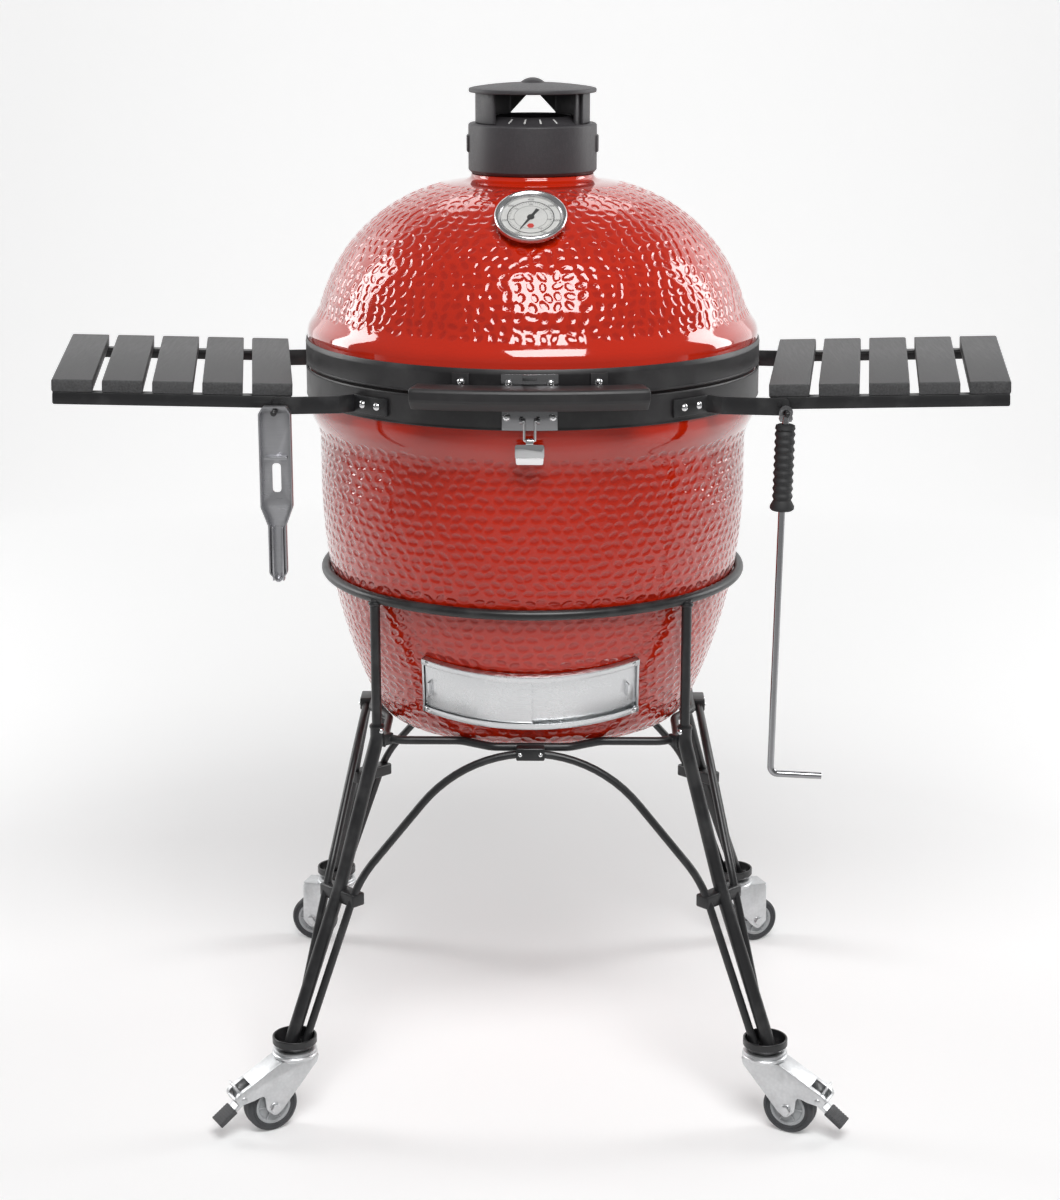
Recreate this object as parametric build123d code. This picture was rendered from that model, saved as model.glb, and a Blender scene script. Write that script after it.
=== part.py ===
from build123d import *

import os
from math import asin, atan2, cos, degrees, pi, radians, sin, sqrt, tan

# Kamado ceramic grill on a round-bar cart. Millimetres, +Z up, front towards -Y.
# The origin is on the floor, below the axis of the bowl.

# ------------------------------------------------------------------ fits
SEAT = 0.3            # between pieces that rest on each other
RUN = 0.05            # radial play of a shaft in its bore
SLIP = 0.6            # beside faces that slide past each other

# ------------------------------------------------------------------ ceramic
RIM_Z = 882.0         # plane where lid and base meet
FELT_T = 3.0          # thickness of each rim gasket
LIP_R = 274.0         # outside of both rims
LIP_WALL = 31.0       # rim thickness
BASE_LIP_Z = 838.0    # lower end of the base rim
BELLY_R = 260.5       # widest part of the bowl
BELLY_Z = 740.0
BELLY_TOP_Z = 788.0   # where the rim starts to flare
BELLY_ARC = 655.0     # radius of the bowl's side
BOWL_Z = 440.0        # underside of the bowl
FOOT_ARC = 38.0       # rounded foot
BOWL_WALL = 26.0
LID_LIP_Z = 920.0     # upper end of the lid rim
SHOULDER_R = 257.0    # where the lid's rim blends into the dome
SHOULDER_Z = 955.0
DOME_ARC = 201.5      # radius of the dome's side
DOME_ARC_R = 63.3     # how far that arc's centre stands from the axis
DOME_WALL = 24.0
NECK_R = 74.0
NECK_TOP_Z = 1108.0
FLUE_R = 52.0
FELT_INSET = 3.0      # gasket edge inside the rim's outer face
FELT_W = 24.0

# ------------------------------------------------------------------ bands
BAND_T = 2.0
BASE_BAND_Z = 845.0   # lower edge of the base band
LID_BAND_Z = 914.0    # upper edge of the lid band
BAND_GAP = 3.4        # between the two bands
BAND_BEVEL = 4.5      # sloped strip along the lid band's top
BOLT_HEAD_R = 4.6
BOLT_HEAD_H = 3.0

# ------------------------------------------------------------------ draft door
DRAFT_Z = 513.5       # height of the door's centre on the bowl
DRAFT_HALF_ANGLE = 32.0
DRAFT_H = 77.0
DRAFT_STANDOFF = 0.95  # the frame touches the glaze only near its ends
DRAFT_LIP = 8.0       # height of each channel's lip
SHEET = 1.5
DRAFT_HOLE_W = 170.0
DRAFT_HOLE_H = 40.0

# ------------------------------------------------------------------ insides
FIREBOX_FOOT_R = 160.0
FIREBOX_TOP_R = 212.0
FIREBOX_TOP_Z = 690.0
FIREBOX_WALL = 18.0
FIREBOX_FLOOR_Z = 560.0
FIREBOX_FLOOR_T = 16.0
ASH_HOLE_R = 84.0
COAL_GRATE_R = 112.0
COAL_GRATE_T = 8.0
COAL_SLOTS = 7
FIRE_RING_TOP_Z = 770.0
RACK_ROD_R = 4.0
RACK_R = 218.0
RACK_TOP_Z = 852.0
GRATE_R = 225.0
GRATE_ROD_R = 3.0
GRATE_GAP = 6.0       # between the two half-moon grates
GRATE_PITCH = 19.0

# ------------------------------------------------------------------ thermometer
DIAL_AXIS_DEG = 54.0  # tilt of the dial's axis above level
DIAL_FOOT_R = 176.5   # where its axis leaves the dome
DIAL_CASE_R = 41.5
DIAL_CASE_T = 9.0
DIAL_LIFT = 5.0       # case above the glaze
DIAL_RIM_W = 6.0
STEM_R = 4.0
STEM_L = 92.0

# ------------------------------------------------------------------ vent
COLLAR_R = 77.0
COLLAR_H = 59.0        # top of the collar above the neck
COLLAR_CHAMFER = 4.0
LUG_H = 20.0
CAP_R = 68.5
CAP_WALL = 3.0
ROOF_R = 76.3
CAP_H = 36.0           # underside of the roof above the collar
ROOF_T = 5.0
CROWN_H = 6.5         # rise of the domed roof above its rim
BUTTON_R = 15.0
BUTTON_H = 12.0        # above the roof's rim
TOTAL_H = 1220.0       # floor to button; the cart's legs take up any change
CAP_TURN = 10.0       # rest angle of the cap
WINDOW_ANGLE = 101.0
PIVOT_R = 4.0

# ------------------------------------------------------------------ lid handle and latch
HANDLE_L = 268.0
HANDLE_D = 38.0
HANDLE_H = 24.5
HANDLE_TOP_Z = 898.0
HANDLE_STANDOFF = 7.0  # behind the bar's middle
HANDLE_ARC = 620.0     # radius of the bar's gentle bow
BRACKET_X = 77.0
BRACKET_W = 20.0
PLATE_T = 3.0
CATCH_W = 64.0
LATCH_W = 62.0
LATCH_BOLT_X = 26.0
LATCH_AXIS_Z = 858.0
LATCH_STANDOFF = 5.0   # barrel axis in front of the plate
BARREL_R = 3.6
BARREL_HALF = 11.5
WIRE_R = 1.5
WIRE_X = 6.0
BAIL_DROP = 23.0
TAB_W = 33.0
TAB_L = 26.0
TAB_T = 1.6

# ------------------------------------------------------------------ rear hinge
HINGE_REACH = 323.0    # hinge pin behind the axis
HINGE_Z = 866.0
HINGE_PIN_R = 5.0
HINGE_EAR_R = 14.0
HINGE_EAR_T = 5.0
HINGE_HALF_W = 46.0    # outer face of the base ears
HINGE_GUARD = 344.3    # rear face of the cross plate

# ------------------------------------------------------------------ side shelves
SLATS = 5
SLAT_W = 46.0
SLAT_GAP = 10.5
SLAT_T = 14.5
SHELF_D = 345.0
SHELF_Z = 886.5        # top at the hinge edge
SHELF_X = 272.0        # front inner corner
SHELF_Y = -208.0
SHELF_YAW = 7.0        # each shelf opens outward towards the rear
SHELF_RISE = 2.2       # outer end higher
RAIL_H = 14.0
RAIL_W = 16.0
RAIL_T = 3.0
RAIL_PIVOT_X = 12.0
RAIL_PIN_R = 3.0
ARM_H = 20.0
ARM_T = 3.0
ARM_END = 24.0         # arm beyond the shelf's inner edge
ARM_RUN = 52.0         # straight run before it

# ------------------------------------------------------------------ hanging tools
PEG_R = 2.5
PEG_L = 24.0
GRIPPER_W = 37.0
GRIPPER_L = 205.0
GRIPPER_D = 12.0
ASH_TOOL_L = 440.0
ASH_GRIP_L = 109.0       # from the rod's upper end
ASH_GRIP_R = 13.0
ASH_ROD_R = 4.0
ASH_FOOT_L = 60.0
ASH_SLANT = 7.0        # the rod hangs a little out of plumb

# ------------------------------------------------------------------ cart
BAR_R = 6.0            # ring and posts
RING_Z = 626.0
POST_Q = 184.0         # post position along each axis
TUBE_R = 8.2           # leg tubes
TUBE_TOP_Z = 470.0
SOCKET_DEPTH = 11.0
KNEE_Z = 452.0
KNEE_ARC = 40.0
SHIN_ARC = 300.0
SHIN_Q = 227.0
SHIN_Z = 284.0
LEG_FOOT_Q = 288.5
LEG_FOOT_Z = 94.0
CUP_Q = 281.0          # caster axis along each axis
CUP_TOP_Z = 113.0
ARCH_R = 4.8
ARCH_LEAN = 12.0
ARCH_ROOT_Z = 109.0    # where the lean starts, above the caster axis
ARCH_FOOT_X = 271.6
ARCH_FOOT_S = -16.0    # distances up the lean
ARCH_KNEE_X = 204.0
ARCH_KNEE_S = 190.0
ARCH_PEAK_S = 437.0
ARCH_TOP_ARC = 167.0
ARCH_KNEE_ARC = 150.0
HOOP_R = 5.0
HOOP_SIDE = 176.0
HOOP_BULGE = 200.0     # middle of each side stands further out
HOOP_JOG_X = 84.0
HOOP_JOG_W = 46.0
HOOP_BEND = 26.0
APEX_CLAMP_W = 34.0
SHIN_CLAMP_DROP = 13.0 # below the bend in the leg

# ------------------------------------------------------------------ casters
WHEEL_R = 31.5
WHEEL_W = 22.0
HUB_R = 22.0
AXLE_R = 4.0
TRAIL = 34.0
CUP_R = 26.5
CUP_FLOOR_Z = 98.5
CUP_WALL = 2.5
BEARING_R = 27.0
BEARING_H = 10.0
KINGPIN_R = 5.5
CHEEK_T = 2.5
CHEEK_GAP = 2.5        # beside the wheel
BRAKE_PIN_X = 73.0
BRAKE_PIN_Z = 51.0
BRAKE_W = 18.0
CASTER_TURN = {        # rest heading of each fork, anticlockwise from +X
    "front_left": 210.0,
    "front_right": -26.0,
    "rear_left": 164.0,
    "rear_right": 22.0,
}

# ------------------------------------------------------------------ derived places
BASE_RIM_Z = RIM_Z - SEAT / 2 - FELT_T
LID_RIM_Z = RIM_Z + SEAT / 2 + FELT_T
BAND_IN_R = LIP_R + SEAT
BAND_R = BAND_IN_R + BAND_T
BASE_BAND_TOP = RIM_Z - BAND_GAP / 2
LID_BAND_BOTTOM = RIM_Z + BAND_GAP / 2
AXLE_Z = WHEEL_R
COLLAR_TOP_Z = NECK_TOP_Z + COLLAR_H
ROOF_Z = COLLAR_TOP_Z + CAP_H
LIFT = TOTAL_H - ROOF_Z - ROOF_T - BUTTON_H    # of the grill above its heights here, 0 on these legs
RING_R = BELLY_R - BELLY_ARC + sqrt((BELLY_ARC + BAR_R + SEAT) ** 2 - (BELLY_Z - RING_Z) ** 2)
SHELF_W = SLATS * SLAT_W + (SLATS - 1) * SLAT_GAP

parts = {}


def revolved(*edges):
    """Solid of revolution about Z from a closed outline in the X-Z plane."""
    return revolve(make_face(Wire(edges)), Axis.Z)


def outline(points):
    """Closed straight-sided outline in the X-Z plane, as a list of edges."""
    ends = points[1:] + points[:1]
    return [Line((a[0], 0, a[1]), (b[0], 0, b[1])) for a, b in zip(points, ends)]


def ring_solid(r_in, r_out, z_low, z_high):
    """Plain ring about the Z axis."""
    return revolved(*outline([(r_in, z_low), (r_out, z_low), (r_out, z_high), (r_in, z_high)]))


def round_ring(radius, z, bar_r):
    """Ring of round bar about the Z axis."""
    return revolve(Pos(radius, 0, z) * Rot(90, 0, 0) * Circle(bar_r), Axis.Z)


def rod(start, end, radius):
    """Round bar between two points."""
    a = Vector(*start)
    b = Vector(*end)
    return Solid.make_cylinder(radius, (b - a).length, Plane(origin=a, z_dir=b - a))


def bent_bar(points, radius, bends, closed=False):
    """Round bar along a polyline with rounded corners."""
    path = FilletPolyline(*points, radius=bends, close=closed)
    start = path @ 0
    section = Plane(origin=start, z_dir=path % 0) * Circle(radius)
    return sweep(section, path=path)


def block(x, y, z):
    """Box from three (low, high) pairs."""
    size = (x[1] - x[0], y[1] - y[0], z[1] - z[0])
    centre = ((x[0] + x[1]) / 2, (y[0] + y[1]) / 2, (z[0] + z[1]) / 2)
    return Pos(*centre) * Box(*size)


def sector(r_in, r_out, z_low, z_high, start_deg, end_deg):
    """Part of a ring between two headings, anticlockwise from +X."""
    profile = make_face(Wire(outline([(r_in, z_low), (r_out, z_low), (r_out, z_high), (r_in, z_high)])))
    return Rot(0, 0, start_deg) * revolve(profile, Axis.Z, end_deg - start_deg)


def fused(pieces):
    """One solid from pieces that overlap."""
    result = pieces[0]
    for piece in pieces[1:]:
        result = result + piece
    return result


def group(pieces):
    """Separate solids kept together in one node."""
    solids = []
    for piece in pieces:
        solids.extend(piece.solids())
    return Compound(children=solids)


def dome_bolt(place, head_r=BOLT_HEAD_R, head_h=BOLT_HEAD_H):
    """Domed bolt head standing on a face; the place's +Z points away from it."""
    arc_r = (head_r ** 2 + head_h ** 2) / (2 * head_h)
    cap = Pos(0, 0, head_h - arc_r) * Sphere(arc_r)
    keep = Pos(0, 0, arc_r) * Box(4 * head_r, 4 * head_r, 2 * arc_r)
    return place * (cap & keep)


def radial_place(radius, heading_deg, z):
    """Plane on a vertical cylinder, facing outward."""
    a = radians(heading_deg)
    out = Vector(cos(a), sin(a), 0)
    return Plane(origin=(radius * cos(a), radius * sin(a), z), z_dir=out)


# ================================================================== ceramic
def bowl_side(belly_r, side_arc, floor_z, corner):
    """Edges from the flat foot, round the corner and up the side to the belly."""
    side_c = belly_r - side_arc
    reach = side_arc - corner
    corner_z = floor_z + corner
    corner_c = side_c + sqrt(reach ** 2 - (BELLY_Z - corner_z) ** 2)
    low = atan2(corner_z - BELLY_Z, corner_c - side_c)
    tangent = (side_c + side_arc * cos(low), BELLY_Z + side_arc * sin(low))
    half = (low - pi / 2) / 2
    corner_mid = (corner_c + corner * cos(half), corner_z + corner * sin(half))
    side_mid = (side_c + side_arc * cos(low / 2), BELLY_Z + side_arc * sin(low / 2))
    foot = (corner_c, floor_z)
    belly = (belly_r, BELLY_Z)
    return foot, [
        ThreePointArc((foot[0], 0, foot[1]), (corner_mid[0], 0, corner_mid[1]), (tangent[0], 0, tangent[1])),
        ThreePointArc((tangent[0], 0, tangent[1]), (side_mid[0], 0, side_mid[1]), (belly[0], 0, belly[1])),
    ]


def flare(r_low, z_low, r_high, z_high):
    """S-shaped step between two upright walls."""
    mid = (z_low + z_high) / 2
    return Bezier((r_low, 0, z_low), (r_low, 0, mid), (r_high, 0, mid), (r_high, 0, z_high))


def line_xz(a, b):
    return Line((a[0], 0, a[1]), (b[0], 0, b[1]))


def make_ceramic_base():
    inner_belly = BELLY_R - BOWL_WALL
    inner_lip = LIP_R - LIP_WALL
    floor_top = BOWL_Z + BOWL_WALL
    foot, outer = bowl_side(BELLY_R, BELLY_ARC, BOWL_Z, FOOT_ARC)
    inner_foot, inner = bowl_side(inner_belly, BELLY_ARC - BOWL_WALL, floor_top, FOOT_ARC / 2)
    edges = [line_xz((0, BOWL_Z), foot)] + outer
    edges.append(line_xz((BELLY_R, BELLY_Z), (BELLY_R, BELLY_TOP_Z)))
    edges.append(flare(BELLY_R, BELLY_TOP_Z, LIP_R, BASE_LIP_Z))
    edges.append(line_xz((LIP_R, BASE_LIP_Z), (LIP_R, BASE_RIM_Z)))
    edges.append(line_xz((LIP_R, BASE_RIM_Z), (inner_lip, BASE_RIM_Z)))
    edges.append(line_xz((inner_lip, BASE_RIM_Z), (inner_lip, BASE_LIP_Z)))
    edges.append(flare(inner_lip, BASE_LIP_Z, inner_belly, BELLY_TOP_Z))
    edges.append(line_xz((inner_belly, BELLY_TOP_Z), (inner_belly, BELLY_Z)))
    edges.extend(inner)
    edges.append(line_xz(inner_foot, (0, floor_top)))
    edges.append(line_xz((0, floor_top), (0, BOWL_Z)))
    bowl = revolved(*edges)
    hole = DRAFT_PLACE * Box(DRAFT_HOLE_W, 2 * BOWL_WALL + 44, DRAFT_HOLE_H)
    return bowl - Pos(*DRAFT_SHIFT) * hole


def dome_point(radius, z):
    """Distance from the axis of the dome arc of this radius at a height."""
    return DOME_ARC_R + sqrt(radius ** 2 - (z - DOME_ARC_Z) ** 2)


DOME_ARC_Z = SHOULDER_Z - sqrt(DOME_ARC ** 2 - (SHOULDER_R - DOME_ARC_R) ** 2)


def dome_normal(radius_from_axis):
    """Height and upward tilt of the dome's face at a distance from the axis."""
    rise = sqrt(DOME_ARC ** 2 - (radius_from_axis - DOME_ARC_R) ** 2)
    return DOME_ARC_Z + rise, degrees(atan2(rise, radius_from_axis - DOME_ARC_R))


def make_ceramic_dome():
    inner_arc = DOME_ARC - DOME_WALL
    inner_lip = LIP_R - LIP_WALL
    shoulder_tangent = (SHOULDER_Z - DOME_ARC_Z) / DOME_ARC
    shoulder_slope = (SHOULDER_R - DOME_ARC_R) / DOME_ARC
    blend = (SHOULDER_Z - LID_LIP_Z) / 2
    neck_foot_r = NECK_R + 14.0
    neck_foot_z, _ = dome_normal(neck_foot_r)
    mid_angle = (atan2(SHOULDER_Z - DOME_ARC_Z, SHOULDER_R - DOME_ARC_R)
                 + atan2(neck_foot_z - DOME_ARC_Z, neck_foot_r - DOME_ARC_R)) / 2
    outer_mid = (DOME_ARC_R + DOME_ARC * cos(mid_angle), DOME_ARC_Z + DOME_ARC * sin(mid_angle))
    inner_top = DOME_ARC_Z + sqrt(inner_arc ** 2 - (FLUE_R - DOME_ARC_R) ** 2)
    inner_side = (DOME_ARC_R + inner_arc, DOME_ARC_Z)
    inner_mid = (DOME_ARC_R + inner_arc * cos(pi / 4), DOME_ARC_Z + inner_arc * sin(pi / 4))
    edges = [
        line_xz((inner_lip, LID_RIM_Z), (LIP_R, LID_RIM_Z)),
        line_xz((LIP_R, LID_RIM_Z), (LIP_R, LID_LIP_Z)),
        Bezier(
            (LIP_R, 0, LID_LIP_Z),
            (LIP_R, 0, LID_LIP_Z + 0.8 * blend),
            (SHOULDER_R + blend * shoulder_tangent, 0, SHOULDER_Z - blend * shoulder_slope),
            (SHOULDER_R, 0, SHOULDER_Z),
        ),
        ThreePointArc((SHOULDER_R, 0, SHOULDER_Z), (outer_mid[0], 0, outer_mid[1]), (neck_foot_r, 0, neck_foot_z)),
        Bezier(
            (neck_foot_r, 0, neck_foot_z),
            (NECK_R + 4, 0, neck_foot_z + 1.3),
            (NECK_R, 0, neck_foot_z + 3.5),
            (NECK_R, 0, NECK_TOP_Z),
        ),
        line_xz((NECK_R, NECK_TOP_Z), (FLUE_R, NECK_TOP_Z)),
        line_xz((FLUE_R, NECK_TOP_Z), (FLUE_R, inner_top)),
        ThreePointArc((FLUE_R, 0, inner_top), (inner_mid[0], 0, inner_mid[1]), (inner_side[0], 0, inner_side[1])),
        line_xz(inner_side, (inner_lip, LID_RIM_Z)),
    ]
    dome = revolved(*edges)
    bore = Solid.make_cylinder(STEM_R + SEAT, 4 * DOME_WALL, DIAL_PLACE)
    return dome - bore.moved(Location(DIAL_PLACE.z_dir * (-2 * DOME_WALL)))


# the dial's own plane: origin on the glaze, +Z out along its axis
DIAL_FOOT_Z, _ = dome_normal(DIAL_FOOT_R)
DIAL_PLACE = Plane(
    origin=(0, -DIAL_FOOT_R, DIAL_FOOT_Z),
    x_dir=(1, 0, 0),
    z_dir=(0, -cos(radians(DIAL_AXIS_DEG)), sin(radians(DIAL_AXIS_DEG))),
)

# the draft door's own plane: +Z up along the bowl's slope, -Y out of the bowl
DRAFT_FALL = asin((BELLY_Z - DRAFT_Z) / BELLY_ARC)
DRAFT_FACE_R = BELLY_R - BELLY_ARC * (1 - cos(DRAFT_FALL))
DRAFT_ARC = DRAFT_FACE_R / cos(DRAFT_FALL)
DRAFT_PLACE = Plane(
    origin=(0, -DRAFT_FACE_R + DRAFT_ARC * cos(DRAFT_FALL), DRAFT_Z + DRAFT_ARC * sin(DRAFT_FALL)),
    x_dir=(1, 0, 0),
    z_dir=(0, -sin(DRAFT_FALL), cos(DRAFT_FALL)),
)
DRAFT_SHIFT = tuple(DRAFT_PLACE.y_dir * (-DRAFT_ARC))


def make_gaskets():
    outer = LIP_R - FELT_INSET
    inner = outer - FELT_W
    parts["base_gasket"] = ring_solid(inner, outer, BASE_RIM_Z, BASE_RIM_Z + FELT_T)
    parts["lid_gasket"] = ring_solid(inner, outer, LID_RIM_Z - FELT_T, LID_RIM_Z)


# ================================================================== insides
def make_firebox():
    low = BOWL_Z + BOWL_WALL + SEAT
    foot_in = FIREBOX_FOOT_R - FIREBOX_WALL
    floor_low = FIREBOX_FLOOR_Z - FIREBOX_FLOOR_T
    slope = (FIREBOX_TOP_R - FIREBOX_FOOT_R) / (FIREBOX_TOP_Z - low)

    def wall_r(z):
        return FIREBOX_FOOT_R + slope * (z - low)

    top_in = FIREBOX_TOP_R - FIREBOX_WALL
    body = revolved(*outline([
        (foot_in, low),
        (FIREBOX_FOOT_R, low),
        (FIREBOX_TOP_R, FIREBOX_TOP_Z),
        (top_in, FIREBOX_TOP_Z),
        (wall_r(FIREBOX_FLOOR_Z) - FIREBOX_WALL, FIREBOX_FLOOR_Z),
        (ASH_HOLE_R, FIREBOX_FLOOR_Z),
        (ASH_HOLE_R, floor_low),
        (wall_r(floor_low) - FIREBOX_WALL, floor_low),
    ]))
    mouth = block(
        (-DRAFT_HOLE_W / 2, DRAFT_HOLE_W / 2),
        (-FIREBOX_TOP_R, -FIREBOX_FOOT_R / 2),
        (low - SEAT, floor_low),
    )
    return body - mouth


def make_coal_grate():
    low = FIREBOX_FLOOR_Z + SEAT
    disc = Solid.make_cylinder(COAL_GRATE_R, COAL_GRATE_T, Plane(origin=(0, 0, low)))
    pitch = 2 * (COAL_GRATE_R - 20) / COAL_SLOTS
    for i in range(COAL_SLOTS):
        x = (i - (COAL_SLOTS - 1) / 2) * pitch
        half = sqrt((COAL_GRATE_R - 14) ** 2 - x ** 2)
        for y_low, y_high in ((-half, -5), (5, half)):
            disc = disc - block((x - 4.5, x + 4.5), (y_low, y_high), (low - 1, low + COAL_GRATE_T + 1))
    return disc


def make_fire_ring():
    low = FIREBOX_TOP_Z + SEAT
    return ring_solid(FIREBOX_TOP_R - FIREBOX_WALL, FIREBOX_TOP_R, low, FIRE_RING_TOP_Z)


def make_rack():
    low_z = FIRE_RING_TOP_Z + SEAT + RACK_ROD_R
    low_r = FIREBOX_TOP_R - FIREBOX_WALL / 2
    pieces = [round_ring(RACK_R, RACK_TOP_Z, RACK_ROD_R), round_ring(low_r, low_z, RACK_ROD_R)]
    for i in range(4):
        upright = block((low_r - 2, RACK_R + 2), (-2, 2), (low_z, RACK_TOP_Z))
        pieces.append(Rot(0, 0, 45 + 90 * i) * upright)
    return fused(pieces)


def make_cooking_grate(side):
    """Half-moon grate; side is -1 for the left one and 1 for the right one."""
    z = RACK_TOP_Z + RACK_ROD_R + SEAT + GRATE_ROD_R
    rim_r = GRATE_R - GRATE_ROD_R
    chord = GRATE_GAP / 2 + GRATE_ROD_R
    start = degrees(asin(chord / rim_r))
    rim = Edge.make_circle(rim_r, Plane(origin=(0, 0, z)), start - 90, 90 - start)
    end = rim_r * cos(radians(start))
    pieces = [sweep(Plane(origin=rim @ 0, z_dir=rim % 0) * Circle(GRATE_ROD_R), path=rim)]
    pieces.append(rod((chord, -end, z), (chord, end, z), GRATE_ROD_R))
    pieces.append(Pos(chord, -end, z) * Sphere(GRATE_ROD_R))
    pieces.append(Pos(chord, end, z) * Sphere(GRATE_ROD_R))
    count = int((rim_r - chord) / GRATE_PITCH)
    for i in range(1, count + 1):
        x = chord + i * GRATE_PITCH
        half = sqrt(rim_r ** 2 - x ** 2)
        pieces.append(rod((x, -half, z), (x, half, z), GRATE_ROD_R * 0.8))
    grate = fused(pieces)
    return grate if side > 0 else grate.mirror(Plane.YZ)


# ================================================================== bands, handle and latch
def make_bands():
    parts["base_band"] = revolved(*outline([
        (BAND_IN_R, BASE_BAND_Z),
        (BAND_R - 0.6, BASE_BAND_Z),
        (BAND_R, BASE_BAND_Z + 0.6),
        (BAND_R, BASE_BAND_TOP - 0.6),
        (BAND_R - 0.6, BASE_BAND_TOP),
        (BAND_IN_R, BASE_BAND_TOP),
    ]))
    parts["lid_band"] = revolved(*outline([
        (BAND_IN_R, LID_BAND_BOTTOM),
        (BAND_R - 0.6, LID_BAND_BOTTOM),
        (BAND_R, LID_BAND_BOTTOM + 0.6),
        (BAND_R, LID_BAND_Z - BAND_BEVEL),
        (BAND_R - BAND_T / 2, LID_BAND_Z),
        (BAND_IN_R, LID_BAND_Z),
    ]))


def half_angle(half_width, radius):
    return degrees(asin(half_width / radius))


FRONT = -90.0          # heading of the front, anticlockwise from +X
PAD_IN = BAND_R + SEAT
PAD_OUT = PAD_IN + PLATE_T


def make_handle():
    """Bowed bar with two brackets that stand on the lid band."""
    back_y = -(BAND_R + HANDLE_STANDOFF)
    top = HANDLE_TOP_Z
    bottom = top - HANDLE_H
    arc_c = back_y - HANDLE_D + HANDLE_ARC
    inner = HANDLE_ARC - HANDLE_D
    profile = outline([
        (inner, bottom + 2),
        (inner + 5, bottom),
        (HANDLE_ARC - 9, bottom),
        (HANDLE_ARC, bottom + HANDLE_H / 2),
        (HANDLE_ARC, top - 2),
        (HANDLE_ARC - 2, top),
        (inner + 2, top),
        (inner, top - 2),
    ])
    sweep_deg = 2 * half_angle(HANDLE_L / 2, HANDLE_ARC)
    bar = revolve(make_face(Wire(profile)), Axis.Z, sweep_deg)
    bar = Pos(0, arc_c, 0) * Rot(0, 0, FRONT - sweep_deg / 2) * bar
    pieces = [bar]
    pad_z = (LID_BAND_BOTTOM + 2, LID_BAND_Z - BAND_BEVEL)
    for side in (-1, 1):
        mid = FRONT + side * half_angle(BRACKET_X, PAD_IN)
        spread = half_angle(BRACKET_W / 2, PAD_IN)
        pieces.append(sector(PAD_IN, PAD_OUT, pad_z[0], pad_z[1], mid - spread, mid + spread))
        foot_y = -sqrt(PAD_OUT ** 2 - (BRACKET_X + BRACKET_W / 2) ** 2) - 1.0
        pieces.append(block(
            (side * BRACKET_X - BRACKET_W / 2, side * BRACKET_X + BRACKET_W / 2),
            (back_y - 2.0, foot_y + 1.5),
            (bottom + 10, bottom + 14),
        ))
    return fused(pieces) - Solid.make_cylinder(PAD_IN, ROOF_Z)


def make_catch():
    """Bright plate that the hook tab catches on."""
    spread = half_angle(CATCH_W / 2, PAD_IN)
    top = LID_BAND_Z - BAND_BEVEL
    low = LID_BAND_BOTTOM + 1.5
    plate = sector(PAD_IN, PAD_IN + 2.0, low, top, FRONT - spread, FRONT + spread)
    lip = block((-8, 8), (-(PAD_IN + 5), -(PAD_IN + 1)), (top - 7, top))
    return plate + lip


def make_latch_plate():
    spread = half_angle(LATCH_W / 2, PAD_IN)
    plate = sector(PAD_IN, PAD_OUT, BASE_BAND_Z + 1, BASE_BAND_Z + 28, FRONT - spread, FRONT + spread)
    axis_y = LATCH_Y
    knuckles = []
    gap = WIRE_X + WIRE_R + SEAT
    for low, high in ((-BARREL_HALF, -gap), (gap, BARREL_HALF)):
        barrel = rod((low, axis_y, LATCH_AXIS_Z), (high, axis_y, LATCH_AXIS_Z), BARREL_R)
        web = block((low, high), (axis_y, -PAD_IN - 0.5), (LATCH_AXIS_Z - 2, LATCH_AXIS_Z + 2))
        knuckles.append(barrel + web)
    body = fused([plate] + knuckles)
    bore = rod((-2 * BARREL_HALF, axis_y, LATCH_AXIS_Z), (2 * BARREL_HALF, axis_y, LATCH_AXIS_Z), WIRE_R + RUN)
    return body - bore


LATCH_Y = -(PAD_OUT + LATCH_STANDOFF)
TAB_AXIS_Z = LATCH_AXIS_Z - BAIL_DROP


def make_bail():
    """Wire loop hanging from the barrel, with a crossbar for the tab."""
    pin = rod((-BARREL_HALF, LATCH_Y, LATCH_AXIS_Z), (BARREL_HALF, LATCH_Y, LATCH_AXIS_Z), WIRE_R)
    cross = rod((-WIRE_X, LATCH_Y, TAB_AXIS_Z), (WIRE_X, LATCH_Y, TAB_AXIS_Z), WIRE_R)
    pieces = [pin, cross]
    for side in (-1, 1):
        x = side * WIRE_X
        pieces.append(rod((x, LATCH_Y, TAB_AXIS_Z), (x, LATCH_Y, LATCH_AXIS_Z), WIRE_R))
        pieces.append(Pos(x, LATCH_Y, TAB_AXIS_Z) * Sphere(WIRE_R))
    return fused(pieces)


def make_tab():
    """Bent hook tab that hangs on the bail's crossbar."""
    curl_half = WIRE_X - WIRE_R - SEAT
    curl = rod((-curl_half, LATCH_Y, TAB_AXIS_Z), (curl_half, LATCH_Y, TAB_AXIS_Z), WIRE_R + RUN + TAB_T)
    top = TAB_AXIS_Z - WIRE_R - SEAT - TAB_T
    front = LATCH_Y - WIRE_R - RUN
    neck = block((-curl_half, curl_half), (front - TAB_T, front), (top - 2, TAB_AXIS_Z))
    flat = block((-TAB_W / 2, TAB_W / 2), (front - TAB_T, front), (top - 0.62 * TAB_L, top))
    low = top - 0.62 * TAB_L
    lip_place = Plane(origin=(0, front - TAB_T, low), x_dir=(1, 0, 0), z_dir=(0, 0.5, -0.87))
    lip = lip_place * (Pos(0, 0, 0.19 * TAB_L) * Box(TAB_W - 3, TAB_T, 0.38 * TAB_L))
    lip = Pos(0, TAB_T / 2, 0) * lip
    bore = rod((-TAB_W, LATCH_Y, TAB_AXIS_Z), (TAB_W, LATCH_Y, TAB_AXIS_Z), WIRE_R + RUN)
    return fused([curl, neck, flat, lip]) - bore


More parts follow.
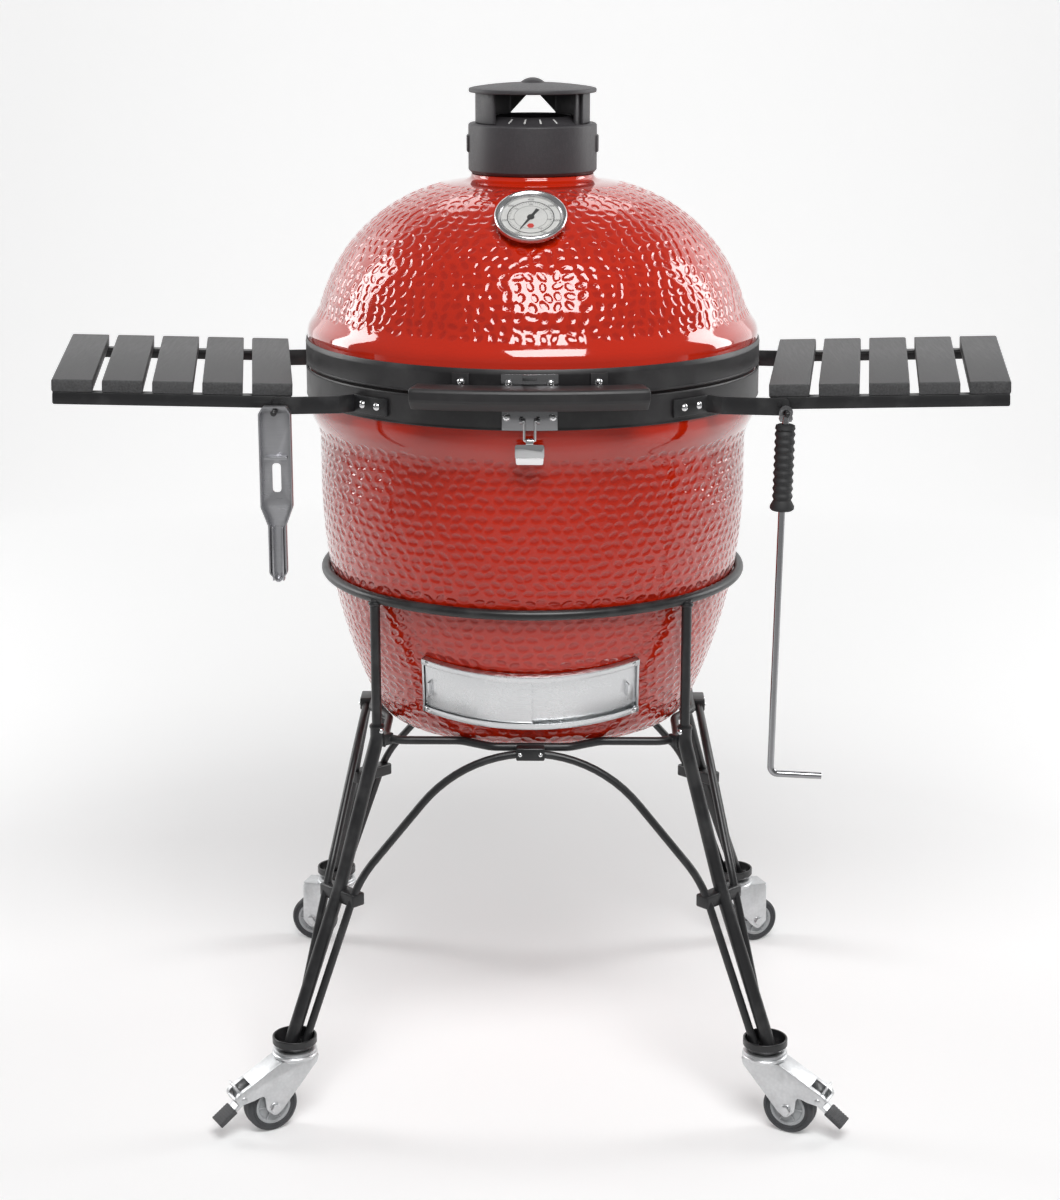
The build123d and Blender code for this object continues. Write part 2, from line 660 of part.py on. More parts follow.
def make_band_bolts():
    """Domed heads on the two bands, one group per band."""
    base = []
    lid = []
    head = PAD_OUT + SEAT
    for side in (-1, 1):
        for heading in (ARM_BOLTS["front"] + ARM_BOLTS["rear"]):
            mirrored = heading if side > 0 else 180 - heading
            base.append(dome_bolt(radial_place(head, mirrored, ARM_Z)))
        base.append(dome_bolt(radial_place(head, FRONT + side * half_angle(LATCH_BOLT_X, head), LATCH_AXIS_Z + 3)))
        base.append(dome_bolt(radial_place(head, 90 + side * HINGE_BOLT_DEG, BASE_BAND_TOP - 17)))
        lid_z = HANDLE_TOP_Z + 1.5
        lid.append(dome_bolt(radial_place(head, FRONT + side * half_angle(BRACKET_X, head), lid_z)))
        lid.append(dome_bolt(radial_place(head - 1, FRONT + side * half_angle(LATCH_BOLT_X - 2.5, head), lid_z)))
        lid.append(dome_bolt(radial_place(head, 90 + side * HINGE_BOLT_DEG, LID_BAND_BOTTOM + 15)))
    parts["base_band_bolts"] = group(base)
    parts["lid_band_bolts"] = group(lid)


# ================================================================== rear hinge
HINGE_BOLT_DEG = 12.8
HINGE_PAD_DEG = 15.5


def ear(x_low, x_high, points):
    """Flat ear from an outline in the Y-Z plane, with a round end on the hinge pin."""
    face = make_face(Polyline(*[(0, y, z) for y, z in points], close=True))
    plate = extrude(face, amount=x_high - x_low, dir=(1, 0, 0))
    boss = rod((0, HINGE_REACH, HINGE_Z), (x_high - x_low, HINGE_REACH, HINGE_Z), HINGE_EAR_R)
    return Pos(x_low, 0, 0) * (plate + boss)


def make_hinge():
    out_ear = (HINGE_HALF_W - HINGE_EAR_T, HINGE_HALF_W)
    in_ear = (out_ear[0] - SLIP - HINGE_EAR_T, out_ear[0] - SLIP)
    root_y = sqrt(PAD_OUT ** 2 - HINGE_HALF_W ** 2) - 1.5
    low = BASE_BAND_Z + 1
    base_points = [
        (root_y, low + 1),
        (HINGE_REACH - 4, low),
        (HINGE_GUARD, low + 4),
        (HINGE_GUARD, HINGE_Z - 2),
        (HINGE_REACH, HINGE_Z + HINGE_EAR_R),
        (HINGE_REACH - 10, HINGE_Z + HINGE_EAR_R - 4),
        (root_y, BASE_BAND_TOP - 8),
    ]
    lid_points = [
        (root_y, LID_BAND_BOTTOM + 1),
        (HINGE_REACH - 12, HINGE_Z - 8),
        (HINGE_REACH + 10, HINGE_Z + 9),
        (HINGE_REACH - 6, LID_BAND_BOTTOM + 14),
        (root_y, LID_BAND_Z - BAND_BEVEL),
    ]
    base = [sector(PAD_IN, PAD_OUT, low, BASE_BAND_TOP - 1, 90 - HINGE_PAD_DEG, 90 + HINGE_PAD_DEG)]
    lid_top = LID_BAND_Z - BAND_BEVEL
    lid = [sector(PAD_IN, PAD_OUT, LID_BAND_BOTTOM + 1, lid_top, 90 - HINGE_PAD_DEG, 90 + HINGE_PAD_DEG)]
    for side in (-1, 1):
        out_x = sorted((side * out_ear[0], side * out_ear[1]))
        in_x = sorted((side * in_ear[0], side * in_ear[1]))
        base.append(ear(out_x[0], out_x[1], base_points))
        lid.append(ear(in_x[0], in_x[1], lid_points))
    base.append(block(
        (-HINGE_HALF_W, HINGE_HALF_W),
        (HINGE_GUARD - 3, HINGE_GUARD),
        (low + 4, low + 14),
    ))
    pin_half = HINGE_HALF_W + 4
    pin = rod((-pin_half, HINGE_REACH, HINGE_Z), (pin_half, HINGE_REACH, HINGE_Z), HINGE_PIN_R)
    for side in (-1, 1):
        inner = (side * (HINGE_HALF_W + SEAT), HINGE_REACH, HINGE_Z)
        outer = (side * (HINGE_HALF_W + 4), HINGE_REACH, HINGE_Z)
        pin = pin + rod(inner, outer, HINGE_PIN_R + 3.5)
    bore = rod((-2 * pin_half, HINGE_REACH, HINGE_Z), (2 * pin_half, HINGE_REACH, HINGE_Z), HINGE_PIN_R + RUN)
    parts["hinge_base"] = group([fused(base) - bore, pin])
    parts["hinge_lid"] = fused(lid) - bore
    half = in_ear[0] - SLIP
    spring = rod((-half, HINGE_REACH, HINGE_Z), (half, HINGE_REACH, HINGE_Z), HINGE_PIN_R + 3.6)
    core = rod((-half, HINGE_REACH, HINGE_Z), (half, HINGE_REACH, HINGE_Z), HINGE_PIN_R + SEAT)
    parts["hinge_spring"] = spring - core


# ================================================================== thermometer
def make_thermometer():
    low = DIAL_LIFT
    high = low + DIAL_CASE_T
    pocket = high - 4.0
    floor = 2.5
    window_r = DIAL_CASE_R - DIAL_RIM_W
    case = Solid.make_cylinder(DIAL_CASE_R, DIAL_CASE_T, Plane(origin=(0, 0, low)))
    case = case - Solid.make_cylinder(window_r, DIAL_CASE_T, Plane(origin=(0, 0, low + floor)))
    collar = Solid.make_cylinder(14.0, low - SEAT, Plane(origin=(0, 0, SEAT)))
    stem = Solid.make_cylinder(STEM_R, STEM_L + low + 0.5, Plane(origin=(0, 0, -STEM_L)))
    nut_low = -(DOME_WALL + 9.0)
    nut = extrude(Plane(origin=(0, 0, nut_low)) * RegularPolygon(10.0, 6), amount=7.0)
    body = fused([case, collar, stem, nut])
    seat = low + floor
    spindle_bore = Solid.make_cylinder(1.5 + RUN, 12.0, Plane(origin=(0, 0, seat - 5.0)))
    parts["thermometer_case"] = DIAL_PLACE * (body - spindle_bore)
    dial = Solid.make_cylinder(window_r - SEAT, 1.0, Plane(origin=(0, 0, seat)))
    dial = dial - Solid.make_cylinder(1.5 + RUN, 4.0, Plane(origin=(0, 0, seat - 1)))
    parts["thermometer_dial"] = DIAL_PLACE * dial
    needle_z = seat + 1.0 + SEAT
    pointer = Pos(-1.5, -4, needle_z + 0.4) * Box(2.2, window_r + 3.0, 0.8)
    hub = Solid.make_cylinder(4.2, 1.2, Plane(origin=(0, 0, needle_z)))
    spindle = Solid.make_cylinder(1.5, 5.0, Plane(origin=(0, 0, needle_z - 4.6)))
    needle = Rot(0, 0, NEEDLE_TURN) * (Pos(1.5, 0, 0) * pointer + hub) + spindle
    parts["thermometer_needle"] = DIAL_PLACE * needle
    glass = Solid.make_cylinder(window_r - SEAT, 1.4, Plane(origin=(0, 0, pocket + 2.2)))
    parts["thermometer_glass"] = DIAL_PLACE * glass


NEEDLE_TURN = -31.0


# ================================================================== top vent
def make_vent():
    low = NECK_TOP_Z + SEAT
    collar = revolved(*outline([
        (FLUE_R, low),
        (COLLAR_R - COLLAR_CHAMFER, low),
        (COLLAR_R, low + COLLAR_CHAMFER),
        (COLLAR_R, COLLAR_TOP_Z - 2),
        (COLLAR_R - 2, COLLAR_TOP_Z),
        (SLEEVE_OUT, COLLAR_TOP_Z),
        (FLUE_R + 1, COLLAR_TOP_Z + 6),
        (FLUE_R, COLLAR_TOP_Z + 3),
    ]))
    pieces = [collar]
    for side in (0, 180):
        pieces.append(sector(
            COLLAR_R - 3, COLLAR_R + 2.2, COLLAR_TOP_Z - LUG_H - 14, COLLAR_TOP_Z - 14, side - 11, side + 11,
        ))
        pieces.append(sector(SLEEVE_IN, SLEEVE_OUT, COLLAR_TOP_Z - 5, ROOF_Z - SLIP, side - 38, side + 38))
    for i in range(3):
        spoke = block((0, SLEEVE_IN), (-2.5, 2.5), (COLLAR_TOP_Z - 22, COLLAR_TOP_Z - 16))
        pieces.append(Rot(0, 0, 90 + 120 * i) * spoke)
    pieces.append(Solid.make_cylinder(9.0, 10.0, Plane(origin=(0, 0, COLLAR_TOP_Z - 26))))
    bore = Solid.make_cylinder(PIVOT_R + RUN, 100.0, Plane(origin=(0, 0, COLLAR_TOP_Z - 60)))
    parts["vent_collar"] = fused(pieces) - bore

    wall_low = COLLAR_TOP_Z + SEAT
    wall = ring_solid(CAP_R - CAP_WALL, CAP_R, wall_low, ROOF_Z + 1)
    half = WINDOW_ANGLE / 2
    window = sector(CAP_R - 12, CAP_R + 12, wall_low - 1, ROOF_Z, FRONT - half, FRONT + half)
    sill = wall_low + 8.0
    back = make_face(Polyline(
        (-28, 0, sill), (28, 0, sill), (7, 0, ROOF_Z - 6), (-7, 0, ROOF_Z - 6), close=True,
    ))
    back_window = Pos(0, 90, 0) * extrude(back, amount=60.0, dir=(0, -1, 0))
    crown_arc = (ROOF_R ** 2 + CROWN_H ** 2) / (2 * CROWN_H)
    roof_top = ROOF_Z + ROOF_T
    crown = Pos(0, 0, roof_top + CROWN_H - crown_arc) * Sphere(crown_arc)
    crown = crown & Solid.make_cylinder(ROOF_R - 0.4, CROWN_H + 2, Plane(origin=(0, 0, roof_top - 0.5)))
    disc = Solid.make_cylinder(ROOF_R, ROOF_T, Plane(origin=(0, 0, ROOF_Z)))
    button = Solid.make_cylinder(BUTTON_R, BUTTON_H - 1, Plane(origin=(0, 0, roof_top + 1)))
    button = fillet(button.edges().group_by(Axis.Z)[-1], 2.0)
    pivot = Solid.make_cylinder(PIVOT_R, ROOF_Z + 1 - COLLAR_TOP_Z + 28, Plane(origin=(0, 0, COLLAR_TOP_Z - 28)))
    shell = fused([wall - window, disc, crown, button, pivot]) - back_window
    parts["vent_cap"] = Rot(0, 0, CAP_TURN) * shell


SLEEVE_OUT = CAP_R - CAP_WALL - SLIP
SLEEVE_IN = SLEEVE_OUT - 3.0


# ================================================================== draft door
def make_draft():
    inner = DRAFT_ARC + DRAFT_STANDOFF
    back = inner + SHEET
    right_in = back + SLIP
    left_in = right_in + SHEET + SLIP
    lip_in = left_in + SHEET + SLIP
    lip_out = lip_in + SHEET
    half_h = DRAFT_H / 2
    a0 = FRONT - DRAFT_HALF_ANGLE
    a1 = FRONT + DRAFT_HALF_ANGLE
    plate = sector(inner, back, -half_h, half_h, a0, a1)
    hole_half = degrees(asin(DRAFT_HOLE_W / 2 / DRAFT_ARC))
    plate = plate - sector(
        inner - 2, back + 2, -DRAFT_HOLE_H / 2, DRAFT_HOLE_H / 2, FRONT - hole_half, FRONT + hole_half,
    )
    pieces = [plate]
    for side in (-1, 1):
        web = sorted((side * half_h, side * (half_h - SHEET)))
        lip = sorted((side * half_h, side * (half_h - DRAFT_LIP)))
        pieces.append(sector(inner, lip_out, web[0], web[1], a0, a1))
        pieces.append(sector(lip_in, lip_out, lip[0], lip[1], a0, a1))
        end = FRONT + side * DRAFT_HALF_ANGLE
        stop = sorted((end, end - side * 0.7))
        pieces.append(sector(inner, lip_in + 0.5, -half_h, half_h, stop[0], stop[1]))
    frame = DRAFT_PLACE * fused(pieces)
    screws = []
    for side in (-1, 1):
        for level in (-1, 1):
            heading = FRONT + side * (DRAFT_HALF_ANGLE - 1.8)
            spot = radial_place(lip_out, heading, level * (half_h - DRAFT_LIP / 2))
            screws.append(DRAFT_PLACE * dome_bolt(spot, 3.0, 1.8))
    parts["draft_frame"] = group([frame] + screws)

    panel_half = half_h - SHEET - SLIP
    reach = DRAFT_HALF_ANGLE - 1.0
    for name, r_in, start, end in (
        ("draft_door_left", left_in, FRONT - reach, FRONT + 0.6),
        ("draft_door_right", right_in, FRONT - 0.6, FRONT + reach),
    ):
        panel = sector(r_in, r_in + SHEET, -panel_half, panel_half, start, end)
        outer_end = start if "left" in name else end - 1.2
        grip = sector(r_in + SHEET - 0.4, r_in + SHEET + 5.2, -9, 9, outer_end + 1.3, outer_end + 1.9)
        if "right" in name:
            grip = sector(r_in + SHEET - 0.4, lip_out + 2.5, -9, 9, outer_end - 1.9, outer_end - 1.3)
        parts[name] = DRAFT_PLACE * (panel + grip)


# ================================================================== side shelves
def shelf_place(side):
    """Plane on the front inner corner: +X outboard, +Y to the rear, +Z up; side is -1 or 1."""
    yaw = radians(SHELF_YAW)
    rise = radians(SHELF_RISE)
    out = Vector(side * cos(yaw) * cos(rise), -sin(yaw) * cos(rise), sin(rise))
    back = Vector(side * sin(yaw), cos(yaw), 0)
    up = out.cross(back) if side > 0 else back.cross(out)
    return Plane(origin=(side * SHELF_X, SHELF_Y, SHELF_Z), x_dir=out, z_dir=up)


def to_rear(side, y):
    """Local Y of the shelf plane that points to the rear on either side."""
    return y if side > 0 else -y


def make_shelf(side):
    place = shelf_place(side)
    slats = []
    for i in range(SLATS):
        x = i * (SLAT_W + SLAT_GAP)
        depth = sorted((0.0, to_rear(side, SHELF_D)))
        slat = block((x, x + SLAT_W), depth, (-SLAT_T, 0))
        slats.append(place * fillet(slat.edges().filter_by(Axis.Y), 2.2))
    rails = []
    screws = []
    top = -SLAT_T - SEAT
    pivot_z = top - RAIL_H / 2
    for front, back, leg in (
        (0.0, RAIL_T, RAIL_W),
        (SHELF_D - RAIL_T, SHELF_D, -RAIL_W),
    ):
        flange = sorted((front, front + leg)) if leg > 0 else sorted((back, back + leg))
        upright = block((1.0, SHELF_W - 1.0), sorted((to_rear(side, front), to_rear(side, back))), (top - RAIL_H, top))
        shelf = block(
            (1.0, SHELF_W - 1.0),
            sorted((to_rear(side, flange[0]), to_rear(side, flange[1]))),
            (top - RAIL_T, top),
        )
        rail = upright + shelf
        bore = rod((RAIL_PIVOT_X, -2 * SHELF_D, pivot_z), (RAIL_PIVOT_X, 2 * SHELF_D, pivot_z), RAIL_PIN_R + RUN)
        rails.append(place * (rail - bore))
        for i in range(SLATS):
            x = i * (SLAT_W + SLAT_GAP) + SLAT_W / 2
            y = to_rear(side, (flange[0] + flange[1]) / 2 + (1.5 if leg > 0 else -1.5))
            head = Solid.make_cylinder(4.0, 2.2, Plane(origin=(x, y, top - RAIL_T - 2.2)))
            screws.append(place * head)
    word = "right" if side > 0 else "left"
    parts["shelf_slats_" + word] = group(slats)
    parts["shelf_rails_" + word] = group(rails + screws)


def strap(points, z_low, z_high, thickness):
    """Flat bar on edge that follows a plan line, with rounded bends."""
    pieces = []
    for a, b in zip(points, points[1:]):
        dx = b[0] - a[0]
        dy = b[1] - a[1]
        bar = Box(sqrt(dx ** 2 + dy ** 2), thickness, z_high - z_low)
        place = Pos((a[0] + b[0]) / 2, (a[1] + b[1]) / 2, (z_low + z_high) / 2)
        pieces.append(place * Rot(0, 0, degrees(atan2(dy, dx))) * bar)
    for x, y in points[1:-1]:
        pieces.append(Solid.make_cylinder(thickness / 2, z_high - z_low, Plane(origin=(x, y, z_low))))
    return fused(pieces)


ARM_Z = 861.5
ARM_BOLTS = {"front": [-51.0, -46.2], "rear": [32.4, 37.4]}
ARM_PAD_OVER = 3.2


def make_shelf_arms():
    """Four fixed arms on the base band; each ends in a pivot pin for its shelf."""
    pieces = []
    z = (ARM_Z - ARM_H / 2, ARM_Z + ARM_H / 2)
    mid_r = (PAD_IN + PAD_OUT) / 2
    for side in (-1, 1):
        place = shelf_place(side)
        for end, local_y, face in (("front", 0.0, -1), ("rear", SHELF_D, 1)):
            lane = local_y + face * (SEAT + ARM_T / 2)
            tip = place.from_local_coords(Vector(ARM_END, to_rear(side, lane), 0))
            near = place.from_local_coords(Vector(-ARM_RUN, to_rear(side, lane), 0))
            low, high = ARM_BOLTS[end]
            start = low - ARM_PAD_OVER
            stop = high + ARM_PAD_OVER
            pad = sector(PAD_IN, PAD_OUT, z[0], z[1], start, stop)
            exit_deg = stop if end == "front" else start
            foot = (mid_r * cos(radians(exit_deg)), mid_r * sin(radians(exit_deg)))
            if side < 0:
                pad = pad.mirror(Plane.YZ)
                foot = (-foot[0], foot[1])
            bar = strap([foot, (near.X, near.Y), (tip.X, tip.Y)], z[0], z[1], ARM_T)
            pivot_local_z = -SLAT_T - SEAT - RAIL_H / 2
            inner_lane = lane - face * (ARM_T / 2 + RAIL_T + 5.0)
            a = place.from_local_coords(Vector(RAIL_PIVOT_X, to_rear(side, lane), pivot_local_z))
            b = place.from_local_coords(Vector(RAIL_PIVOT_X, to_rear(side, inner_lane), pivot_local_z))
            arm = fused([pad, bar, rod(tuple(a), tuple(b), RAIL_PIN_R)])
            if end == "front":
                arm = arm + make_peg(side)
            pieces.append(arm)
    return group(pieces)


def peg_root(side):
    """Where the tool peg leaves the front arm."""
    place = shelf_place(side)
    lane = -(SEAT + ARM_T)
    point = place.from_local_coords(Vector(ARM_END - 4.0, to_rear(side, lane), 0))
    return Vector(point.X, point.Y, ARM_Z - 4.0)


def make_peg(side):
    """Straight peg with a small end knob, pointing to the front."""
    root = peg_root(side)
    shaft = rod((root.X, root.Y + 1.5, root.Z), (root.X, root.Y - PEG_L, root.Z), PEG_R)
    knob = Pos(root.X, root.Y - PEG_L, root.Z) * Sphere(PEG_R + 1.2)
    return shaft + knob


# ================================================================== hanging tools
def make_gripper():
    """Folded-steel grate gripper: wide handle channel above, narrow jaws below."""
    root = peg_root(-1)
    y = root.Y - PEG_L / 2
    top = root.Z + 6.0
    half = GRIPPER_W / 2
    low = top - GRIPPER_L
    neck = top - 0.62 * GRIPPER_L
    jaw = 0.56 * half
    face = make_face(Polyline(
        (-half + 5, 0, top), (half - 5, 0, top), (half, 0, top - 8), (half, 0, neck + 10),
        (jaw, 0, neck - 12), (jaw, 0, low + 10), (jaw - 8, 0, low), (-jaw + 8, 0, low),
        (-jaw, 0, low + 10), (-jaw, 0, neck - 12), (-half, 0, neck + 10), (-half, 0, top - 8), close=True,
    ))
    solid = Pos(0, GRIPPER_D / 2, 0) * extrude(face, amount=GRIPPER_D, dir=(0, -1, 0))
    inner = offset(face, -1.6)
    hollow = Pos(0, GRIPPER_D / 2 + 1, 0) * extrude(inner, amount=GRIPPER_D - 0.6, dir=(0, -1, 0))
    channel = solid - hollow
    hole = rod((0, -40, root.Z), (0, 40, root.Z), PEG_R + SEAT)
    slot = block((-5, 5), (-20, 20), (neck + 26, neck + 60))
    return Pos(root.X, y, 0) * (channel - hole - slot)


def make_ash_tool():
    """Flat eye, rubber grip, long rod and a bent foot."""
    root = peg_root(1)
    eye_top = root.Z + 8.0
    bottom = root.Z - ASH_TOOL_L + 8.0
    rod_top = root.Z - 4.5
    slant = atan2(ASH_SLANT, rod_top - bottom)
    place = Pos(root.X, root.Y - PEG_L / 2, 0)
    eye = block((-8, 8), (-1.5, 1.5), (rod_top - 6, eye_top - 4))
    eye = eye + rod((0, -1.5, root.Z), (0, 1.5, root.Z), 8.0)
    eye = eye - rod((0, -20, root.Z), (0, 20, root.Z), PEG_R + SEAT)
    points = [(0, 0, rod_top), (-ASH_SLANT, 0, bottom), (ASH_FOOT_L - ASH_SLANT, 0, bottom - 3)]
    parts["ash_tool_rod"] = place * (eye + bent_bar(points, ASH_ROD_R, 9.0))
    play = ASH_ROD_R + RUN
    grip = revolved(*outline([
        (play, -ASH_GRIP_L),
        (ASH_GRIP_R + 1.0, -ASH_GRIP_L),
        (ASH_GRIP_R + 1.0, 5 - ASH_GRIP_L),
        (ASH_GRIP_R - 2.0, 12 - ASH_GRIP_L),
        (ASH_GRIP_R - 1.0, -20),
        (ASH_GRIP_R - 2.5, -9),
        (play, -9),
    ]))
    parts["ash_tool_grip"] = place * Pos(0, 0, rod_top) * Rot(0, degrees(slant), 0) * grip


# ================================================================== cart
def arch_place():
    """Plane of the front arch: origin between its feet, +Y up the lean."""
    lean = radians(ARCH_LEAN)
    return Plane(origin=(0, -CUP_Q, ARCH_ROOT_Z), x_dir=(1, 0, 0), z_dir=(0, -cos(lean), sin(lean)))


def arch_point(x, s):
    point = arch_place().from_local_coords(Vector(x, s, 0))
    return tuple(point)


def arch_peak():
    """Corner of the arch's line above its knees, measured up the lean."""
    return ARCH_PEAK_S + LIFT / cos(radians(ARCH_LEAN))


def arch_apex():
    """Centre of the bar at the top of the front arch."""
    rise = arch_peak() - ARCH_KNEE_S
    slope = atan2(rise, ARCH_KNEE_X)
    drop = ARCH_TOP_ARC * (1 / cos(slope) - 1)
    return Vector(*arch_point(0, arch_peak() - drop))


def arch_bar(radius):
    """Bar of the front arch, drawn at a given radius."""
    points = [
        arch_point(-ARCH_FOOT_X, ARCH_FOOT_S),
        arch_point(-ARCH_KNEE_X, ARCH_KNEE_S),
        arch_point(0, arch_peak()),
        arch_point(ARCH_KNEE_X, ARCH_KNEE_S),
        arch_point(ARCH_FOOT_X, ARCH_FOOT_S),
    ]
    return bent_bar(points, radius, [ARCH_KNEE_ARC, ARCH_TOP_ARC, ARCH_KNEE_ARC])


def hoop_touch():
    """Smallest distance from the axis to the hoop's centre line, at its inward bends."""
    slope = atan2(HOOP_BULGE - HOOP_SIDE, HOOP_JOG_X - HOOP_JOG_W)
    tangent = HOOP_BEND * tan(slope / 2)
    return sqrt((HOOP_JOG_X + tangent) ** 2 + (HOOP_SIDE + HOOP_BEND) ** 2) - HOOP_BEND


def hoop_height():
    """Centre height of the cradle hoop where it carries the rounded foot of the bowl."""
    side_c = BELLY_R - BELLY_ARC
    corner_z = BOWL_Z + FOOT_ARC
    corner_c = side_c + sqrt((BELLY_ARC - FOOT_ARC) ** 2 - (BELLY_Z - corner_z) ** 2)
    reach = FOOT_ARC + HOOP_R + SEAT
    return corner_z - sqrt(reach ** 2 - (hoop_touch() - corner_c) ** 2)


def make_ring():
    """Top ring with four posts welded under it."""
    pieces = [round_ring(RING_R, RING_Z, BAR_R)]
    for sx, sy in CORNERS:
        low = (sx * POST_Q, sy * POST_Q, TUBE_TOP_Z - SOCKET_DEPTH)
        high = (sx * POST_Q, sy * POST_Q, RING_Z)
        pieces.append(rod(low, high, BAR_R))
        pieces.append(Pos(*high) * Sphere(BAR_R))
    return fused(pieces)


CORNERS = [(-1, -1), (1, -1), (-1, 1), (1, 1)]


def make_hoop():
    """Cradle under the bowl, with a gusset towards each leg tube."""
    z = hoop_height()
    side = [
        (-HOOP_JOG_X, -HOOP_SIDE),
        (-HOOP_JOG_W, -HOOP_BULGE),
        (HOOP_JOG_W, -HOOP_BULGE),
        (HOOP_JOG_X, -HOOP_SIDE),
        (HOOP_SIDE, -HOOP_SIDE),
    ]
    points = []
    for i in range(4):
        a = radians(90 * i)
        points.extend((x * cos(a) - y * sin(a), x * sin(a) + y * cos(a), z) for x, y in side)
    pieces = [bent_bar(points, HOOP_R, HOOP_BEND, closed=True)]
    corner = sqrt(2) * HOOP_SIDE - HOOP_BEND * (sqrt(2) - 1)
    tube = sqrt(2) * POST_Q - TUBE_R - SEAT
    for i in range(4):
        gusset = block((corner - 2, tube), (-2.5, 2.5), (z - 7, z + 7))
        pieces.append(Rot(0, 0, 45 + 90 * i) * gusset)
    return fused(pieces)


def leg_points(sx, sy):
    return [
        (sx * POST_Q, sy * POST_Q, TUBE_TOP_Z + LIFT),
        (sx * POST_Q, sy * POST_Q, KNEE_Z + LIFT),
        (sx * SHIN_Q, sy * SHIN_Q, SHIN_Z + LIFT / 2),
        (sx * LEG_FOOT_Q, sy * LEG_FOOT_Q, LEG_FOOT_Z),
    ]


def floor_cut():
    """Everything below the seat of the bars in the caster cups."""
    reach = 2 * CUP_Q
    return block((-reach, reach), (-reach, reach), (0, CUP_FLOOR_Z + CUP_WALL + SEAT))


def leg_tube(radius):
    """Front left leg tube, drawn at a given radius."""
    return bent_bar(leg_points(-1, -1), radius, [KNEE_ARC, SHIN_ARC])


def make_legs():
    seat = floor_cut()
    place = Plane(origin=(-POST_Q, -POST_Q, TUBE_TOP_Z + LIFT - SOCKET_DEPTH - SEAT))
    tube = leg_tube(TUBE_R) - Solid.make_cylinder(BAR_R + SEAT, SOCKET_DEPTH + 2, place) - seat
    arch = arch_bar(ARCH_R) - seat
    parts["leg_tubes"] = group([Rot(0, 0, 90 * i) * tube for i in range(4)])
    parts["leg_arches"] = group([Rot(0, 0, 90 * i) * arch for i in range(4)])


def make_clamps():
    """Blocks that tie the arches to the hoop and to the leg tubes, with their bolts."""
    apex = arch_apex()
    z = hoop_height() + LIFT
    half = APEX_CLAMP_W / 2
    front = apex.Y - ARCH_R - 3.2
    bottom = apex.Z - ARCH_R - 2.2
    top = z + HOOP_R - 1.5
    arch_channel = arch_bar(ARCH_R + SEAT)
    apex_block = block((-half, half), (front, -HOOP_BULGE + 4.0), (bottom, top)) - arch_channel
    apex_block = apex_block - rod((-2 * half, -HOOP_BULGE, z), (2 * half, -HOOP_BULGE, z), HOOP_R + SEAT)
    bend_z = SHIN_Z + LIFT / 2
    middle = bend_z - SHIN_CLAMP_DROP
    slope = (LEG_FOOT_Q - SHIN_Q) / (bend_z - LEG_FOOT_Z)
    tube_r = sqrt(2) * (SHIN_Q + SHIN_CLAMP_DROP * slope)
    shin = block((tube_r - 17, tube_r + 2), (-31, 31), (middle - 8, middle + 8))
    shin = Rot(0, 0, 225) * shin
    shin = shin - leg_tube(TUBE_R + SEAT) - arch_channel - Rot(0, 0, -90) * arch_channel
    blocks = []
    bolts = []
    tight = CUP_R / 10
    for i in range(4):
        turn = Rot(0, 0, 90 * i)
        blocks.extend([turn * apex_block, turn * shin])
        for x in (-half + 5, half - 5):
            face = Plane(origin=(x, front - SEAT, (bottom + top) / 2), z_dir=(0, -1, 0))
            bolts.append(turn * dome_bolt(face, tight, 1.6))
    for i in range(4):
        for side in (-1, 1):
            spot = Plane(
                origin=(sqrt(2) * POST_Q, side * (TUBE_R + SEAT), TUBE_TOP_Z + LIFT - SOCKET_DEPTH / 2),
                z_dir=(0, side, 0),
            )
            bolts.append(Rot(0, 0, 45 + 90 * i) * dome_bolt(spot, 3.6, 2.4))
    parts["cart_clamps"] = group(blocks)
    parts["cart_bolts"] = group(bolts)


# ================================================================== casters
CASTERS = {
    "front_left": (-1, -1),
    "front_right": (1, -1),
    "rear_left": (-1, 1),
    "rear_right": (1, 1),
}
FORK_TOP = CUP_FLOOR_Z - SEAT - BEARING_H
PIN_HEAD_Z = FORK_TOP - CHEEK_T - SEAT


def make_cups():
    """Four dishes that hold the feet of the bars, each with its kingpin."""
    dish = revolved(*outline([
        (0, CUP_FLOOR_Z),
        (CUP_R - 5, CUP_FLOOR_Z),
        (CUP_R, CUP_FLOOR_Z + 6),
        (CUP_R, CUP_TOP_Z),
        (CUP_R - CUP_WALL, CUP_TOP_Z),
        (CUP_R - CUP_WALL, CUP_FLOOR_Z + 6),
        (CUP_R - CUP_WALL - 2, CUP_FLOOR_Z + CUP_WALL),
        (0, CUP_FLOOR_Z + CUP_WALL),
    ]))
    pin = Solid.make_cylinder(KINGPIN_R, CUP_FLOOR_Z + 1 - PIN_HEAD_Z, Plane(origin=(0, 0, PIN_HEAD_Z)))
    head = Solid.make_cylinder(KINGPIN_R + 3, 4.0, Plane(origin=(0, 0, PIN_HEAD_Z - 4.0)))
    cup = fused([dish, pin, head])
    return group([Pos(sx * CUP_Q, sy * CUP_Q, 0) * cup for sx, sy in CORNERS])


def side_shape(points, thickness, round_r):
    """Plate in the caster's X-Z plane with a round end about the axle."""
    face = make_face(Polyline(*[(x, 0, z) for x, z in points], close=True))
    plate = Pos(0, thickness / 2, 0) * extrude(face, amount=thickness, dir=(0, -1, 0))
    return plate + rod((TRAIL, -thickness / 2, AXLE_Z), (TRAIL, thickness / 2, AXLE_Z), round_r)


